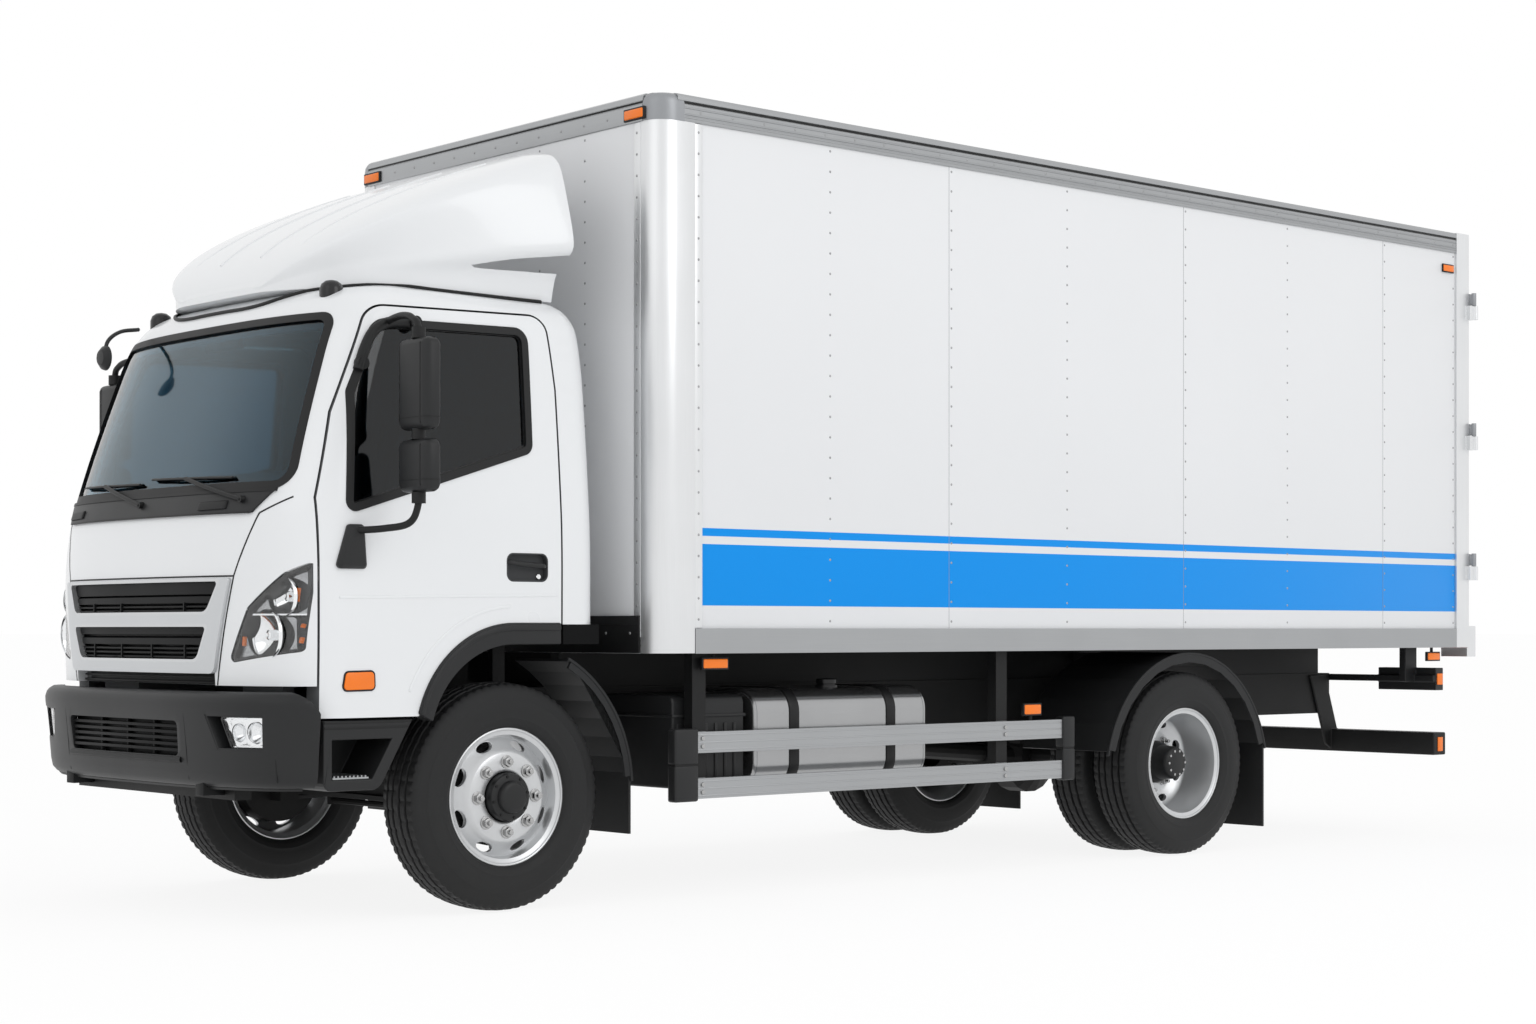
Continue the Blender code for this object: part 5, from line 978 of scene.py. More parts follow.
# %% Headlamps
def lamp_surface(outline, depth, thick):
    """A sheet that follows the cab's form at a depth below it, inside an outline seen from the front."""
    sheet = within(solid(cab_solid(depth, 0.9, 1.4)), prism(outline, "Y", -1.3, -0.8))
    return cut(sheet, cab_solid(depth + thick))


def make_headlamp(side, word):
    s = side
    outline = flipped(LAMP_OUTLINE, s)
    lens = lamp_surface(grown(outline, -0.002), 0.0035, 0.004)
    finish(polished(lens), "headlamp_lens_" + word, "cab", CLEAR_LENS, slot="lamp_clear")
    case = lamp_surface(grown(outline, -0.001), 0.0085, 0.085)
    cut(case, prism(grown(outline, -0.014), "Y", -1.3, -0.7))
    finish(polished(case), "headlamp_case_" + word, "cab", GLOSSY_BLACK, ("headlamp_" + word,), "black_plastic")
    # Main lamp below, dipped lamp above, each a bowl sunk in a silver mask
    bowls = [(s * x, z, r, nose_y(x, z) + 0.034) for x, z, r in ((0.775, 1.06, 0.092), (0.842, 1.2, 0.07))]
    masks = []
    for part in (rectangle(0.6, 0.94, 0.872, 1.124), rectangle(0.6, 1.136, 0.915, 1.4)):
        mask = lamp_surface(grown(outline, -0.0145), 0.03, 0.004)
        within(mask, prism(rounded(flipped(part, s), 0.012), "Y", -1.4, -0.6))
        cut(mask, *[turned([(-0.3, 0.0), (-0.3, r), (0.2, r), (0.2, 0.0)], (x, y, z), 48, "Y")
                    for x, z, r, y in bowls])
        masks.append(mask)
    joined(masks[0], masks[1])
    finish(polished(masks[0]), "headlamp_mask_" + word, "cab", LAMP_SILVER)
    shells = []
    for x, z, r, y in bowls:
        inner = [(0.048 * (1 - (k / 12) ** 2) - 0.004, max(0.0, r * 1.01 * k / 12)) for k in range(13)]
        outer = [(along + 0.0035, radius) for along, radius in reversed(inner)]
        shells.append(turned(inner + outer, (x, y, z), 48, "Y"))
        shells.append(turned([(0.004, 0.0), (-0.002, 0.01), (0.002, 0.018), (0.026, 0.02), (0.042, 0.02),
            (0.042, 0.0)], (x, y, z), 24, "Y"))
        ring = [(-0.006, r * 0.985), (-0.01, r * 1.01), (-0.006, r * 1.035), (0.004, r * 1.03), (0.004, r * 0.985)]
        shells.append(turned(ring, (x, y, z), 48, "Y"))
    shells.append(on_nose([(s * 0.712, 1.134), (s * 0.925, 1.134)], 0.006, -0.018, 0.03, 14))
    piece(shells, "headlamp_reflectors_" + word, "cab", CHROME)
    # Dark side strip with two small amber bulbs, and the case's floor behind everything
    strip = lamp_surface(rounded(flipped([(0.878, 1.005), (0.918, 1.012), (0.926, 1.124), (0.878, 1.124)], s),
        0.01), 0.024, 0.006)
    floor = lamp_surface(grown(outline, -0.012), 0.086, 0.006)
    joined(strip, floor)
    finish(polished(strip), "headlamp_dark_parts_" + word, "cab", GLOSSY_BLACK)
    bars = ((0.902, 1.03, 0.022), (0.906, 1.086, 0.014), (0.888, 1.18, 0.05), (0.688, 1.02, 0.034))
    amber = [on_nose([(s * x, z), (s * (x + 0.004), z + long)], 0.012, -0.022, 0.012, 4) for x, z, long in bars]
    piece(amber, "headlamp_indicator_" + word, "cab", AMBER, bevel=0.002)


for side, word in SIDES:
    make_headlamp(side, word)
progress("made so far")

# %% [markdown]
# ## Mirrors, steps and the wind deflector
# Each mirror arm is a bent steel tube that carries two moulded heads, a tall main mirror over a wide-angle one. The
# glass faces backwards, and a seam runs round each head near its outer edge. The deflector on the roof is a thin
# moulding with raised ribs, a folded lower edge and a black seal where it meets the roof.

# %% Mirrors
def make_mirror(side, word):
    body, s, x = "door_" + word, side, side * 1.17
    plan = rounded(rectangle(-0.098, -0.6, 0.098, -0.532), [0.034, 0.034, 0.014, 0.014], 6)
    heads, glasses, seams = [], [], []
    for low, high in ((1.8, 2.13), (1.575, 1.765)):
        levels = ((low, 0.03), (low + 0.004, 0.016), (low + 0.012, 0.006), (low + 0.026, 0.0), (high - 0.026, 0.0),
                  (high - 0.012, 0.006), (high - 0.004, 0.016), (high, 0.03))
        heads.append(loft([[(x + px, py, z) for px, py in grown(plan, -inset * 0.85)] for z, inset in levels]))
        frame_line = rounded(rectangle(x - 0.084, low + 0.014, x + 0.084, high - 0.014), 0.022)
        glasses.append(prism(frame_line, "Y", -0.5325, -0.53))
        band = loft([[(x + px, py, z) for px, py in grown(plan, 0.0012)] for z in (low + 0.04, low + 0.044)])
        seams.append(band)
        edge = s * 0.06
        seams.append(prism(rectangle(x + edge - 0.0018, low + 0.02, x + edge + 0.0018, high - 0.02), "Y",
            -0.6013, -0.58))
    piece(heads, "mirror_heads_" + word, body, BUMPER, ("mirror_" + word,), "black_plastic", bevel=0.004, segments=2)
    piece(glasses, "mirror_glass_" + word, body, MIRROR_GLASS, bevel=0.0008)
    piece(seams, "mirror_seams_" + word, body, SEAL)
    arm = [(s * 0.905, -0.53, 2.212), (s * 0.95, -0.535, 2.222), (s * 1.05, -0.555, 2.224),
        (s * 1.13, -0.565, 2.206), (x, -0.565, 2.15), (x, -0.565, 1.9), (x, -0.565, 1.62), (x, -0.57, 1.52),
        (s * 1.14, -0.59, 1.462), (s * 1.06, -0.645, 1.445), (s * 0.985, -0.7, 1.44)]
    bracket = [(s * 0.915, -0.66, 2.03), (s * 0.912, -0.63, 2.11), (s * 0.908, -0.59, 2.175),
        (s * 0.905, -0.53, 2.212), (s * 0.902, -0.46, 2.222), (s * 0.901, -0.4, 2.222)]
    pads = [swept([(s * 0.9, y, z), (s * 0.932, y, z)], 0.024, 16) for y, z in ((-0.645, 2.055), (-0.415, 2.222))]
    clamps = [swept([(x, -0.565, z - 0.02), (x, -0.565, z + 0.02)], 0.026, 16) for z in (1.785, 2.15, 1.555)]
    arms = solid(gathered(swept(smooth_path(arm), 0.013, 14), swept(smooth_path(bracket), 0.02, 14), *pads, *clamps))
    finish(arms, "mirror_arms_" + word, body, SEAL)
    base = solid(loft([[(s * px, y, z) for y, z in grown(rounded([(-0.79, 1.3), (-0.66, 1.3), (-0.672, 1.462),
        (-0.74, 1.462)], 0.016), d)] for px, d in ((0.93, 0.0), (0.978, 0.0), (0.992, -0.012))]))
    cut(base, cab_solid(-0.0005))
    finish(softened(base, 0.003), "mirror_base_" + word, body, BUMPER)


for side, word in SIDES:
    make_mirror(side, word)
    from_frame("cab_step_" + word, BUMPER, 0.005, 3)
    ribs = [box((side * 0.75, -0.792, 0.537), (side * 0.955, -0.64, 0.543))]
    for k in range(9):
        y = -0.785 + 0.0165 * k
        ribs.append(box((side * 0.76, y, 0.541), (side * 0.95, y + 0.006, 0.549)))
    piece(ribs, "step_tread_" + word, "chassis", PROFILE_X)
    edge = [prism([(-0.832, z), (end, z), (end - 0.004, z - 0.01), (-0.832, z - 0.01)], "X", side * 0.7,
        side * 0.9665) for z, end in ((0.748, -0.462), (0.728, -0.473))]
    piece(edge, "step_top_lips_" + word, "chassis", SEAL, bevel=0.002)

# A small round front mirror over the right corner of the windscreen
front = solid(gathered(turned([(-0.018, 0.0), (-0.015, 0.03), (0.0, 0.047), (0.012, 0.05), (0.014, 0.045),
    (0.014, 0.0)], (-0.5, -0.955, 2.165), 36, "Y"),
    swept(smooth_path([(-0.5, -0.95, 2.17), (-0.51, -0.93, 2.235), (-0.54, -0.86, 2.28), (-0.58, -0.76, 2.3)]),
    0.008, 10)))
finish(front, "front_view_mirror", "cab", BUMPER)

# %% [markdown]
# The deflector rises from the roof's front edge to the box's top. It is a thin shell, open at the back, and widens
# towards its rear edge above a narrow foot.

# %% Sections of the wind deflector
STATIONS = [(k / 30) ** 1.6 for k in range(31)]
SECTION = ((0.0, 1.0), (0.36, 0.998), (0.7, 0.985), (0.81, 0.94), (0.865, 0.86), (0.945, 0.42), (0.95, 0.3),
    (0.83, 0.19), (0.8, 0.0))
FLARE = (0.0, 0.0, 0.0, 0.0, 0.0, 1.0, 1.0, 0.15, 0.0)


def deflector_ring(share, inset=0.0):
    """One cross section of the deflector. share runs from 0 at its front edge to 1 at its rear edge."""
    y = -0.72 + 1.02 * share
    rise = 0.615 * max(share, 0.004) ** 0.58
    wide = 0.3 + 0.7 * (1 - (1 - share) ** 2.6) ** 0.5
    grow = max(0.0, (share - 0.28) / 0.72)
    roof = CAB_HIGH - 0.012 - (0.03 if inset else 0.0)
    half = []
    for (x, height), flare in zip(SECTION, FLARE):
        base = 0.8 + (x - 0.8) * (1 if flare == 0 else grow)
        wanted = (x if flare == 0 else base) * wide
        z = height * rise - inset + (0.03 if inset else 0.0)
        half.append((max(0.0, wanted - inset), roof + (0.0 if height == 0.0 else max(0.0, z))))
    fine = [(0.0, half[0][1])]
    for (x0, z0), (x1, z1) in zip(half, half[1:]):
        fine += [(x0 + (x1 - x0) * k / 4, z0 + (z1 - z0) * k / 4) for k in range(1, 5)]
    for _ in range(2):
        middle = [((a[0] + 2 * b[0] + c[0]) / 4, (a[1] + 2 * b[1] + c[1]) / 4)
                  for a, b, c in zip(fine, fine[1:], fine[2:])]
        fine = [fine[0]] + middle + [fine[-1]]
    ring = [(x, y, z) for x, z in fine]
    return ring + [(-x, y, z) for x, y, z in reversed(ring[1:])]

# %% [markdown]
# The shell gets ribs, a seal that follows the roof, two braces below, and two domed lamps in front of it.

# %% The wind deflector
def roof_height(x, y):
    """The height of the cab's roof over a point of its plan."""
    low, high = 2.0, CAB_HIGH
    for _ in range(30):
        z = (low + high) / 2
        inside = abs(x) < side_x(y, z) and y > nose_y(x, z)
        low, high = (z, high) if inside else (low, z)
    return low


def make_deflector():
    shape = solid(loft([deflector_ring(s) for s in STATIONS]))
    hollow = [deflector_ring(s, 0.018) for s in STATIONS[16:]]
    hollow.append([(x, y + 0.2, z) for x, y, z in hollow[-1]])
    cut(shape, loft(hollow), cab_solid(-0.0005, 2.0))
    finish(softened(shape, 0.004, 2, 40), "roof_deflector", "cab", PAINT, ("roof_fairing",), "cab_white", angle=28)
    ribs = []
    for x in (-0.52, -0.2, 0.2, 0.52):
        line = []
        for s in STATIONS[7:29]:
            ring = deflector_ring(s)
            z = min((abs(px - x), pz) for px, _, pz in ring if pz > CAB_HIGH)[1]
            line.append((x * (0.75 + 0.25 * s), -0.72 + 1.02 * s, z - 0.002))
        ribs.append(swept(line, 0.0065, 8, 1.0))
    piece(ribs, "deflector_ribs", "cab", PAINT, slot="cab_white")
    # The seal follows the deflector's foot over the roof
    foot = []
    for s in STATIONS[1:31:2]:
        y, reach = -0.72 + 1.02 * s, 0.8 * (0.3 + 0.7 * (1 - (1 - s) ** 2.6) ** 0.5)
        foot.append((reach + 0.004, y, roof_height(reach, y) + 0.003))
    half = list(reversed(foot)) + [(x, -0.724, roof_height(x, -0.724) + 0.003) for x in (0.2, 0.1, 0.0)]
    seal = swept(smooth_path(half + [(-x, y, z) for x, y, z in reversed(half[:-1])], 3), 0.008, 10)
    piece(seal, "deflector_seal", "cab", SEAL)
    brace = [swept([(s * 0.5, 0.16, 2.372), (s * 0.5, 0.06, 2.7), (s * 0.46, 0.02, 2.86)], 0.014, 10)
        for s, _ in SIDES]
    piece(brace, "deflector_braces", "cab", CHASSIS)


make_deflector()
domes = []
for x in (-0.66, 0.66):
    y = -0.615
    domes.append(turned([(2.3, 0.0), (2.3, 0.045), (2.352, 0.045), (2.372, 0.038), (2.384, 0.022), (2.388, 0.0)],
        (x, y, 0), 32, "Z"))
piece(domes, "roof_marker_lamps", "cab", GLOSSY_BLACK)

# %% [markdown]
# ## Inside the cab
# The cab is seen through tinted glass, so its inside has real cushions, a dashboard and a steering wheel. The seats
# are upholstered foam: each cushion bulges between its seams, and piping runs round its edge.

# %% Seats and dashboard
CLOTH = material("seat_cloth", (0.03, 0.034, 0.042), 0.85, grain=(0.0015, 0.1), relief=0.0003, vary=0.2,
    Sheen_Weight=0.3)
PIPING = material("seat_piping", (0.09, 0.095, 0.1), 0.7, grain=(0.002, 0.3), relief=0.0001, vary=0.1)


def cushion(lo, hi, bulge):
    """A stuffed block: its faces swell in the middle and draw in at the seams."""
    bm = bmesh.new()
    centre, half = (Vector(lo) + Vector(hi)) / 2, (Vector(hi) - Vector(lo)) / 2
    bmesh.ops.create_cube(bm, size=2.0)
    bmesh.ops.subdivide_edges(bm, edges=bm.edges, cuts=14, use_grid_fill=True)
    for vert in bm.verts:
        p = vert.co.copy()
        edge = [1 - abs(c) ** 6 for c in p]
        lift = Vector([copysign(1, c) if abs(c) > 0.999 else 0.0 for c in p])
        pull = min(1.0, sum(1 for c in p if abs(c) > 0.86))
        swell = 1.0
        for axis in range(3):
            if not lift[axis]:
                swell *= edge[axis] ** 0.35
        dip = 0.35 * bulge * (cos(3 * pi * p.x) ** 8 if abs(p.x) < 0.9 else 0)
        size = Vector([c * h for c, h in zip(p, half)])
        vert.co = centre + size + lift * (bulge * (swell - 1.0) - dip * swell * pull)
    return bm


cushions, piping = [], []
for low_x, high_x in ((0.08, 0.78), (-0.78, -0.38), (-0.36, -0.04)):
    cushions.append(cushion((low_x, -0.345, 1.235), (high_x, 0.17, 1.372), 0.035))
    back = cushion((low_x, 0.0, 0.0), (high_x, 0.115, 0.6), 0.035)
    bmesh.ops.rotate(back, verts=back.verts, cent=(0, 0, 0), matrix=Matrix.Rotation(radians(-13), 3, "X"))
    bmesh.ops.translate(back, verts=back.verts, vec=(0, 0.135, 1.37))
    cushions.append(back)
    loop = rounded(rectangle(low_x + 0.012, -0.335, high_x - 0.012, 0.14), 0.03)
    piping.append(swept([(x, y, 1.352) for x, y in loop + loop[:1]], 0.005, 8))
for body_shape, name in zip(cushions, ("driver_base", "driver_back", "outer_base", "outer_back", "middle_base",
        "middle_back")):
    pad = piece(body_shape, "seat_" + name, "cab", CLOTH, ("seat_bench",) if name == "driver_base" else (),
        "cab_trim", angle=50)
piece(piping, "seat_seams", "cab", PIPING, slot="cab_trim")
plinths = [box((low_x + 0.03, -0.3, 1.152), (high_x - 0.03, 0.22, 1.24))
           for low_x, high_x in ((0.08, 0.78), (-0.78, -0.04))]
piece(plinths, "seat_plinths", "cab", TRIM_GREY, slot="cab_trim", bevel=0.008, segments=3)

# %% [markdown]
# The dashboard fills the cab's front below the windscreen, so it is the form itself, cut by a side outline. The
# steering wheel is a bar bent into a ring, with three flat spokes.

# %% Dashboard and steering wheel
dash_side = rounded([(-1.2, 1.19), (-1.2, 1.52), (-0.62, 1.51), (-0.54, 1.42), (-0.57, 1.19)],
    [0.0, 0.0, 0.05, 0.04, 0.03])
dash = within(solid(cab_solid(0.071, 1.18, 1.53)), prism(dash_side, "X", -0.78, 0.78))
dials = [turned([(0.0, 0.0), (0.0, 0.05), (0.03, 0.045), (0.03, 0.0)], (0, 0, 0), 32, "Y") for _ in range(2)]
for dial, x in zip(dials, (0.31, 0.45)):
    bmesh.ops.translate(dial, verts=dial.verts, vec=(x, -0.585, 1.455))
cut(dash, *dials)
finish(softened(dash, 0.008, 3), "dashboard_moulding", "cab", TRIM_GREY, ("dashboard",), "cab_trim")
hood = prism(rounded([(0.22, 1.5), (0.54, 1.5), (0.5, 1.545), (0.26, 1.545)], 0.015), "Y", -0.75, -0.585)
vents = [box((x - 0.05, -0.556, 1.43), (x + 0.05, -0.545, 1.47)) for x in (-0.6, -0.1, 0.08, 0.68)]
piece(gathered(hood, *vents), "dashboard_hood_and_vents", "cab", SEAL, slot="cab_trim", bevel=0.003)


def ring_bar(centre, normal, radius, thick, steps=64, sides=14):
    """A round bar bent into a ring."""
    up = Vector(normal).normalized()
    first = up.orthogonal().normalized()
    second = up.cross(first)
    sections = []
    for k in range(steps):
        a = 2 * pi * k / steps
        out = first * cos(a) + second * sin(a)
        sections.append([Vector(centre) + out * (radius + thick * cos(b)) + up * thick * sin(b)
            for b in [2 * pi * m / sides for m in range(sides)]])
    return loft(sections, closed=True)


hub = Vector((0.38, -0.4, 1.555))
across, up_wheel, tilt = Vector((1, 0, 0)), Vector((0, -0.75, 0.66)), Vector((0, 0.66, 0.75))
spokes = []
for angle in (20, 160, 270):
    out = across * cos(radians(angle)) + up_wheel * sin(radians(angle))
    spokes.append(swept(smooth_path([hub - tilt * 0.045 + out * 0.03, hub - tilt * 0.035 + out * 0.08,
        hub - tilt * 0.012 + out * 0.15, hub + out * 0.195]), 0.014, 12, 0.55))
boss = swept([hub - tilt * 0.075, hub - tilt * 0.06, hub - tilt * 0.03, hub - tilt * 0.022], 0.052, 32)
column = swept([hub - tilt * 0.26, hub - tilt * 0.07], 0.032, 20)
piece(gathered(ring_bar(hub, tilt, 0.2, 0.0145), boss, column, *spokes), "steering_wheel", "cab", GLOSSY_BLACK,
    slot="cab_trim")
inner_mirror = solid(gathered(box((-0.13, -0.7, 2.17), (0.13, -0.675, 2.235)),
    swept([(0, -0.7, 2.225), (0, -0.72, 2.262)], 0.008, 8)))
finish(softened(inner_mirror, 0.006), "cab_inside_mirror", "cab", SEAL, slot="cab_trim")
progress("cab done")

# %% [markdown]
# ## The box body
# The load space is an aluminium box with smooth painted panels. Each panel sits between a deep bottom rail and a top
# rail, and is riveted to posts behind it, which show as upright rows of rivets. Two blue stripes run along each side.
# They belong to the paint, so the panel's material draws them by height, with sharp edges and without any picture.

# %% Panel paint with its stripes
def panel_material(name, stripes):
    mat = material(name, (0.745, 0.755, 0.77), 0.34, grain=(0.006, 1.2), relief=0.00003, vary=0.02,
        Specular_IOR_Level=0.2)
    tree = mat.node_tree
    shader = tree.nodes["Principled BSDF"]
    painted = shader.inputs["Base Color"].links[0].from_socket
    place = node(tree, "ShaderNodeTexCoord").outputs["Object"]
    height = node(tree, "ShaderNodeSeparateXYZ", {0: place}).outputs["Z"]
    for low, high in stripes:
        above = maths(tree, "GREATER_THAN", height, low)
        below = maths(tree, "LESS_THAN", height, high)
        band = maths(tree, "MULTIPLY", above, below)
        mixed = node(tree, "ShaderNodeMix", {0: band, 6: painted, 7: (0.0, 0.275, 0.8, 1.0)}, data_type="RGBA")
        painted = mixed.outputs[2]
    tree.links.new(painted, shader.inputs["Base Color"])
    return mat


SIDE_PAINT = panel_material("box_side_paint", ((1.176, 1.422), (1.454, 1.486)))
PLAIN_PAINT = panel_material("box_front_and_door_paint", ())
POST_Y = (1.53, 2.25, 3.0, 3.84, 4.63, 5.45)

# %% [markdown]
# Rivets repeat by the hundred, so Geometry Nodes sets them. The tree takes a mesh of plain lines, walks along them at
# an even spacing, and puts one flattened dome at each step. Radius, height, spacing and the direction they face are
# its inputs. The result is turned into plain mesh.

# %% The rivet tree
def rivet_tree():
    tree = bpy.data.node_groups.new("rivets_along_lines", "GeometryNodeTree")
    for label, kind, value in (("Geometry", "Geometry", None), ("Spacing", "Float", 0.08),
            ("Radius", "Float", 0.006), ("Height", "Float", 0.003), ("Facing", "Vector", (0, 0, 0)),
            ("Finish", "Material", RIVET)):
        add_socket(tree, label, kind, value)
    add_socket(tree, "Geometry", "Geometry", in_out="OUTPUT")
    given, result = tree.nodes.new("NodeGroupInput"), tree.nodes.new("NodeGroupOutput")
    curve = node(tree, "GeometryNodeMeshToCurve", {0: given.outputs["Geometry"]})
    points = node(tree, "GeometryNodeResampleCurve",
        {"Curve": curve.outputs[0], "Length": given.outputs["Spacing"]}, mode="LENGTH")
    dome = node(tree, "GeometryNodeMeshUVSphere", {"Segments": 8, "Rings": 4, "Radius": 1.0})
    size = node(tree, "ShaderNodeCombineXYZ", {0: given.outputs["Radius"], 1: given.outputs["Radius"],
        2: given.outputs["Height"]})
    flat = node(tree, "GeometryNodeTransform", {"Geometry": dome.outputs[0], "Scale": size.outputs[0]})
    placed = node(tree, "GeometryNodeInstanceOnPoints", {"Points": points.outputs[0], "Instance": flat.outputs[0],
        "Rotation": given.outputs["Facing"]})
    real = node(tree, "GeometryNodeRealizeInstances", {0: placed.outputs[0]})
    painted = node(tree, "GeometryNodeSetMaterial",
        {"Geometry": real.outputs[0], "Material": given.outputs["Finish"]})
    tree.links.new(painted.outputs[0], result.inputs[0])
    return tree


RIVETS = rivet_tree()


def with_nodes(obj, tree, values):
    """Runs a Geometry Nodes tree on an object, with its inputs set by name, and keeps the plain mesh."""
    step = obj.modifiers.new("nodes", "NODES")
    step.node_group = tree
    for item in tree.interface.items_tree:
        if item.in_out == "INPUT" and item.name in values:
            step[item.identifier] = values[item.name]
    return baked(obj)


def rivets(name, lines, facing, spacing=0.082, radius=0.0055, height=0.0026):
    """Rivets along straight lines of two points each. facing turns a dome from pointing up."""
    bm = bmesh.new()
    for a, b in lines:
        length = (Vector(b) - Vector(a)).length
        count = max(1, round(length / spacing))
        stations = [bm.verts.new(Vector(a).lerp(Vector(b), k / count)) for k in range(count + 1)]
        for low, high in zip(stations, stations[1:]):
            bm.edges.new((low, high))
    obj = object_from(bm, name)
    with_nodes(obj, RIVETS, {"Spacing": spacing, "Radius": radius, "Height": height, "Facing": facing,
        "Finish": RIVET})
    return finish(obj, name, "chassis", None, slot="aluminium", angle=60)


RIGHT_ANGLE = pi / 2
OUT_X = {1: (0, RIGHT_ANGLE, 0), -1: (0, -RIGHT_ANGLE, 0)}
FORWARD, BACKWARD = (RIGHT_ANGLE, 0, 0), (-RIGHT_ANGLE, 0, 0)
print("rivet tree nodes", len(RIVETS.nodes))

# %% [markdown]
# ## Rails, posts and panels
# The rails are extrusions, so each is one profile pushed along the box: a ribbed bottom rail with a drip lip, and a
# top rail with a cap, a dark groove and three ribs. Round posts close the front corners, each with a cast corner
# on top. Behind them the floor lies on cross bearers.

# %% Side panels, rails and their rivets
def ribbed(points, ribs, out):
    """Adds small ribs to a straight outer face, at the given heights."""
    for z in ribs:
        points += [(out, z - 0.004), (out + 0.003, z - 0.002), (out + 0.003, z + 0.002), (out, z + 0.004)]
    return points


for side, word in SIDES:
    s, y0, y1 = side, BOX_FRONT + 0.19, BOX_REAR - 0.115
    panel = box((s * SKIN_X, y0 + 0.001, 1.03), (s * (SKIN_X - 0.035), y1 - 0.001, 3.17))
    piece(panel, "side_panel_" + word, "chassis", SIDE_PAINT, ("box_side_" + word,), "box_panel", bevel=0.0015)
    low_face = [(SKIN_X - 0.03, BOX_LOW), (1.0965, BOX_LOW), (1.0965, 0.992), (1.094, 0.994)]
    low_face = ribbed(low_face, (1.004, 1.02, 1.048, 1.062), 1.0955)
    low_face += [(1.0965, 1.078), (1.093, 1.083), (SKIN_X + 0.0005, 1.084), (SKIN_X + 0.0005, 1.016),
        (SKIN_X - 0.03, 1.012)]
    piece(prism(flipped(low_face, s), "Y", y0 + 0.001, y1 - 0.001), "bottom_rail_" + word, "chassis", PROFILE_Y)
    top_face = [(SKIN_X + 0.0005, 3.096), (1.094, 3.096), (1.0955, 3.1)]
    top_face = ribbed(top_face, (3.112, 3.124, 3.15), 1.0955)
    top_face += [(1.0955, 3.163), (1.092, 3.165), (1.092, 3.175), (1.0985, 3.176), (1.0995, 3.19), (1.093, 3.2015),
        (1.078, 3.2045), (1.06, 3.2045), (1.06, 3.17), (SKIN_X + 0.0005, 3.17)]
    piece(prism(flipped(top_face, s), "Y", y0 - 0.09, y1 - 0.001), "top_rail_" + word, "chassis", PROFILE_Y)
    groove = box((s * 1.0905, y0 - 0.085, 3.166), (s * 1.0932, y1 - 0.002, 3.1745))
    piece(groove, "top_rail_groove_" + word, "chassis", SEAL, bevel=0.0005)
    x = s * SKIN_X
    uprights = [((x, y, 1.115), (x, y, 3.075)) for y in POST_Y] + [((x, y, 1.115), (x, y, 3.075))
        for y in (y0 + 0.018, y1 - 0.018)]
    rivets("side_post_rivets_" + word, uprights, OUT_X[s])
    rows = [((s * 1.0955, y0 + 0.03, z), (s * 1.0955, y1 - 0.03, z)) for z in (1.034, 3.137)]
    rivets("side_rail_rivets_" + word, rows, OUT_X[s], spacing=0.164, height=0.0028)
    joint_lines = [box((x, y - 0.0009, 1.085), (x + s * 0.0006, y + 0.0009, 3.095)) for y in (2.235, 3.825, 5.435)]
    piece(joint_lines, "side_panel_joints_" + word, "chassis", CASTING_GREY)

# %% [markdown]
# The front wall is one smooth panel between the corner posts. A cast corner closes each post at the top.

# %% Front wall, corner posts and castings
wall = box((-1.0, 0.6035, 0.985), (1.0, 0.638, 3.172))
piece(wall, "front_wall", "chassis", PLAIN_PAINT, ("box_front",), "box_panel", bevel=0.0015)
for side, word in SIDES:
    s = side
    outer = [(0.985, 0.6005)] + arc((1.0, 0.7), 0.0985, 270, 360, 24) + [(1.0985, 0.79), (1.0905, 0.7925),
        (1.0905, 0.76), (1.062, 0.74)]
    outer += arc((1.0, 0.7), 0.06, 360, 270, 12)[1:] + [(0.985, 0.64)]
    post = solid(prism([(s * x, y) for x, y in outer], "Z", 0.985, 3.095))
    finish(softened(post, 0.002, 2, 50), "corner_post_" + word, "chassis", PROFILE_Z, angle=40)
    flange = [box((s * 0.945, 0.5995, 1.05), (s * 0.986, 0.6035, 3.09)),
              box((s * 1.0885, 0.791, 1.086), (s * 1.0925, 0.832, 3.094))]
    piece(flange, "corner_post_flanges_" + word, "chassis", PROFILE_Z, bevel=0.0012)
    rivets("corner_rivets_front_" + word, [((s * 0.965, 0.5995, 1.09), (s * 0.965, 0.5995, 3.05))], FORWARD)
    rivets("corner_rivets_side_" + word, [((s * 1.0925, 0.812, 1.12), (s * 1.0925, 0.812, 3.06))], OUT_X[s])
    cap = [(1.0, 0.6005)] + arc((1.0, 0.7), 0.0992, 270, 360, 24)[1:] + [(1.0992, 0.735), (1.0, 0.735)]
    steps = ((3.094, 0.0), (3.16, 0.0), (3.182, 0.003), (3.196, 0.011), (3.2035, 0.026))
    casting = solid(loft([[(s * x, y, z) for x, y in (grown(cap, -inset) if inset else cap)] for z, inset in steps]))
    cut(casting, turned([(0.0, 0.0), (0.0, 0.011), (0.2, 0.011), (0.2, 0.0)], (s * 0.93, 0.0, 0.0), 16, "X"))
    finish(casting, "corner_casting_" + word, "chassis", CASTING_GREY, angle=50)
lower = box((-0.985, 0.592, 0.986), (0.985, 0.604, 1.135))
piece(lower, "front_wall_lower_rail", "chassis", CHASSIS, bevel=0.003)
upper = prism([(0.6005, 3.092), (0.5985, 3.096), (0.5985, 3.16), (0.6025, 3.163), (0.6025, 3.172), (0.6005, 3.1755),
    (0.6035, 3.196), (0.618, 3.204), (0.64, 3.2045), (0.64, 3.092)], "X", -1.0, 1.0)
piece(upper, "front_top_rail", "chassis", PROFILE_X)
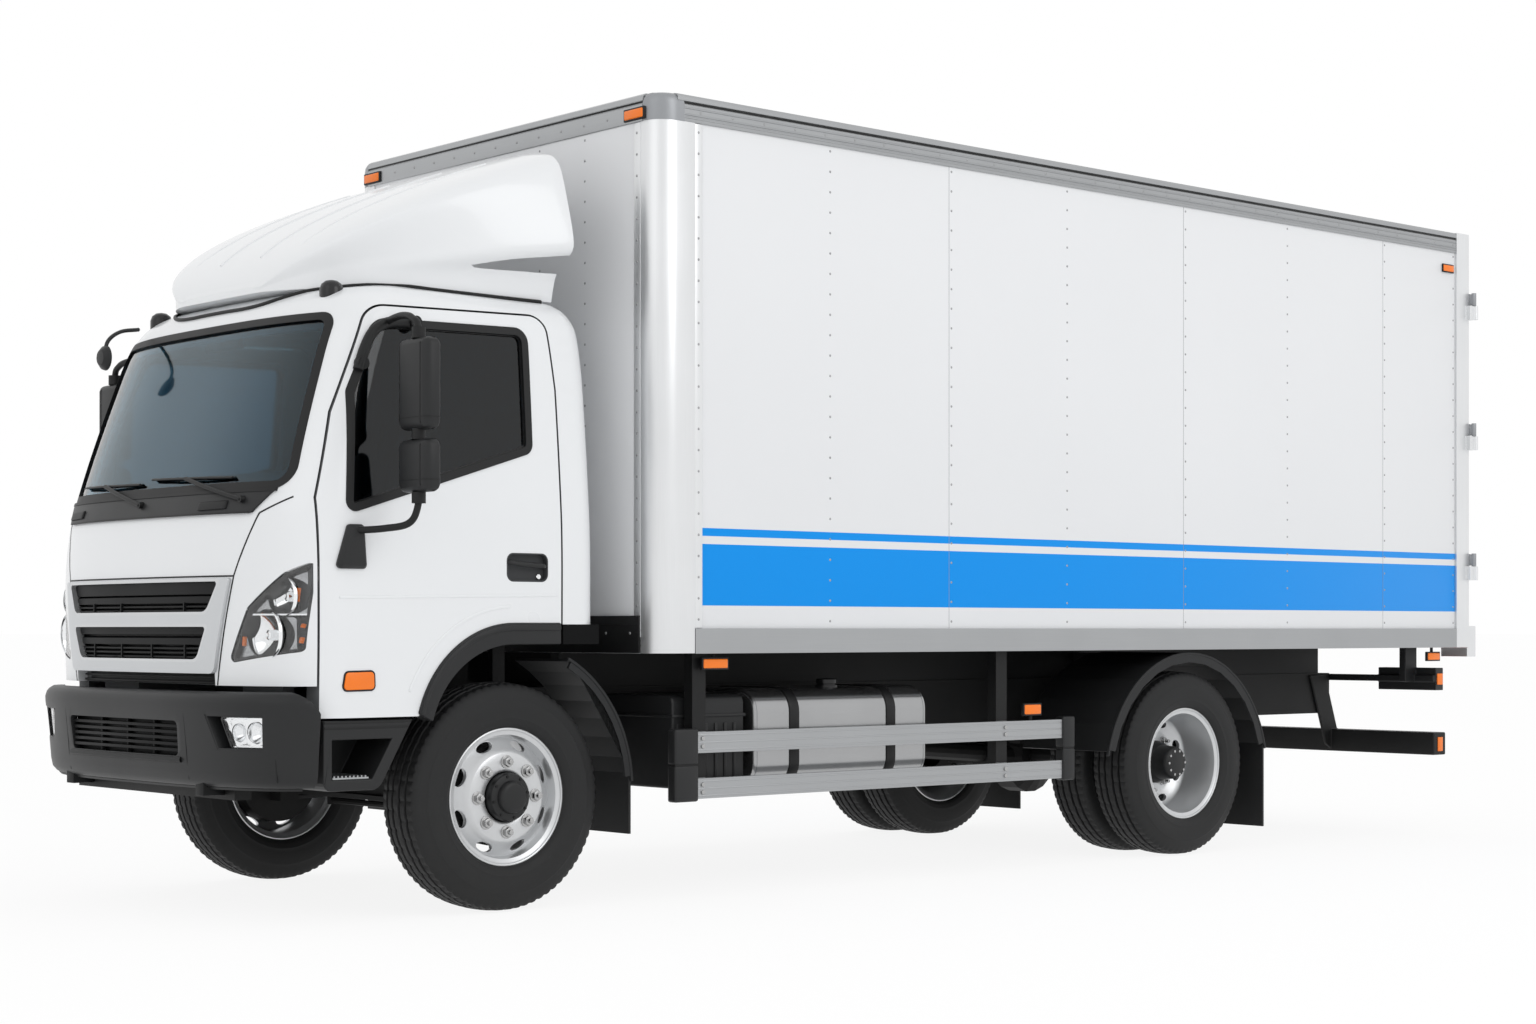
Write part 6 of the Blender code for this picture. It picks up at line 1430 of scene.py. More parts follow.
grooves = [box((-0.999, 0.602, 3.1645), (0.999, 0.6033, 3.1735)), box((-0.985, 0.5915, 1.098), (0.985, 0.593, 1.102))]
piece(grooves, "front_wall_grooves", "chassis", SEAL, bevel=0.0004)
columns = [((x, 0.6035, 1.16), (x, 0.6035, 3.07)) for x in (-0.62, -0.31, 0.0, 0.31, 0.62)]
rivets("front_wall_rivets", columns, FORWARD)
rivets("front_rail_rivets", [((-0.93, y, z), (0.93, y, z)) for y, z in ((0.5985, 3.128), (0.592, 1.065))], FORWARD,
    spacing=0.155, radius=0.006, height=0.003)

# %% [markdown]
# The roof is a thin skin over cross bows. The load floor is plywood on steel bearers. Small lamps mark the corners.

# %% Roof, floor and markers
roof = solid(prism(rectangle(-1.061, 0.6405, 1.061, 6.089), "Z", 3.172, 3.1985))
joined(roof, *[box((-1.055, y - 0.012, 3.19), (1.055, y + 0.012, 3.2025)) for y in (1.53, 2.62, 3.7, 4.78)],
        *[box((x - 0.02, 0.66, 3.162), (x + 0.02, 6.07, 3.18)) for x in (-0.55, 0.0, 0.55)])
finish(softened(roof, 0.0015), "roof_skin", "chassis", PLAIN_PAINT, ("box_roof",), "box_panel")
rivets("roof_rivets", [((-1.04, y, 3.2025), (1.04, y, 3.2025)) for y in (1.53, 2.62, 3.7, 4.78)], (0, 0, 0),
    spacing=0.08, height=0.0018)
from_frame("box_floor", CHASSIS, 0.002, 2, "floor_and_bearers")
floor_piece = bpy.data.objects["floor_and_bearers"]
floor_piece.data.materials.append(PROFILE_Y)
for face in floor_piece.data.polygons:
    face.material_index = 1 if abs(face.center.x) > 1.06 else 0
boards = [box((-1.045 + 0.3485 * k, 0.8, 1.1185), (-1.045 + 0.3485 * k + 0.3465, 6.085, 1.1205)) for k in range(6)]
piece(boards, "load_floor_plywood", "chassis", PLYWOOD, bevel=0.0005)


def marker_lamp(name, corner, other, axis):
    """An amber lens with a small step, on a black base. It faces along the given axis."""
    lo, hi = (Vector(end) for end in zip(*(sorted(pair) for pair in zip(corner, other))))
    piece(box(lo, hi), name + "_base", "chassis", SEAL, bevel=0.003)
    out = 0.004 if axis == 0 and lo.x + hi.x > 0 else -0.004
    step = Vector([0.0 if k == axis else 0.006 for k in range(3)])
    shift = Vector([out if k == axis else 0.0 for k in range(3)])
    piece(box(lo + step + shift, hi - step + shift), name + "_lens", "chassis", AMBER, bevel=0.006, segments=3)


for side, word in SIDES:
    s = side
    marker_lamp("front_top_marker_" + word, (s * 0.89, 0.59, 3.1), (s * 1.02, 0.602, 3.15), 1)
    marker_lamp("rear_top_marker_" + word, (s * 1.089, 5.965, 2.985), (s * 1.096, 6.07, 3.03), 0)
    marker_lamp("side_marker_front_" + word, (s * 1.055, 0.85, 0.918), (s * 1.07, 0.99, 0.968), 0)
    marker_lamp("side_marker_middle_" + word, (s * 1.055, 2.73, 0.692), (s * 1.07, 2.85, 0.748), 0)
    marker_lamp("side_marker_rear_" + word, (s * 1.055, 5.86, 0.912), (s * 1.07, 5.98, 0.962), 0)
    brackets = [swept([(s * 1.055, y, z), (s * 1.055, y, z_top)], 0.008, 8, 0.4) for y, z, z_top in
                ((0.92, 0.965, 0.995), (2.79, 0.672, 0.7), (5.92, 0.958, 0.995))]
    piece(brackets, "marker_brackets_" + word, "chassis", CHASSIS)

# %% [markdown]
# ## Rear doors and their portal
# Two leaves close the box. Each hangs on three strap hinges, is held by two lock rods with cams top and bottom, and
# shuts against a rubber seal. Handles lie across the rods at hand height.

# %% The portal and the doors
from_frame("rear_frame", PROFILE_Z, 0.003, 2, "rear_portal")
for side, word in SIDES:
    s, body = side, "box_door_" + word
    x0, x1 = sorted((s * 0.0045, s * 1.0165))
    piece(box((x0, 6.166, 1.128), (x1, 6.2025, 3.066)), "rear_leaf_" + word, body, PLAIN_PAINT,
        ("box_door_" + word,), "box_panel", bevel=0.002)
    edge = prism(rectangle(x0, 1.128, x1, 3.066), "Y", 6.199, 6.2045)
    hole = prism(rectangle(x0 + 0.022, 1.15, x1 - 0.022, 3.044), "Y", 6.1, 6.3)
    finish(softened(cut(solid(edge), hole), 0.0015), "leaf_edging_" + word, body, PROFILE_Z)
    rubber = prism(rounded(rectangle(x0 - 0.002, 1.124, x1 + 0.003, 3.07), 0.006), "Y", 6.176, 6.186)
    inner = prism(rectangle(x0 + 0.004, 1.132, x1 - 0.004, 3.062), "Y", 6.1, 6.3)
    finish(cut(solid(rubber), inner), "leaf_seal_" + word, body, SEAL)
    straps, pins = [], []
    for z in (1.42, 2.12, 2.82):
        near, far = sorted((s * 0.775, s * 1.118))
        outline = rounded(rectangle(near, z + 0.004, far, z + 0.066), 0.018)
        straps.append(prism(outline, "Y", 6.2055, 6.2155))
        straps.append(swept([(s * 1.122, 6.2165, z + 0.001), (s * 1.122, 6.2165, z + 0.069)], 0.0128, 16))
        pins += [(s * (0.8 + 0.05 * k), z + h) for k in range(4) for h in (0.018, 0.052)]
    rods = []
    for reach in (0.1, 0.44):
        bar_x = s * reach
        rods.append(swept([(bar_x, 6.225, 1.135), (bar_x, 6.225, 3.06)], 0.0118, 18))
        for z in (1.247, 1.6, 2.1, 2.6, 2.947):
            rods.append(prism(rounded(rectangle(bar_x - 0.03, z - 0.019, bar_x + 0.03, z + 0.019), 0.008), "Y",
                6.202, 6.2285))
        for z in (1.15, 3.045):
            rods.append(prism(rectangle(bar_x - 0.016, z - 0.014, bar_x + 0.024, z + 0.014), "Y", 6.206, 6.23))
    handles = []
    for reach in (0.1, 0.44):
        bar_x = s * reach
        grip = [(bar_x, 6.232, 1.7), (bar_x + s * 0.05, 6.234, 1.7), (bar_x + s * 0.2, 6.234, 1.695),
            (bar_x + s * 0.27, 6.234, 1.69)]
        handles.append(swept(smooth_path(grip), 0.009, 12, 0.6))
        handles.append(prism(rounded(rectangle(bar_x + s * 0.2 - 0.03, 1.665, bar_x + s * 0.2 + 0.03, 1.725), 0.01),
            "Y", 6.202, 6.226))
    finish(softened(solid(gathered(*straps)), 0.0015), "leaf_hinges_" + word, body, CASTING_GREY)
    piece(rods, "lock_rods_" + word, body, NUT, bevel=0.001)
    piece(handles, "lock_handles_" + word, body, NUT)
    bolts = [turned([(6.215, 0.0), (6.215, 0.008), (6.2185, 0.0075), (6.2195, 0.004), (6.2195, 0.0)], (px, 0.0, pz),
        12, "Y") for px, pz in pins]
    piece(bolts, "hinge_bolts_" + word, body, NUT)
    rubber_block = solid(gathered(box((s * 0.932, 6.2, 0.936), (s * 1.093, 6.2735, 1.097))))
    finish(softened(rubber_block, 0.008, 3), "dock_buffer_" + word, "chassis", MUD_FLAP)
    buffer_bolts = [turned([(6.268, 0.0), (6.268, 0.01), (6.2745, 0.009), (6.2745, 0.0)], (s * 1.012, 0.0, z), 16,
        "Y") for z in (0.975, 1.055)]
    piece(buffer_bolts, "dock_buffer_bolts_" + word, "chassis", NUT)
sill_rows = [((-1.0, 6.205, z), (1.0, 6.205, z)) for z in (1.03, 3.14)] + [((x, 6.205, 1.15), (x, 6.205, 3.06))
    for x in (-1.062, 1.062)]
rivets("portal_rivets", sill_rows, BACKWARD, spacing=0.1, radius=0.006, height=0.003)
progress("box done")

# %% [markdown]
# ## Tyres and wheels
# A truck tyre for town work has four straight grooves, ribs with fine cuts across them, and a ribbed shoulder. The
# tread is real relief: the tyre is turned from its section in fine steps, and every few steps a rib or shoulder dips.
# Raised rings decorate the sidewall, with no lettering. All six tyres share the same shape.

# %% Tyres
def tyre_section():
    """Half of the section, from the tread's middle to the bead, as (along, radius, kind)."""
    half, top = 0.1215, 0.4395
    crown = lambda a: top - 0.0075 * (a / 0.093) ** 2
    points = [(0.0, crown(0.0), "rib")]
    for middle in (0.022, 0.06):
        w = 0.0055
        points += [(middle - w - 0.002, crown(middle - w), "rib"), (middle - w, crown(middle) - 0.004, "wall"),
            (middle - w * 0.7, crown(middle) - 0.015, "floor"), (middle + w * 0.7, crown(middle) - 0.015, "floor"),
            (middle + w, crown(middle) - 0.004, "wall"), (middle + w + 0.002, crown(middle + w), "rib")]
    points += [(0.076, crown(0.076), "shoulder"), (0.092, crown(0.092), "shoulder"), (0.099, 0.4265, "shoulder"),
               (0.106, 0.413, "edge"), (0.111, 0.399, "side"), (0.1165, 0.379, "side")]
    points += [(0.1185, 0.374, "side"), (0.1195, 0.3725, "side"), (0.12, 0.369, "side"), (half, 0.356, "side"),
        (0.1222, 0.34, "side"), (0.1215, 0.32, "side"), (0.119, 0.304, "side"), (0.1195, 0.302, "side"),
        (0.1185, 0.2995, "side"), (0.115, 0.287, "side"), (0.108, 0.274, "side"), (0.1015, 0.269, "side"),
        (0.1, 0.2655, "side"), (0.0955, 0.264, "side"), (0.088, 0.264, "side"), (0.0878, 0.25, "side")]
    return points


def make_tyre(name, centre, body, node_name):
    half = tyre_section()
    full = [(-a, r, kind) for a, r, kind in reversed(half[1:])] + half
    steps = 216

    def dip(k, n):
        along, _, kind = full[n]
        if kind == "rib" and abs(along) < 0.07:
            return -0.0035 if k % 6 == (0 if along > 0 else 3) else 0.0
        if kind == "shoulder":
            return -0.005 if k % 3 == 0 else 0.0
        if kind == "edge":
            return -0.002 if k % 3 == 0 else 0.0
        return 0.0
    shape = turned([(a, r) for a, r, _ in full], centre, steps, "X", dip)
    return piece(shape, name, body, RUBBER, (node_name,), "tyre_rubber", angle=28)


for side, word in SIDES:
    make_tyre("tyre_front_" + word, (side * FRONT_WHEEL_X, 0, TYRE_R), "front_wheel_" + word, "front_tyre_" + word)
    make_tyre("tyre_rear_outer_" + word, (side * TWIN_OUTER_X, WHEELBASE, TYRE_R), "rear_wheel_" + word,
        "rear_tyre_outer_" + word)
    make_tyre("tyre_rear_inner_" + word, (side * TWIN_INNER_X, WHEELBASE, TYRE_R), "rear_wheel_" + word,
        "rear_tyre_inner_" + word)
print("tyre triangles", made[-1])

# %% [markdown]
# The wheels are pressed steel discs in silver paint. The front disc stands out and has eight oval hand holes. The
# rear one is the same disc turned inwards, which gives the deep dish and leaves room for the second wheel of the
# pair. Eight nuts on studs hold each wheel to a black hub with a cap.

# %% The ring of nuts
def ring_of_nuts_tree():
    """Geometry Nodes: a circle of points, with a hexagonal nut, its washer and stud on each."""
    tree = bpy.data.node_groups.new("ring_of_nuts", "GeometryNodeTree")
    add_socket(tree, "Geometry", "Geometry")
    add_socket(tree, "Count", "Int", 8)
    for label, value in (("Circle Radius", 0.1375), ("Nut Radius", 0.02), ("Nut Height", 0.02),
            ("Stud Length", 0.034)):
        add_socket(tree, label, "Float", value)
    add_socket(tree, "Finish", "Material", NUT)
    add_socket(tree, "Geometry", "Geometry", in_out="OUTPUT")
    given, result = tree.nodes.new("NodeGroupInput"), tree.nodes.new("NodeGroupOutput")
    circle = node(tree, "GeometryNodeMeshCircle",
        {"Vertices": given.outputs["Count"], "Radius": given.outputs["Circle Radius"]})

    def part(sides, radius, height, factor=1.0):
        wide = maths(tree, "MULTIPLY", given.outputs[radius], factor)
        shape = node(tree, "GeometryNodeMeshCylinder", {"Vertices": sides, "Radius": wide, "Depth": height})
        raised = maths(tree, "MULTIPLY", height, 0.5)
        place = node(tree, "ShaderNodeCombineXYZ", {2: raised})
        return node(tree, "GeometryNodeTransform", {"Geometry": shape.outputs[0],
            "Translation": place.outputs[0]}).outputs[0]
    together = tree.nodes.new("GeometryNodeJoinGeometry")
    for shape in (part(6, "Nut Radius", given.outputs["Nut Height"]), part(16, "Nut Radius", 0.005, 1.3),
                  part(12, "Nut Radius", given.outputs["Stud Length"], 0.5)):
        tree.links.new(shape, together.inputs[0])
    placed = node(tree, "GeometryNodeInstanceOnPoints",
        {"Points": circle.outputs[0], "Instance": together.outputs[0]})
    real = node(tree, "GeometryNodeRealizeInstances", {0: placed.outputs[0]})
    painted = node(tree, "GeometryNodeSetMaterial",
        {"Geometry": real.outputs[0], "Material": given.outputs["Finish"]})
    tree.links.new(painted.outputs[0], result.inputs[0])
    return tree


NUT_RING = ring_of_nuts_tree()


def nuts(name, centre, side, body, circle=0.1345, nut=0.02, height=0.022, stud=0.036):
    obj = scene_object(name, bpy.data.meshes.new(name))
    with_nodes(obj, NUT_RING, {"Count": 8, "Circle Radius": circle, "Nut Radius": nut, "Nut Height": height,
        "Stud Length": stud, "Finish": NUT})
    obj.data.transform(Matrix.Translation(centre) @ Matrix.Rotation(side * RIGHT_ANGLE, 4, "Y"))
    softened(obj, 0.0012)
    return finish(obj, name, body, None, slot="aluminium")

# %% [markdown]
# A disc is turned from its profile and cut by a ring of ovals.

# %% Discs and rims
def outwards(profile, side):
    """A profile of (along, radius) that faces out on the given side."""
    return [(side * along, radius) for along, radius in profile]


def hand_holes(centre, side, radius, count, long, wide, x_from, x_to):
    """Oval cutters round a wheel's disc."""
    cutters = []
    for k in range(count):
        a = 2 * pi * (k + 0.5) / count
        ring = []
        for m in range(20):
            t = 2 * pi * m / 20
            u, v = long / 2 * cos(t), wide / 2 * sin(t)
            ring.append((centre[1] + (radius + v) * cos(a) - u * sin(a), centre[2] + (radius + v) * sin(a)
                + u * cos(a)))
        cutters.append(prism(ring, "X", centre[0] + side * x_from, centre[0] + side * x_to))
    return cutters


def dressed_wheel(name, profile, centre, side, body, replaces, holes):
    shape = solid(turned(outwards(profile, side), centre, 96))
    cut(shape, *hand_holes(centre, side, *holes))
    return finish(softened(shape, 0.0018, 2, 32), name, body, WHEEL, replaces, "wheel_silver", angle=40)


def rim(middle=0.0):
    """The rim's outer side, from the inner flange to the outer one, as a round-lipped profile."""
    half = [(0.03, 0.235), (0.06, 0.24), (0.0875, 0.2465), (0.0885, 0.257), (0.0905, 0.2625), (0.0955, 0.2655),
        (0.1005, 0.264), (0.102, 0.26), (0.1, 0.256), (0.096, 0.2545)]
    return [(middle - a, r) for a, r in reversed(half)] + [(middle + a, r) for a, r in half]

# %% [markdown]
# Discs and hubs are turned from their sections, which are lists of (along, radius) measured from the tyre's middle.

# %% The wheels
front_profile = rim() + [(0.093, 0.25), (0.09, 0.238), (0.064, 0.232), (0.048, 0.229), (0.05, 0.224), (0.06, 0.206),
    (0.078, 0.186), (0.092, 0.174), (0.0965, 0.166), (0.0965, 0.108), (0.093, 0.1), (0.086, 0.096), (0.078, 0.096),
    (0.078, 0.162), (0.066, 0.178), (0.046, 0.2), (0.032, 0.22), (0.026, 0.229), (-0.04, 0.227), (-0.084, 0.236),
    (-0.09, 0.248)]
twin_at = TWIN_INNER_X - TWIN_OUTER_X
rear_profile = rim() + [(0.093, 0.25), (0.09, 0.2385), (0.064, 0.232), (0.03, 0.227), (-0.02, 0.225),
    (-0.07, 0.223), (-0.082, 0.217), (-0.096, 0.198), (-0.108, 0.178), (-0.114, 0.169), (-0.1165, 0.16),
    (-0.1165, 0.108), (-0.122, 0.106), (-0.132, 0.106), (-0.132, 0.164), (-0.124, 0.179), (-0.11, 0.205),
    (-0.096, 0.232), (-0.09, 0.248)]
inner_profile = rim(twin_at) + [(twin_at + 0.093, 0.25), (twin_at + 0.09, 0.2385), (twin_at + 0.064, 0.232),
    (twin_at + 0.05, 0.22), (-0.17, 0.19), (-0.155, 0.176), (-0.15, 0.165), (-0.15, 0.108), (-0.1345, 0.108),
    (-0.133, 0.106), (-0.172, 0.106), (-0.172, 0.165), (-0.19, 0.186), (-0.245, 0.205), (-0.345, 0.226),
    (-0.367, 0.248)]
for side, word in SIDES:
    centre = (side * FRONT_WHEEL_X, 0.0, TYRE_R)
    body = "front_wheel_" + word
    dressed_wheel("front_disc_" + word, front_profile, centre, side, body, ("front_wheel_" + word,),
        (0.205, 8, 0.074, 0.034, 0.0, 0.2))
    nuts("front_nuts_" + word, (centre[0] + side * 0.0965, 0, TYRE_R), side, body)
    hub_shape = [(0.08, 0.0), (0.08, 0.094), (0.118, 0.092), (0.124, 0.088), (0.127, 0.078), (0.129, 0.064),
        (0.146, 0.06), (0.151, 0.055), (0.1535, 0.045), (0.1545, 0.0)]
    piece(turned(outwards(hub_shape, side), centre, 64), "front_hub_" + word, body, HUB)
    flange_bolts = []
    for k in range(8):
        a = 2 * pi * (k + 0.25) / 8
        flange_bolts.append(turned([(side * 0.12, 0.0), (side * 0.12, 0.0065), (side * 0.13, 0.006),
            (side * 0.13, 0.0)], (centre[0], 0.08 * cos(a), TYRE_R + 0.08 * sin(a)), 6))
    piece(flange_bolts, "front_hub_bolts_" + word, body, CASTING)
    brake = [(-0.062, 0.06), (-0.062, 0.188), (0.02, 0.192), (0.024, 0.15), (0.06, 0.12), (0.06, 0.06)]
    piece(turned(outwards(brake, side), centre, 64), "front_brake_drum_" + word, body, CASTING)
    centre = (side * TWIN_OUTER_X, WHEELBASE, TYRE_R)
    body = "rear_wheel_" + word
    dressed_wheel("rear_disc_" + word, rear_profile, centre, side, body, ("rear_wheel_" + word,),
        (0.192, 8, 0.056, 0.03, -0.2, 0.0))
    piece(turned(outwards(inner_profile, side), centre, 96), "rear_inner_disc_" + word, body, WHEEL,
        slot="wheel_silver")
    nuts("rear_nuts_" + word, (centre[0] - side * 0.1165, WHEELBASE, TYRE_R), side, body, 0.1375, 0.0165,
        0.022, 0.042)
    hub_shape = [(-0.128, 0.0), (-0.128, 0.104), (-0.07, 0.102), (-0.04, 0.09), (-0.034, 0.084), (0.03, 0.078),
        (0.044, 0.074), (0.052, 0.066), (0.0575, 0.052), (0.0595, 0.0)]
    piece(turned(outwards(hub_shape, side), centre, 64), "rear_hub_" + word, body, HUB)
    hub_bolts = []
    for k in range(10):
        a = 2 * pi * k / 10
        hub_bolts.append(turned([(side * 0.046, 0.0), (side * 0.046, 0.007), (side * 0.0575, 0.0065),
            (side * 0.0585, 0.0)], (centre[0], WHEELBASE + 0.058 * cos(a), TYRE_R + 0.058 * sin(a)), 6))
    piece(hub_bolts, "rear_hub_bolts_" + word, body, NUT)
    drum = [(-0.3, 0.09), (-0.3, 0.186), (-0.18, 0.186), (-0.172, 0.14), (-0.14, 0.11), (-0.14, 0.09)]
    piece(turned(outwards(drum, side), centre, 64), "rear_brake_drum_" + word, body, CASTING)
progress("wheels done")

# %% [markdown]
# ## Bumper
# The bumper is one grained plastic moulding that wraps round both corners. Its section has a soft belly and a ledge
# on top, and its upper rear corners are rounded off so that the tilting cab clears them. It holds an air opening
# with dark bars and two fog lamps in recesses.

# %% The bumper's plan
BUMPER_HALF, BUMPER_SIDE_Y, BUMPER_DEPTH = 0.972, -0.74, 0.39


def bumper_y(x, out=0.0):
    """Where the bumper's face is, seen from the front."""
    return BUMPER_SIDE_Y - (BUMPER_DEPTH + out) * (1 - (x / BUMPER_HALF) ** 3) ** (1 / 3)


def bumper_strip(profile, steps=36, last=81.2):
    """A closed moulding along the bumper's plan. The profile is (height, how far out, share kept at the sides)."""
    sections = []
    for k in range(-steps, steps + 1):
        t = radians(last) * k / steps
        s, c = copysign(abs(sin(t)) ** (2 / 3.0), k), cos(t) ** (2 / 3.0)
        side = (abs(k) / steps) ** 2
        ring = []
        for z, out, keep in profile:
            shift = out * (1 + (keep - 1) * side)
            y = -0.856 if abs(k) == steps and last > 80 else BUMPER_SIDE_Y - (BUMPER_DEPTH + shift) * c
            ring.append(((BUMPER_HALF + shift) * s, y, z))
        sections.append(ring)
    return loft(sections)


def swing_cut(side):
    edge = arc((-1.05, 0.66), 0.226, 24, 62, 16)
    return prism(edge + [(edge[-1][0], 0.9), (-0.8, 0.9), (-0.8, edge[0][1])], "X", side * 0.86, side * 1.1)

# %% [markdown]
# The moulding's section runs once round: outside from the bottom up, then back down inside.

# %% The bumper
FOG_POCKET = [(0.6, 0.772), (0.862, 0.772), (0.852, 0.645), (0.655, 0.645)]
outer = [(0.506, -0.034, 1), (0.512, -0.024, 1), (0.53, -0.009, 1), (0.562, -0.003, 1), (0.6, 0.0, 1),
    (0.64, 0.003, 1), (0.68, 0.007, 1), (0.74, 0.013, 1), (0.79, 0.0185, 1), (0.812, 0.0195, 1), (0.832, 0.0135, 1),
    (0.844, 0.004, 1), (0.854, -0.012, 1)]
inner = [(0.854, -0.074, 0.22), (0.844, -0.074, 0.22), (0.838, -0.019, 0.5), (0.8, -0.01, 0.5), (0.6, -0.029, 0.5),
    (0.506, -0.049, 0.8)]
bumper = solid(bumper_strip(outer + inner))
mouth = rounded([(-0.42, 0.615), (0.42, 0.615), (0.43, 0.745), (-0.43, 0.745)], 0.02)
cut(bumper, prism(mouth, "Y", -1.3, -1.0), *[swing_cut(side) for side, _ in SIDES],
        *[prism(flipped(FOG_POCKET, side), "Y", -1.3, -0.9) for side, _ in SIDES])
pocket_trays = []
for side, _ in SIDES:
    tray = within(solid(bumper_strip([(0.62, 0.0, 1), (0.8, 0.0165, 1), (0.8, -0.062, 1), (0.62, -0.062, 1)], 36,
        75)), prism(flipped(grown(FOG_POCKET, 0.004), side), "Y", -1.3, -0.8))
    cut(tray, prism(flipped(grown(FOG_POCKET, -0.006), side), "Y", -1.3, -0.935))
    pocket_trays.append(tray)
for tray in pocket_trays:
    joined(bumper, tray)
finish(softened(bumper, 0.0025, 2, 42), "bumper_moulding", "chassis", BUMPER, ("front_bumper",),
    "black_plastic", angle=38)
ledge = bumper_strip([(0.59, 0.001, 1), (0.596, 0.008, 1), (0.604, 0.009, 1), (0.611, 0.004, 1),
    (0.614, -0.012, 1)], 30, 17.5)
valance = bumper_strip([(0.506, -0.032, 1), (0.497, -0.04, 1), (0.497, -0.06, 1), (0.515, -0.05, 1)], 36, 74)
piece(gathered(ledge, valance), "bumper_ledge_and_valance", "chassis", SEAL)
bars = [box((-0.428, -1.118, z - 0.006), (0.428, -1.094, z + 0.006)) for z in (0.636, 0.658, 0.68, 0.702, 0.724)]
bars += [box((x - 0.006, -1.108, 0.612), (x + 0.006, -1.09, 0.748)) for x in (-0.21, 0.0, 0.21)]
bars.append(box((-0.455, -1.089, 0.6), (0.455, -1.084, 0.76)))
stays = [box((side * 0.49, -1.088, 0.472), (side * 0.55, -1.001, 0.558)) for side, _ in SIDES]
piece(gathered(*bars, *stays), "bumper_bars", "chassis", LOUVRE, bevel=0.002)
seams = [loft([[(side * x, bumper_y(x, d), z)
    for x, d in ((at - 0.0016, out), (at + 0.0016, out), (at, out - 0.006))]
    for z, out in ((0.53, -0.0085), (0.6, 0.0008), (0.68, 0.0078), (0.79, 0.0192), (0.83, 0.0148))])
    for side, _ in SIDES for at in (0.475, 0.885)]
piece(seams, "bumper_joints", "chassis", SEAL)

# %% [markdown]
# Each fog lamp fills its recess with a lens, a dark ring and a chrome body with two round dishes.

# %% Fog lamps
def fog_lamp_sheet(side, more, out, thick):
    """A sheet of the fog lamp: it follows the bumper's bend, behind its face."""
    sheet = solid(bumper_strip([(0.62, out, 1), (0.8, out + 0.0165, 1), (0.8, out - thick, 1),
        (0.62, out - thick, 1)], 60, 75))
    return within(sheet, prism(flipped(rounded(grown(FOG_LENS, more), 0.014), side), "Y", -1.3, -0.8))


FOG_LENS = [(0.672, 0.762), (0.852, 0.762), (0.843, 0.655), (0.712, 0.655)]
for side, word in SIDES:
    finish(fog_lamp_sheet(side, 0.0, -0.014, 0.02), "fog_lamp_lens_" + word, "chassis", CLEAR_LENS, slot="lamp_clear")
    ring = cut(fog_lamp_sheet(side, 0.007, -0.012, 0.05), fog_lamp_sheet(side, 0.001, 0.1, 0.2))
    finish(softened(ring, 0.002), "fog_lamp_ring_" + word, "chassis", GLOSSY_BLACK)
    bowl = fog_lamp_sheet(side, 0.0005, -0.038, 0.04)
    dish = [turned([(-0.2, 0.0), (-0.2, r), (0.0, r), (0.02, r * 0.5), (0.022, 0.0)],
        (side * x, bumper_y(x) + 0.036, 0.708), 40, "Y") for x, r in ((0.8, 0.041), (0.728, 0.034))]
    finish(softened(cut(bowl, *dish), 0.0015), "fog_lamp_reflector_" + word, "chassis", CHROME)

# %% [markdown]
# ## Under the truck
# The ladder frame, springs, axles, engine, tank and guards keep the imported shapes, because these are their real
# forms. Their edges are rounded and they get their own finishes. Small parts that the imported model leaves out are
# added: straps and a filler on the tank, ribs on the guard planks, lenses in the tail lamps and reflectors.

# %% Frame, axles, tank, guards and mudguards
for name in ("frame", "front_axle", "rear_axle", "tie_rod"):
    from_frame(name, CHASSIS if name == "frame" else CASTING, 0.002)
from_frame("powertrain", CASTING, 0.008, 3)
for side, word in SIDES:
    from_frame("knuckle_" + word, CASTING, 0.002)
    for kind in ("front_mudguard_", "rear_mudguard_"):
        from_frame(kind + word, MUDGUARD, 0.0025)
    guard = from_frame("side_guard_" + word, PROFILE_Y, 0.004, 3)
    guard.data.materials.append(CHASSIS)
    for face in guard.data.polygons:
        x, y, z = face.center
        plank = abs(x) > 1.0345 and 0.84 < y + MIDDLE < 2.99 and (0.401 < z < 0.485 or 0.584 < z < 0.671)
        face.material_index = 0 if plank else 1
    s = side
    ribs = [box((s * 1.0595, 0.835, z - 0.003), (s * 1.0625, 2.995, z + 0.003))
            for z in (0.598, 0.6275, 0.657, 0.414, 0.443, 0.472)]
    piece(ribs, "guard_ribs_" + word, "chassis", PROFILE_Y, bevel=0.001)
    caps = [box((s * 1.016, y0, z0), (s * 1.0695, y1, z1))
            for y0, y1 in ((0.712, 0.834), (2.997, 3.078)) for z0, z1 in ((0.392, 0.538), (0.541, 0.684))]
    piece(caps, "guard_end_caps_" + word, "chassis", BUMPER, bevel=0.01, segments=3)
    bolts = [swept([(s * 1.058, y, z), (s * 1.066, y, z)], 0.009, 12) for y in (0.86, 2.62)
        for z in (0.612, 0.643, 0.428, 0.458)]
    piece(bolts, "guard_bolts_" + word, "chassis", NUT, bevel=0.001)
    lips = [prism(arc((WHEELBASE, 0.37), 0.602, 12, 168, 40)
        + list(reversed(arc((WHEELBASE, 0.37), 0.59, 12, 168, 40))), "X", s * 1.076, s * 1.09),
        prism(arc((0.0, 0.45), 0.587, 3, 63, 20) + list(reversed(arc((0.0, 0.45), 0.574, 3, 63, 20))), "X",
        s * 0.948, s * 0.963)]
    piece(lips, "mudguard_rolled_edges_" + word, "chassis", MUDGUARD, bevel=0.004, segments=3)

# %% [markdown]
# The tank is a rounded section pushed along, closed by slightly smaller ends, and two straps hold it. The tail lamps
# get one lens for each colour.

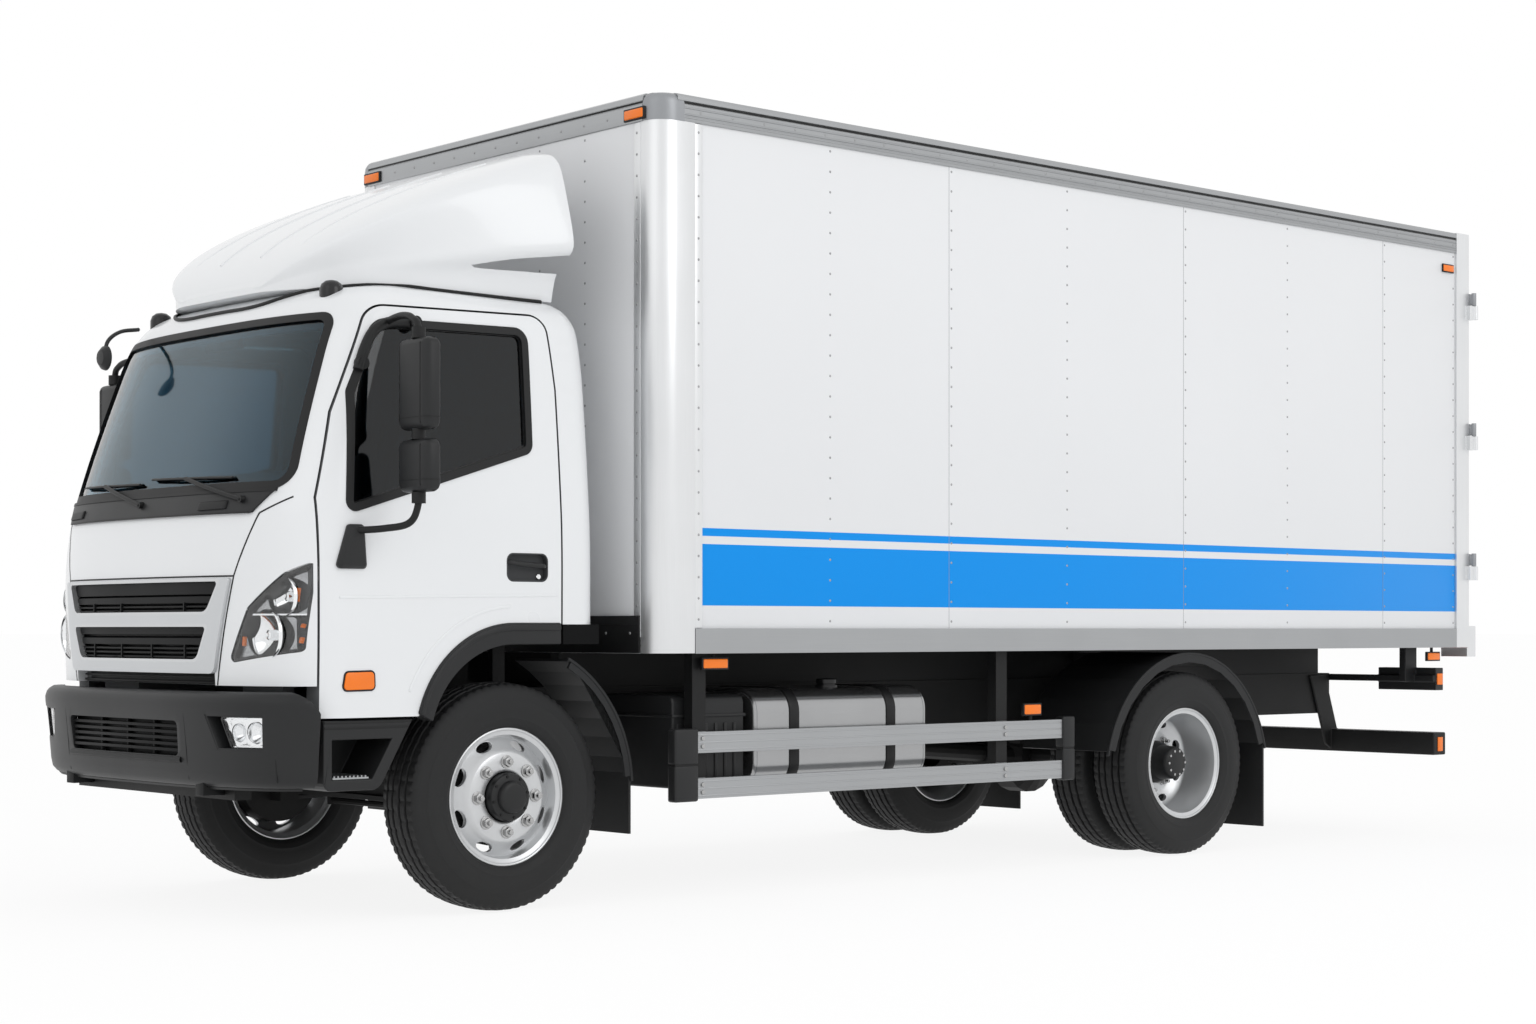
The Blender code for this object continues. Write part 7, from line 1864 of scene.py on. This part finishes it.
# %% Tank, battery box and tail lamps
from_frame("battery_box", BUMPER, 0.008, 3)
from_frame("air_reservoir", CHASSIS, 0.003)
from_frame("rear_underrun", CHASSIS, 0.01, 3)
from_frame("tail_lamps", BUMPER, 0.004)
battery_ribs = [box((0.962, 0.8 + 0.05 * k, 0.47), (0.97, 0.815 + 0.05 * k, 0.7)) for k in range(7)]
piece(gathered(*battery_ribs, box((0.47, 0.775, 0.725), (0.972, 1.165, 0.737))), "battery_lid_and_ribs", "chassis",
    BUMPER, bevel=0.003)
section = rounded(rectangle(0.5, 0.44, 0.985, 0.835), [0.05, 0.09, 0.1, 0.05], 12)
ends = ((1.2, -0.016), (1.203, -0.007), (1.21, 0.0), (2.19, 0.0), (2.197, -0.007), (2.2, -0.016))
tank = loft([[(x, y, z) for x, z in (grown(section, d) if d else section)] for y, d in ends])
piece(tank, "tank_body", "chassis", TANK, ("fuel_tank",), "aluminium", angle=40)
straps = []
for y in (1.42, 1.98):
    strap = solid(prism(grown(section, 0.004), "Y", y - 0.026, y + 0.026))
    cut(strap, prism(grown(section, 0.0005), "Y", y - 0.1, y + 0.1))
    joined(strap, box((0.376, y - 0.03, 0.5), (0.502, y + 0.03, 0.8)))
    straps.append(strap)
joined(straps[0], straps[1])
finish(softened(straps[0], 0.0015), "tank_straps", "chassis", SEAL)
filler = turned([(0.8, 0.0), (0.8, 0.05), (0.842, 0.05), (0.844, 0.04), (0.848, 0.04), (0.85, 0.046),
    (0.866, 0.046), (0.87, 0.042), (0.872, 0.0)], (0.86, 1.72, 0.0), 40, "Z")
piece(filler, "tank_filler", "chassis", GLOSSY_BLACK)
seam = [prism(grown(section, 0.0015), "Y", y - 0.003, y + 0.003) for y in (1.218, 2.182)]
piece(seam, "tank_seams", "chassis", TANK)

lenses = {"red": [], "amber": [], "white": []}
for side, _ in SIDES:
    for (a, b), colour in (((0.69, 0.772), "white"), ((0.778, 0.9), "red"), ((0.906, 0.968), "red"),
            ((0.974, 1.037), "amber")):
        lenses[colour].append(box((side * a, 6.04, 0.766), (side * b, 6.052, 0.864)))
    lenses["amber"].append(box((side * 1.044, 5.985, 0.785), (side * 1.05, 6.035, 0.845)))
    lenses["amber"].append(box((side * 1.049, 5.985, 0.43), (side * 1.0535, 6.03, 0.505)))
    lenses["red"].append(box((side * 0.7, 6.058, 0.44), (side * 0.86, 6.064, 0.5)))
for colour, lens in (("red", RED_LENS), ("amber", AMBER), ("white", WHITE_LENS)):
    piece(gathered(*lenses[colour]), "tail_lenses_" + colour, "chassis", lens, slot="lamp_clear", bevel=0.003)
print("all pieces", len(made), "triangles", sum(count for _, count in made))
print("largest", sorted(made, key=lambda item: -item[1])[:5])
print("nodes still plain", [name for name, item in frame["nodes"].items() if not item.hide_render])

# %% [markdown]
# ## Floor, light and camera
# The photograph shows the truck on plain white with a soft shadow below it. A pale floor keeps that shadow, and the
# world is white where the camera, a reflection or glass sees it. A soft light from the side and a weaker one from the
# upper front make the long side a little brighter than the front. The camera stands low, at about one metre.

# %% Floor and light
floor_mesh = bmesh.new()
bmesh.ops.create_circle(floor_mesh, cap_ends=True, segments=96, radius=600.0)
floor = object_from(floor_mesh, "floor")
pale = material("studio_floor", (0.97, 0.97, 0.97), 0.85, grain=(0.05, 4.0), vary=0.006, Specular_IOR_Level=0.1)
tree = pale.node_tree
glow = node(tree, "ShaderNodeEmission", {"Strength": 1.0})
path = tree.nodes.new("ShaderNodeLightPath")
mirrored = maths(tree, "MAXIMUM", path.outputs["Is Glossy Ray"], path.outputs["Is Transmission Ray"])
direct = maths(tree, "MAXIMUM", path.outputs["Is Camera Ray"], mirrored)
share = maths(tree, "MULTIPLY", direct, 0.88)
both = node(tree, "ShaderNodeMixShader", {0: share, 1: tree.nodes["Principled BSDF"].outputs[0], 2: glow.outputs[0]})
tree.links.new(both.outputs[0], tree.nodes["Material Output"].inputs["Surface"])
floor.data.materials.append(pale)

# %% [markdown]
# The world is a little weaker as a light than it looks, so that white panels keep some shape.

# %% World, lights and camera
world = bpy.data.worlds.new("studio")
bpy.context.scene.world = world
world.use_nodes = True
tree = world.node_tree
background = tree.nodes["Background"]
background.inputs["Color"].default_value = (1.0, 1.0, 1.0, 1.0)
path = tree.nodes.new("ShaderNodeLightPath")
seen = maths(tree, "MAXIMUM", path.outputs["Is Camera Ray"], path.outputs["Is Glossy Ray"])
seen_too = maths(tree, "MAXIMUM", seen, path.outputs["Is Transmission Ray"])
level = node(tree, "ShaderNodeMapRange", {"Value": seen_too, "To Min": 0.92, "To Max": 1.0})
tree.links.new(level.outputs[0], background.inputs["Strength"])


def soft_light(name, place, aim, size, power):
    data = bpy.data.lights.new(name, "AREA")
    data.shape, data.size, data.energy = "DISK", size, power
    lamp = scene_object(name, data)
    lamp.location = place
    lamp.rotation_euler = (Vector(aim) - Vector(place)).to_track_quat("-Z", "Y").to_euler()


soft_light("key_from_front", (3.0, -13.0, 9.0), (0.0, -2.0, 1.2), 8.0, 70)
soft_light("fill_from_side", (14.0, 1.0, 9.0), (0.0, 0.0, 1.4), 9.0, 380)

data = bpy.data.cameras.new("camera")
data.lens, data.sensor_width, data.shift_y = 59.58, 36.0, 0.0765
camera = scene_object("camera", data)
camera.location = (8.875, -8.2385, 1.08)
camera.rotation_euler = (radians(90), 0.0, radians(48.62))
bpy.context.scene.camera = camera
bpy.context.scene.view_settings.view_transform = "Standard"
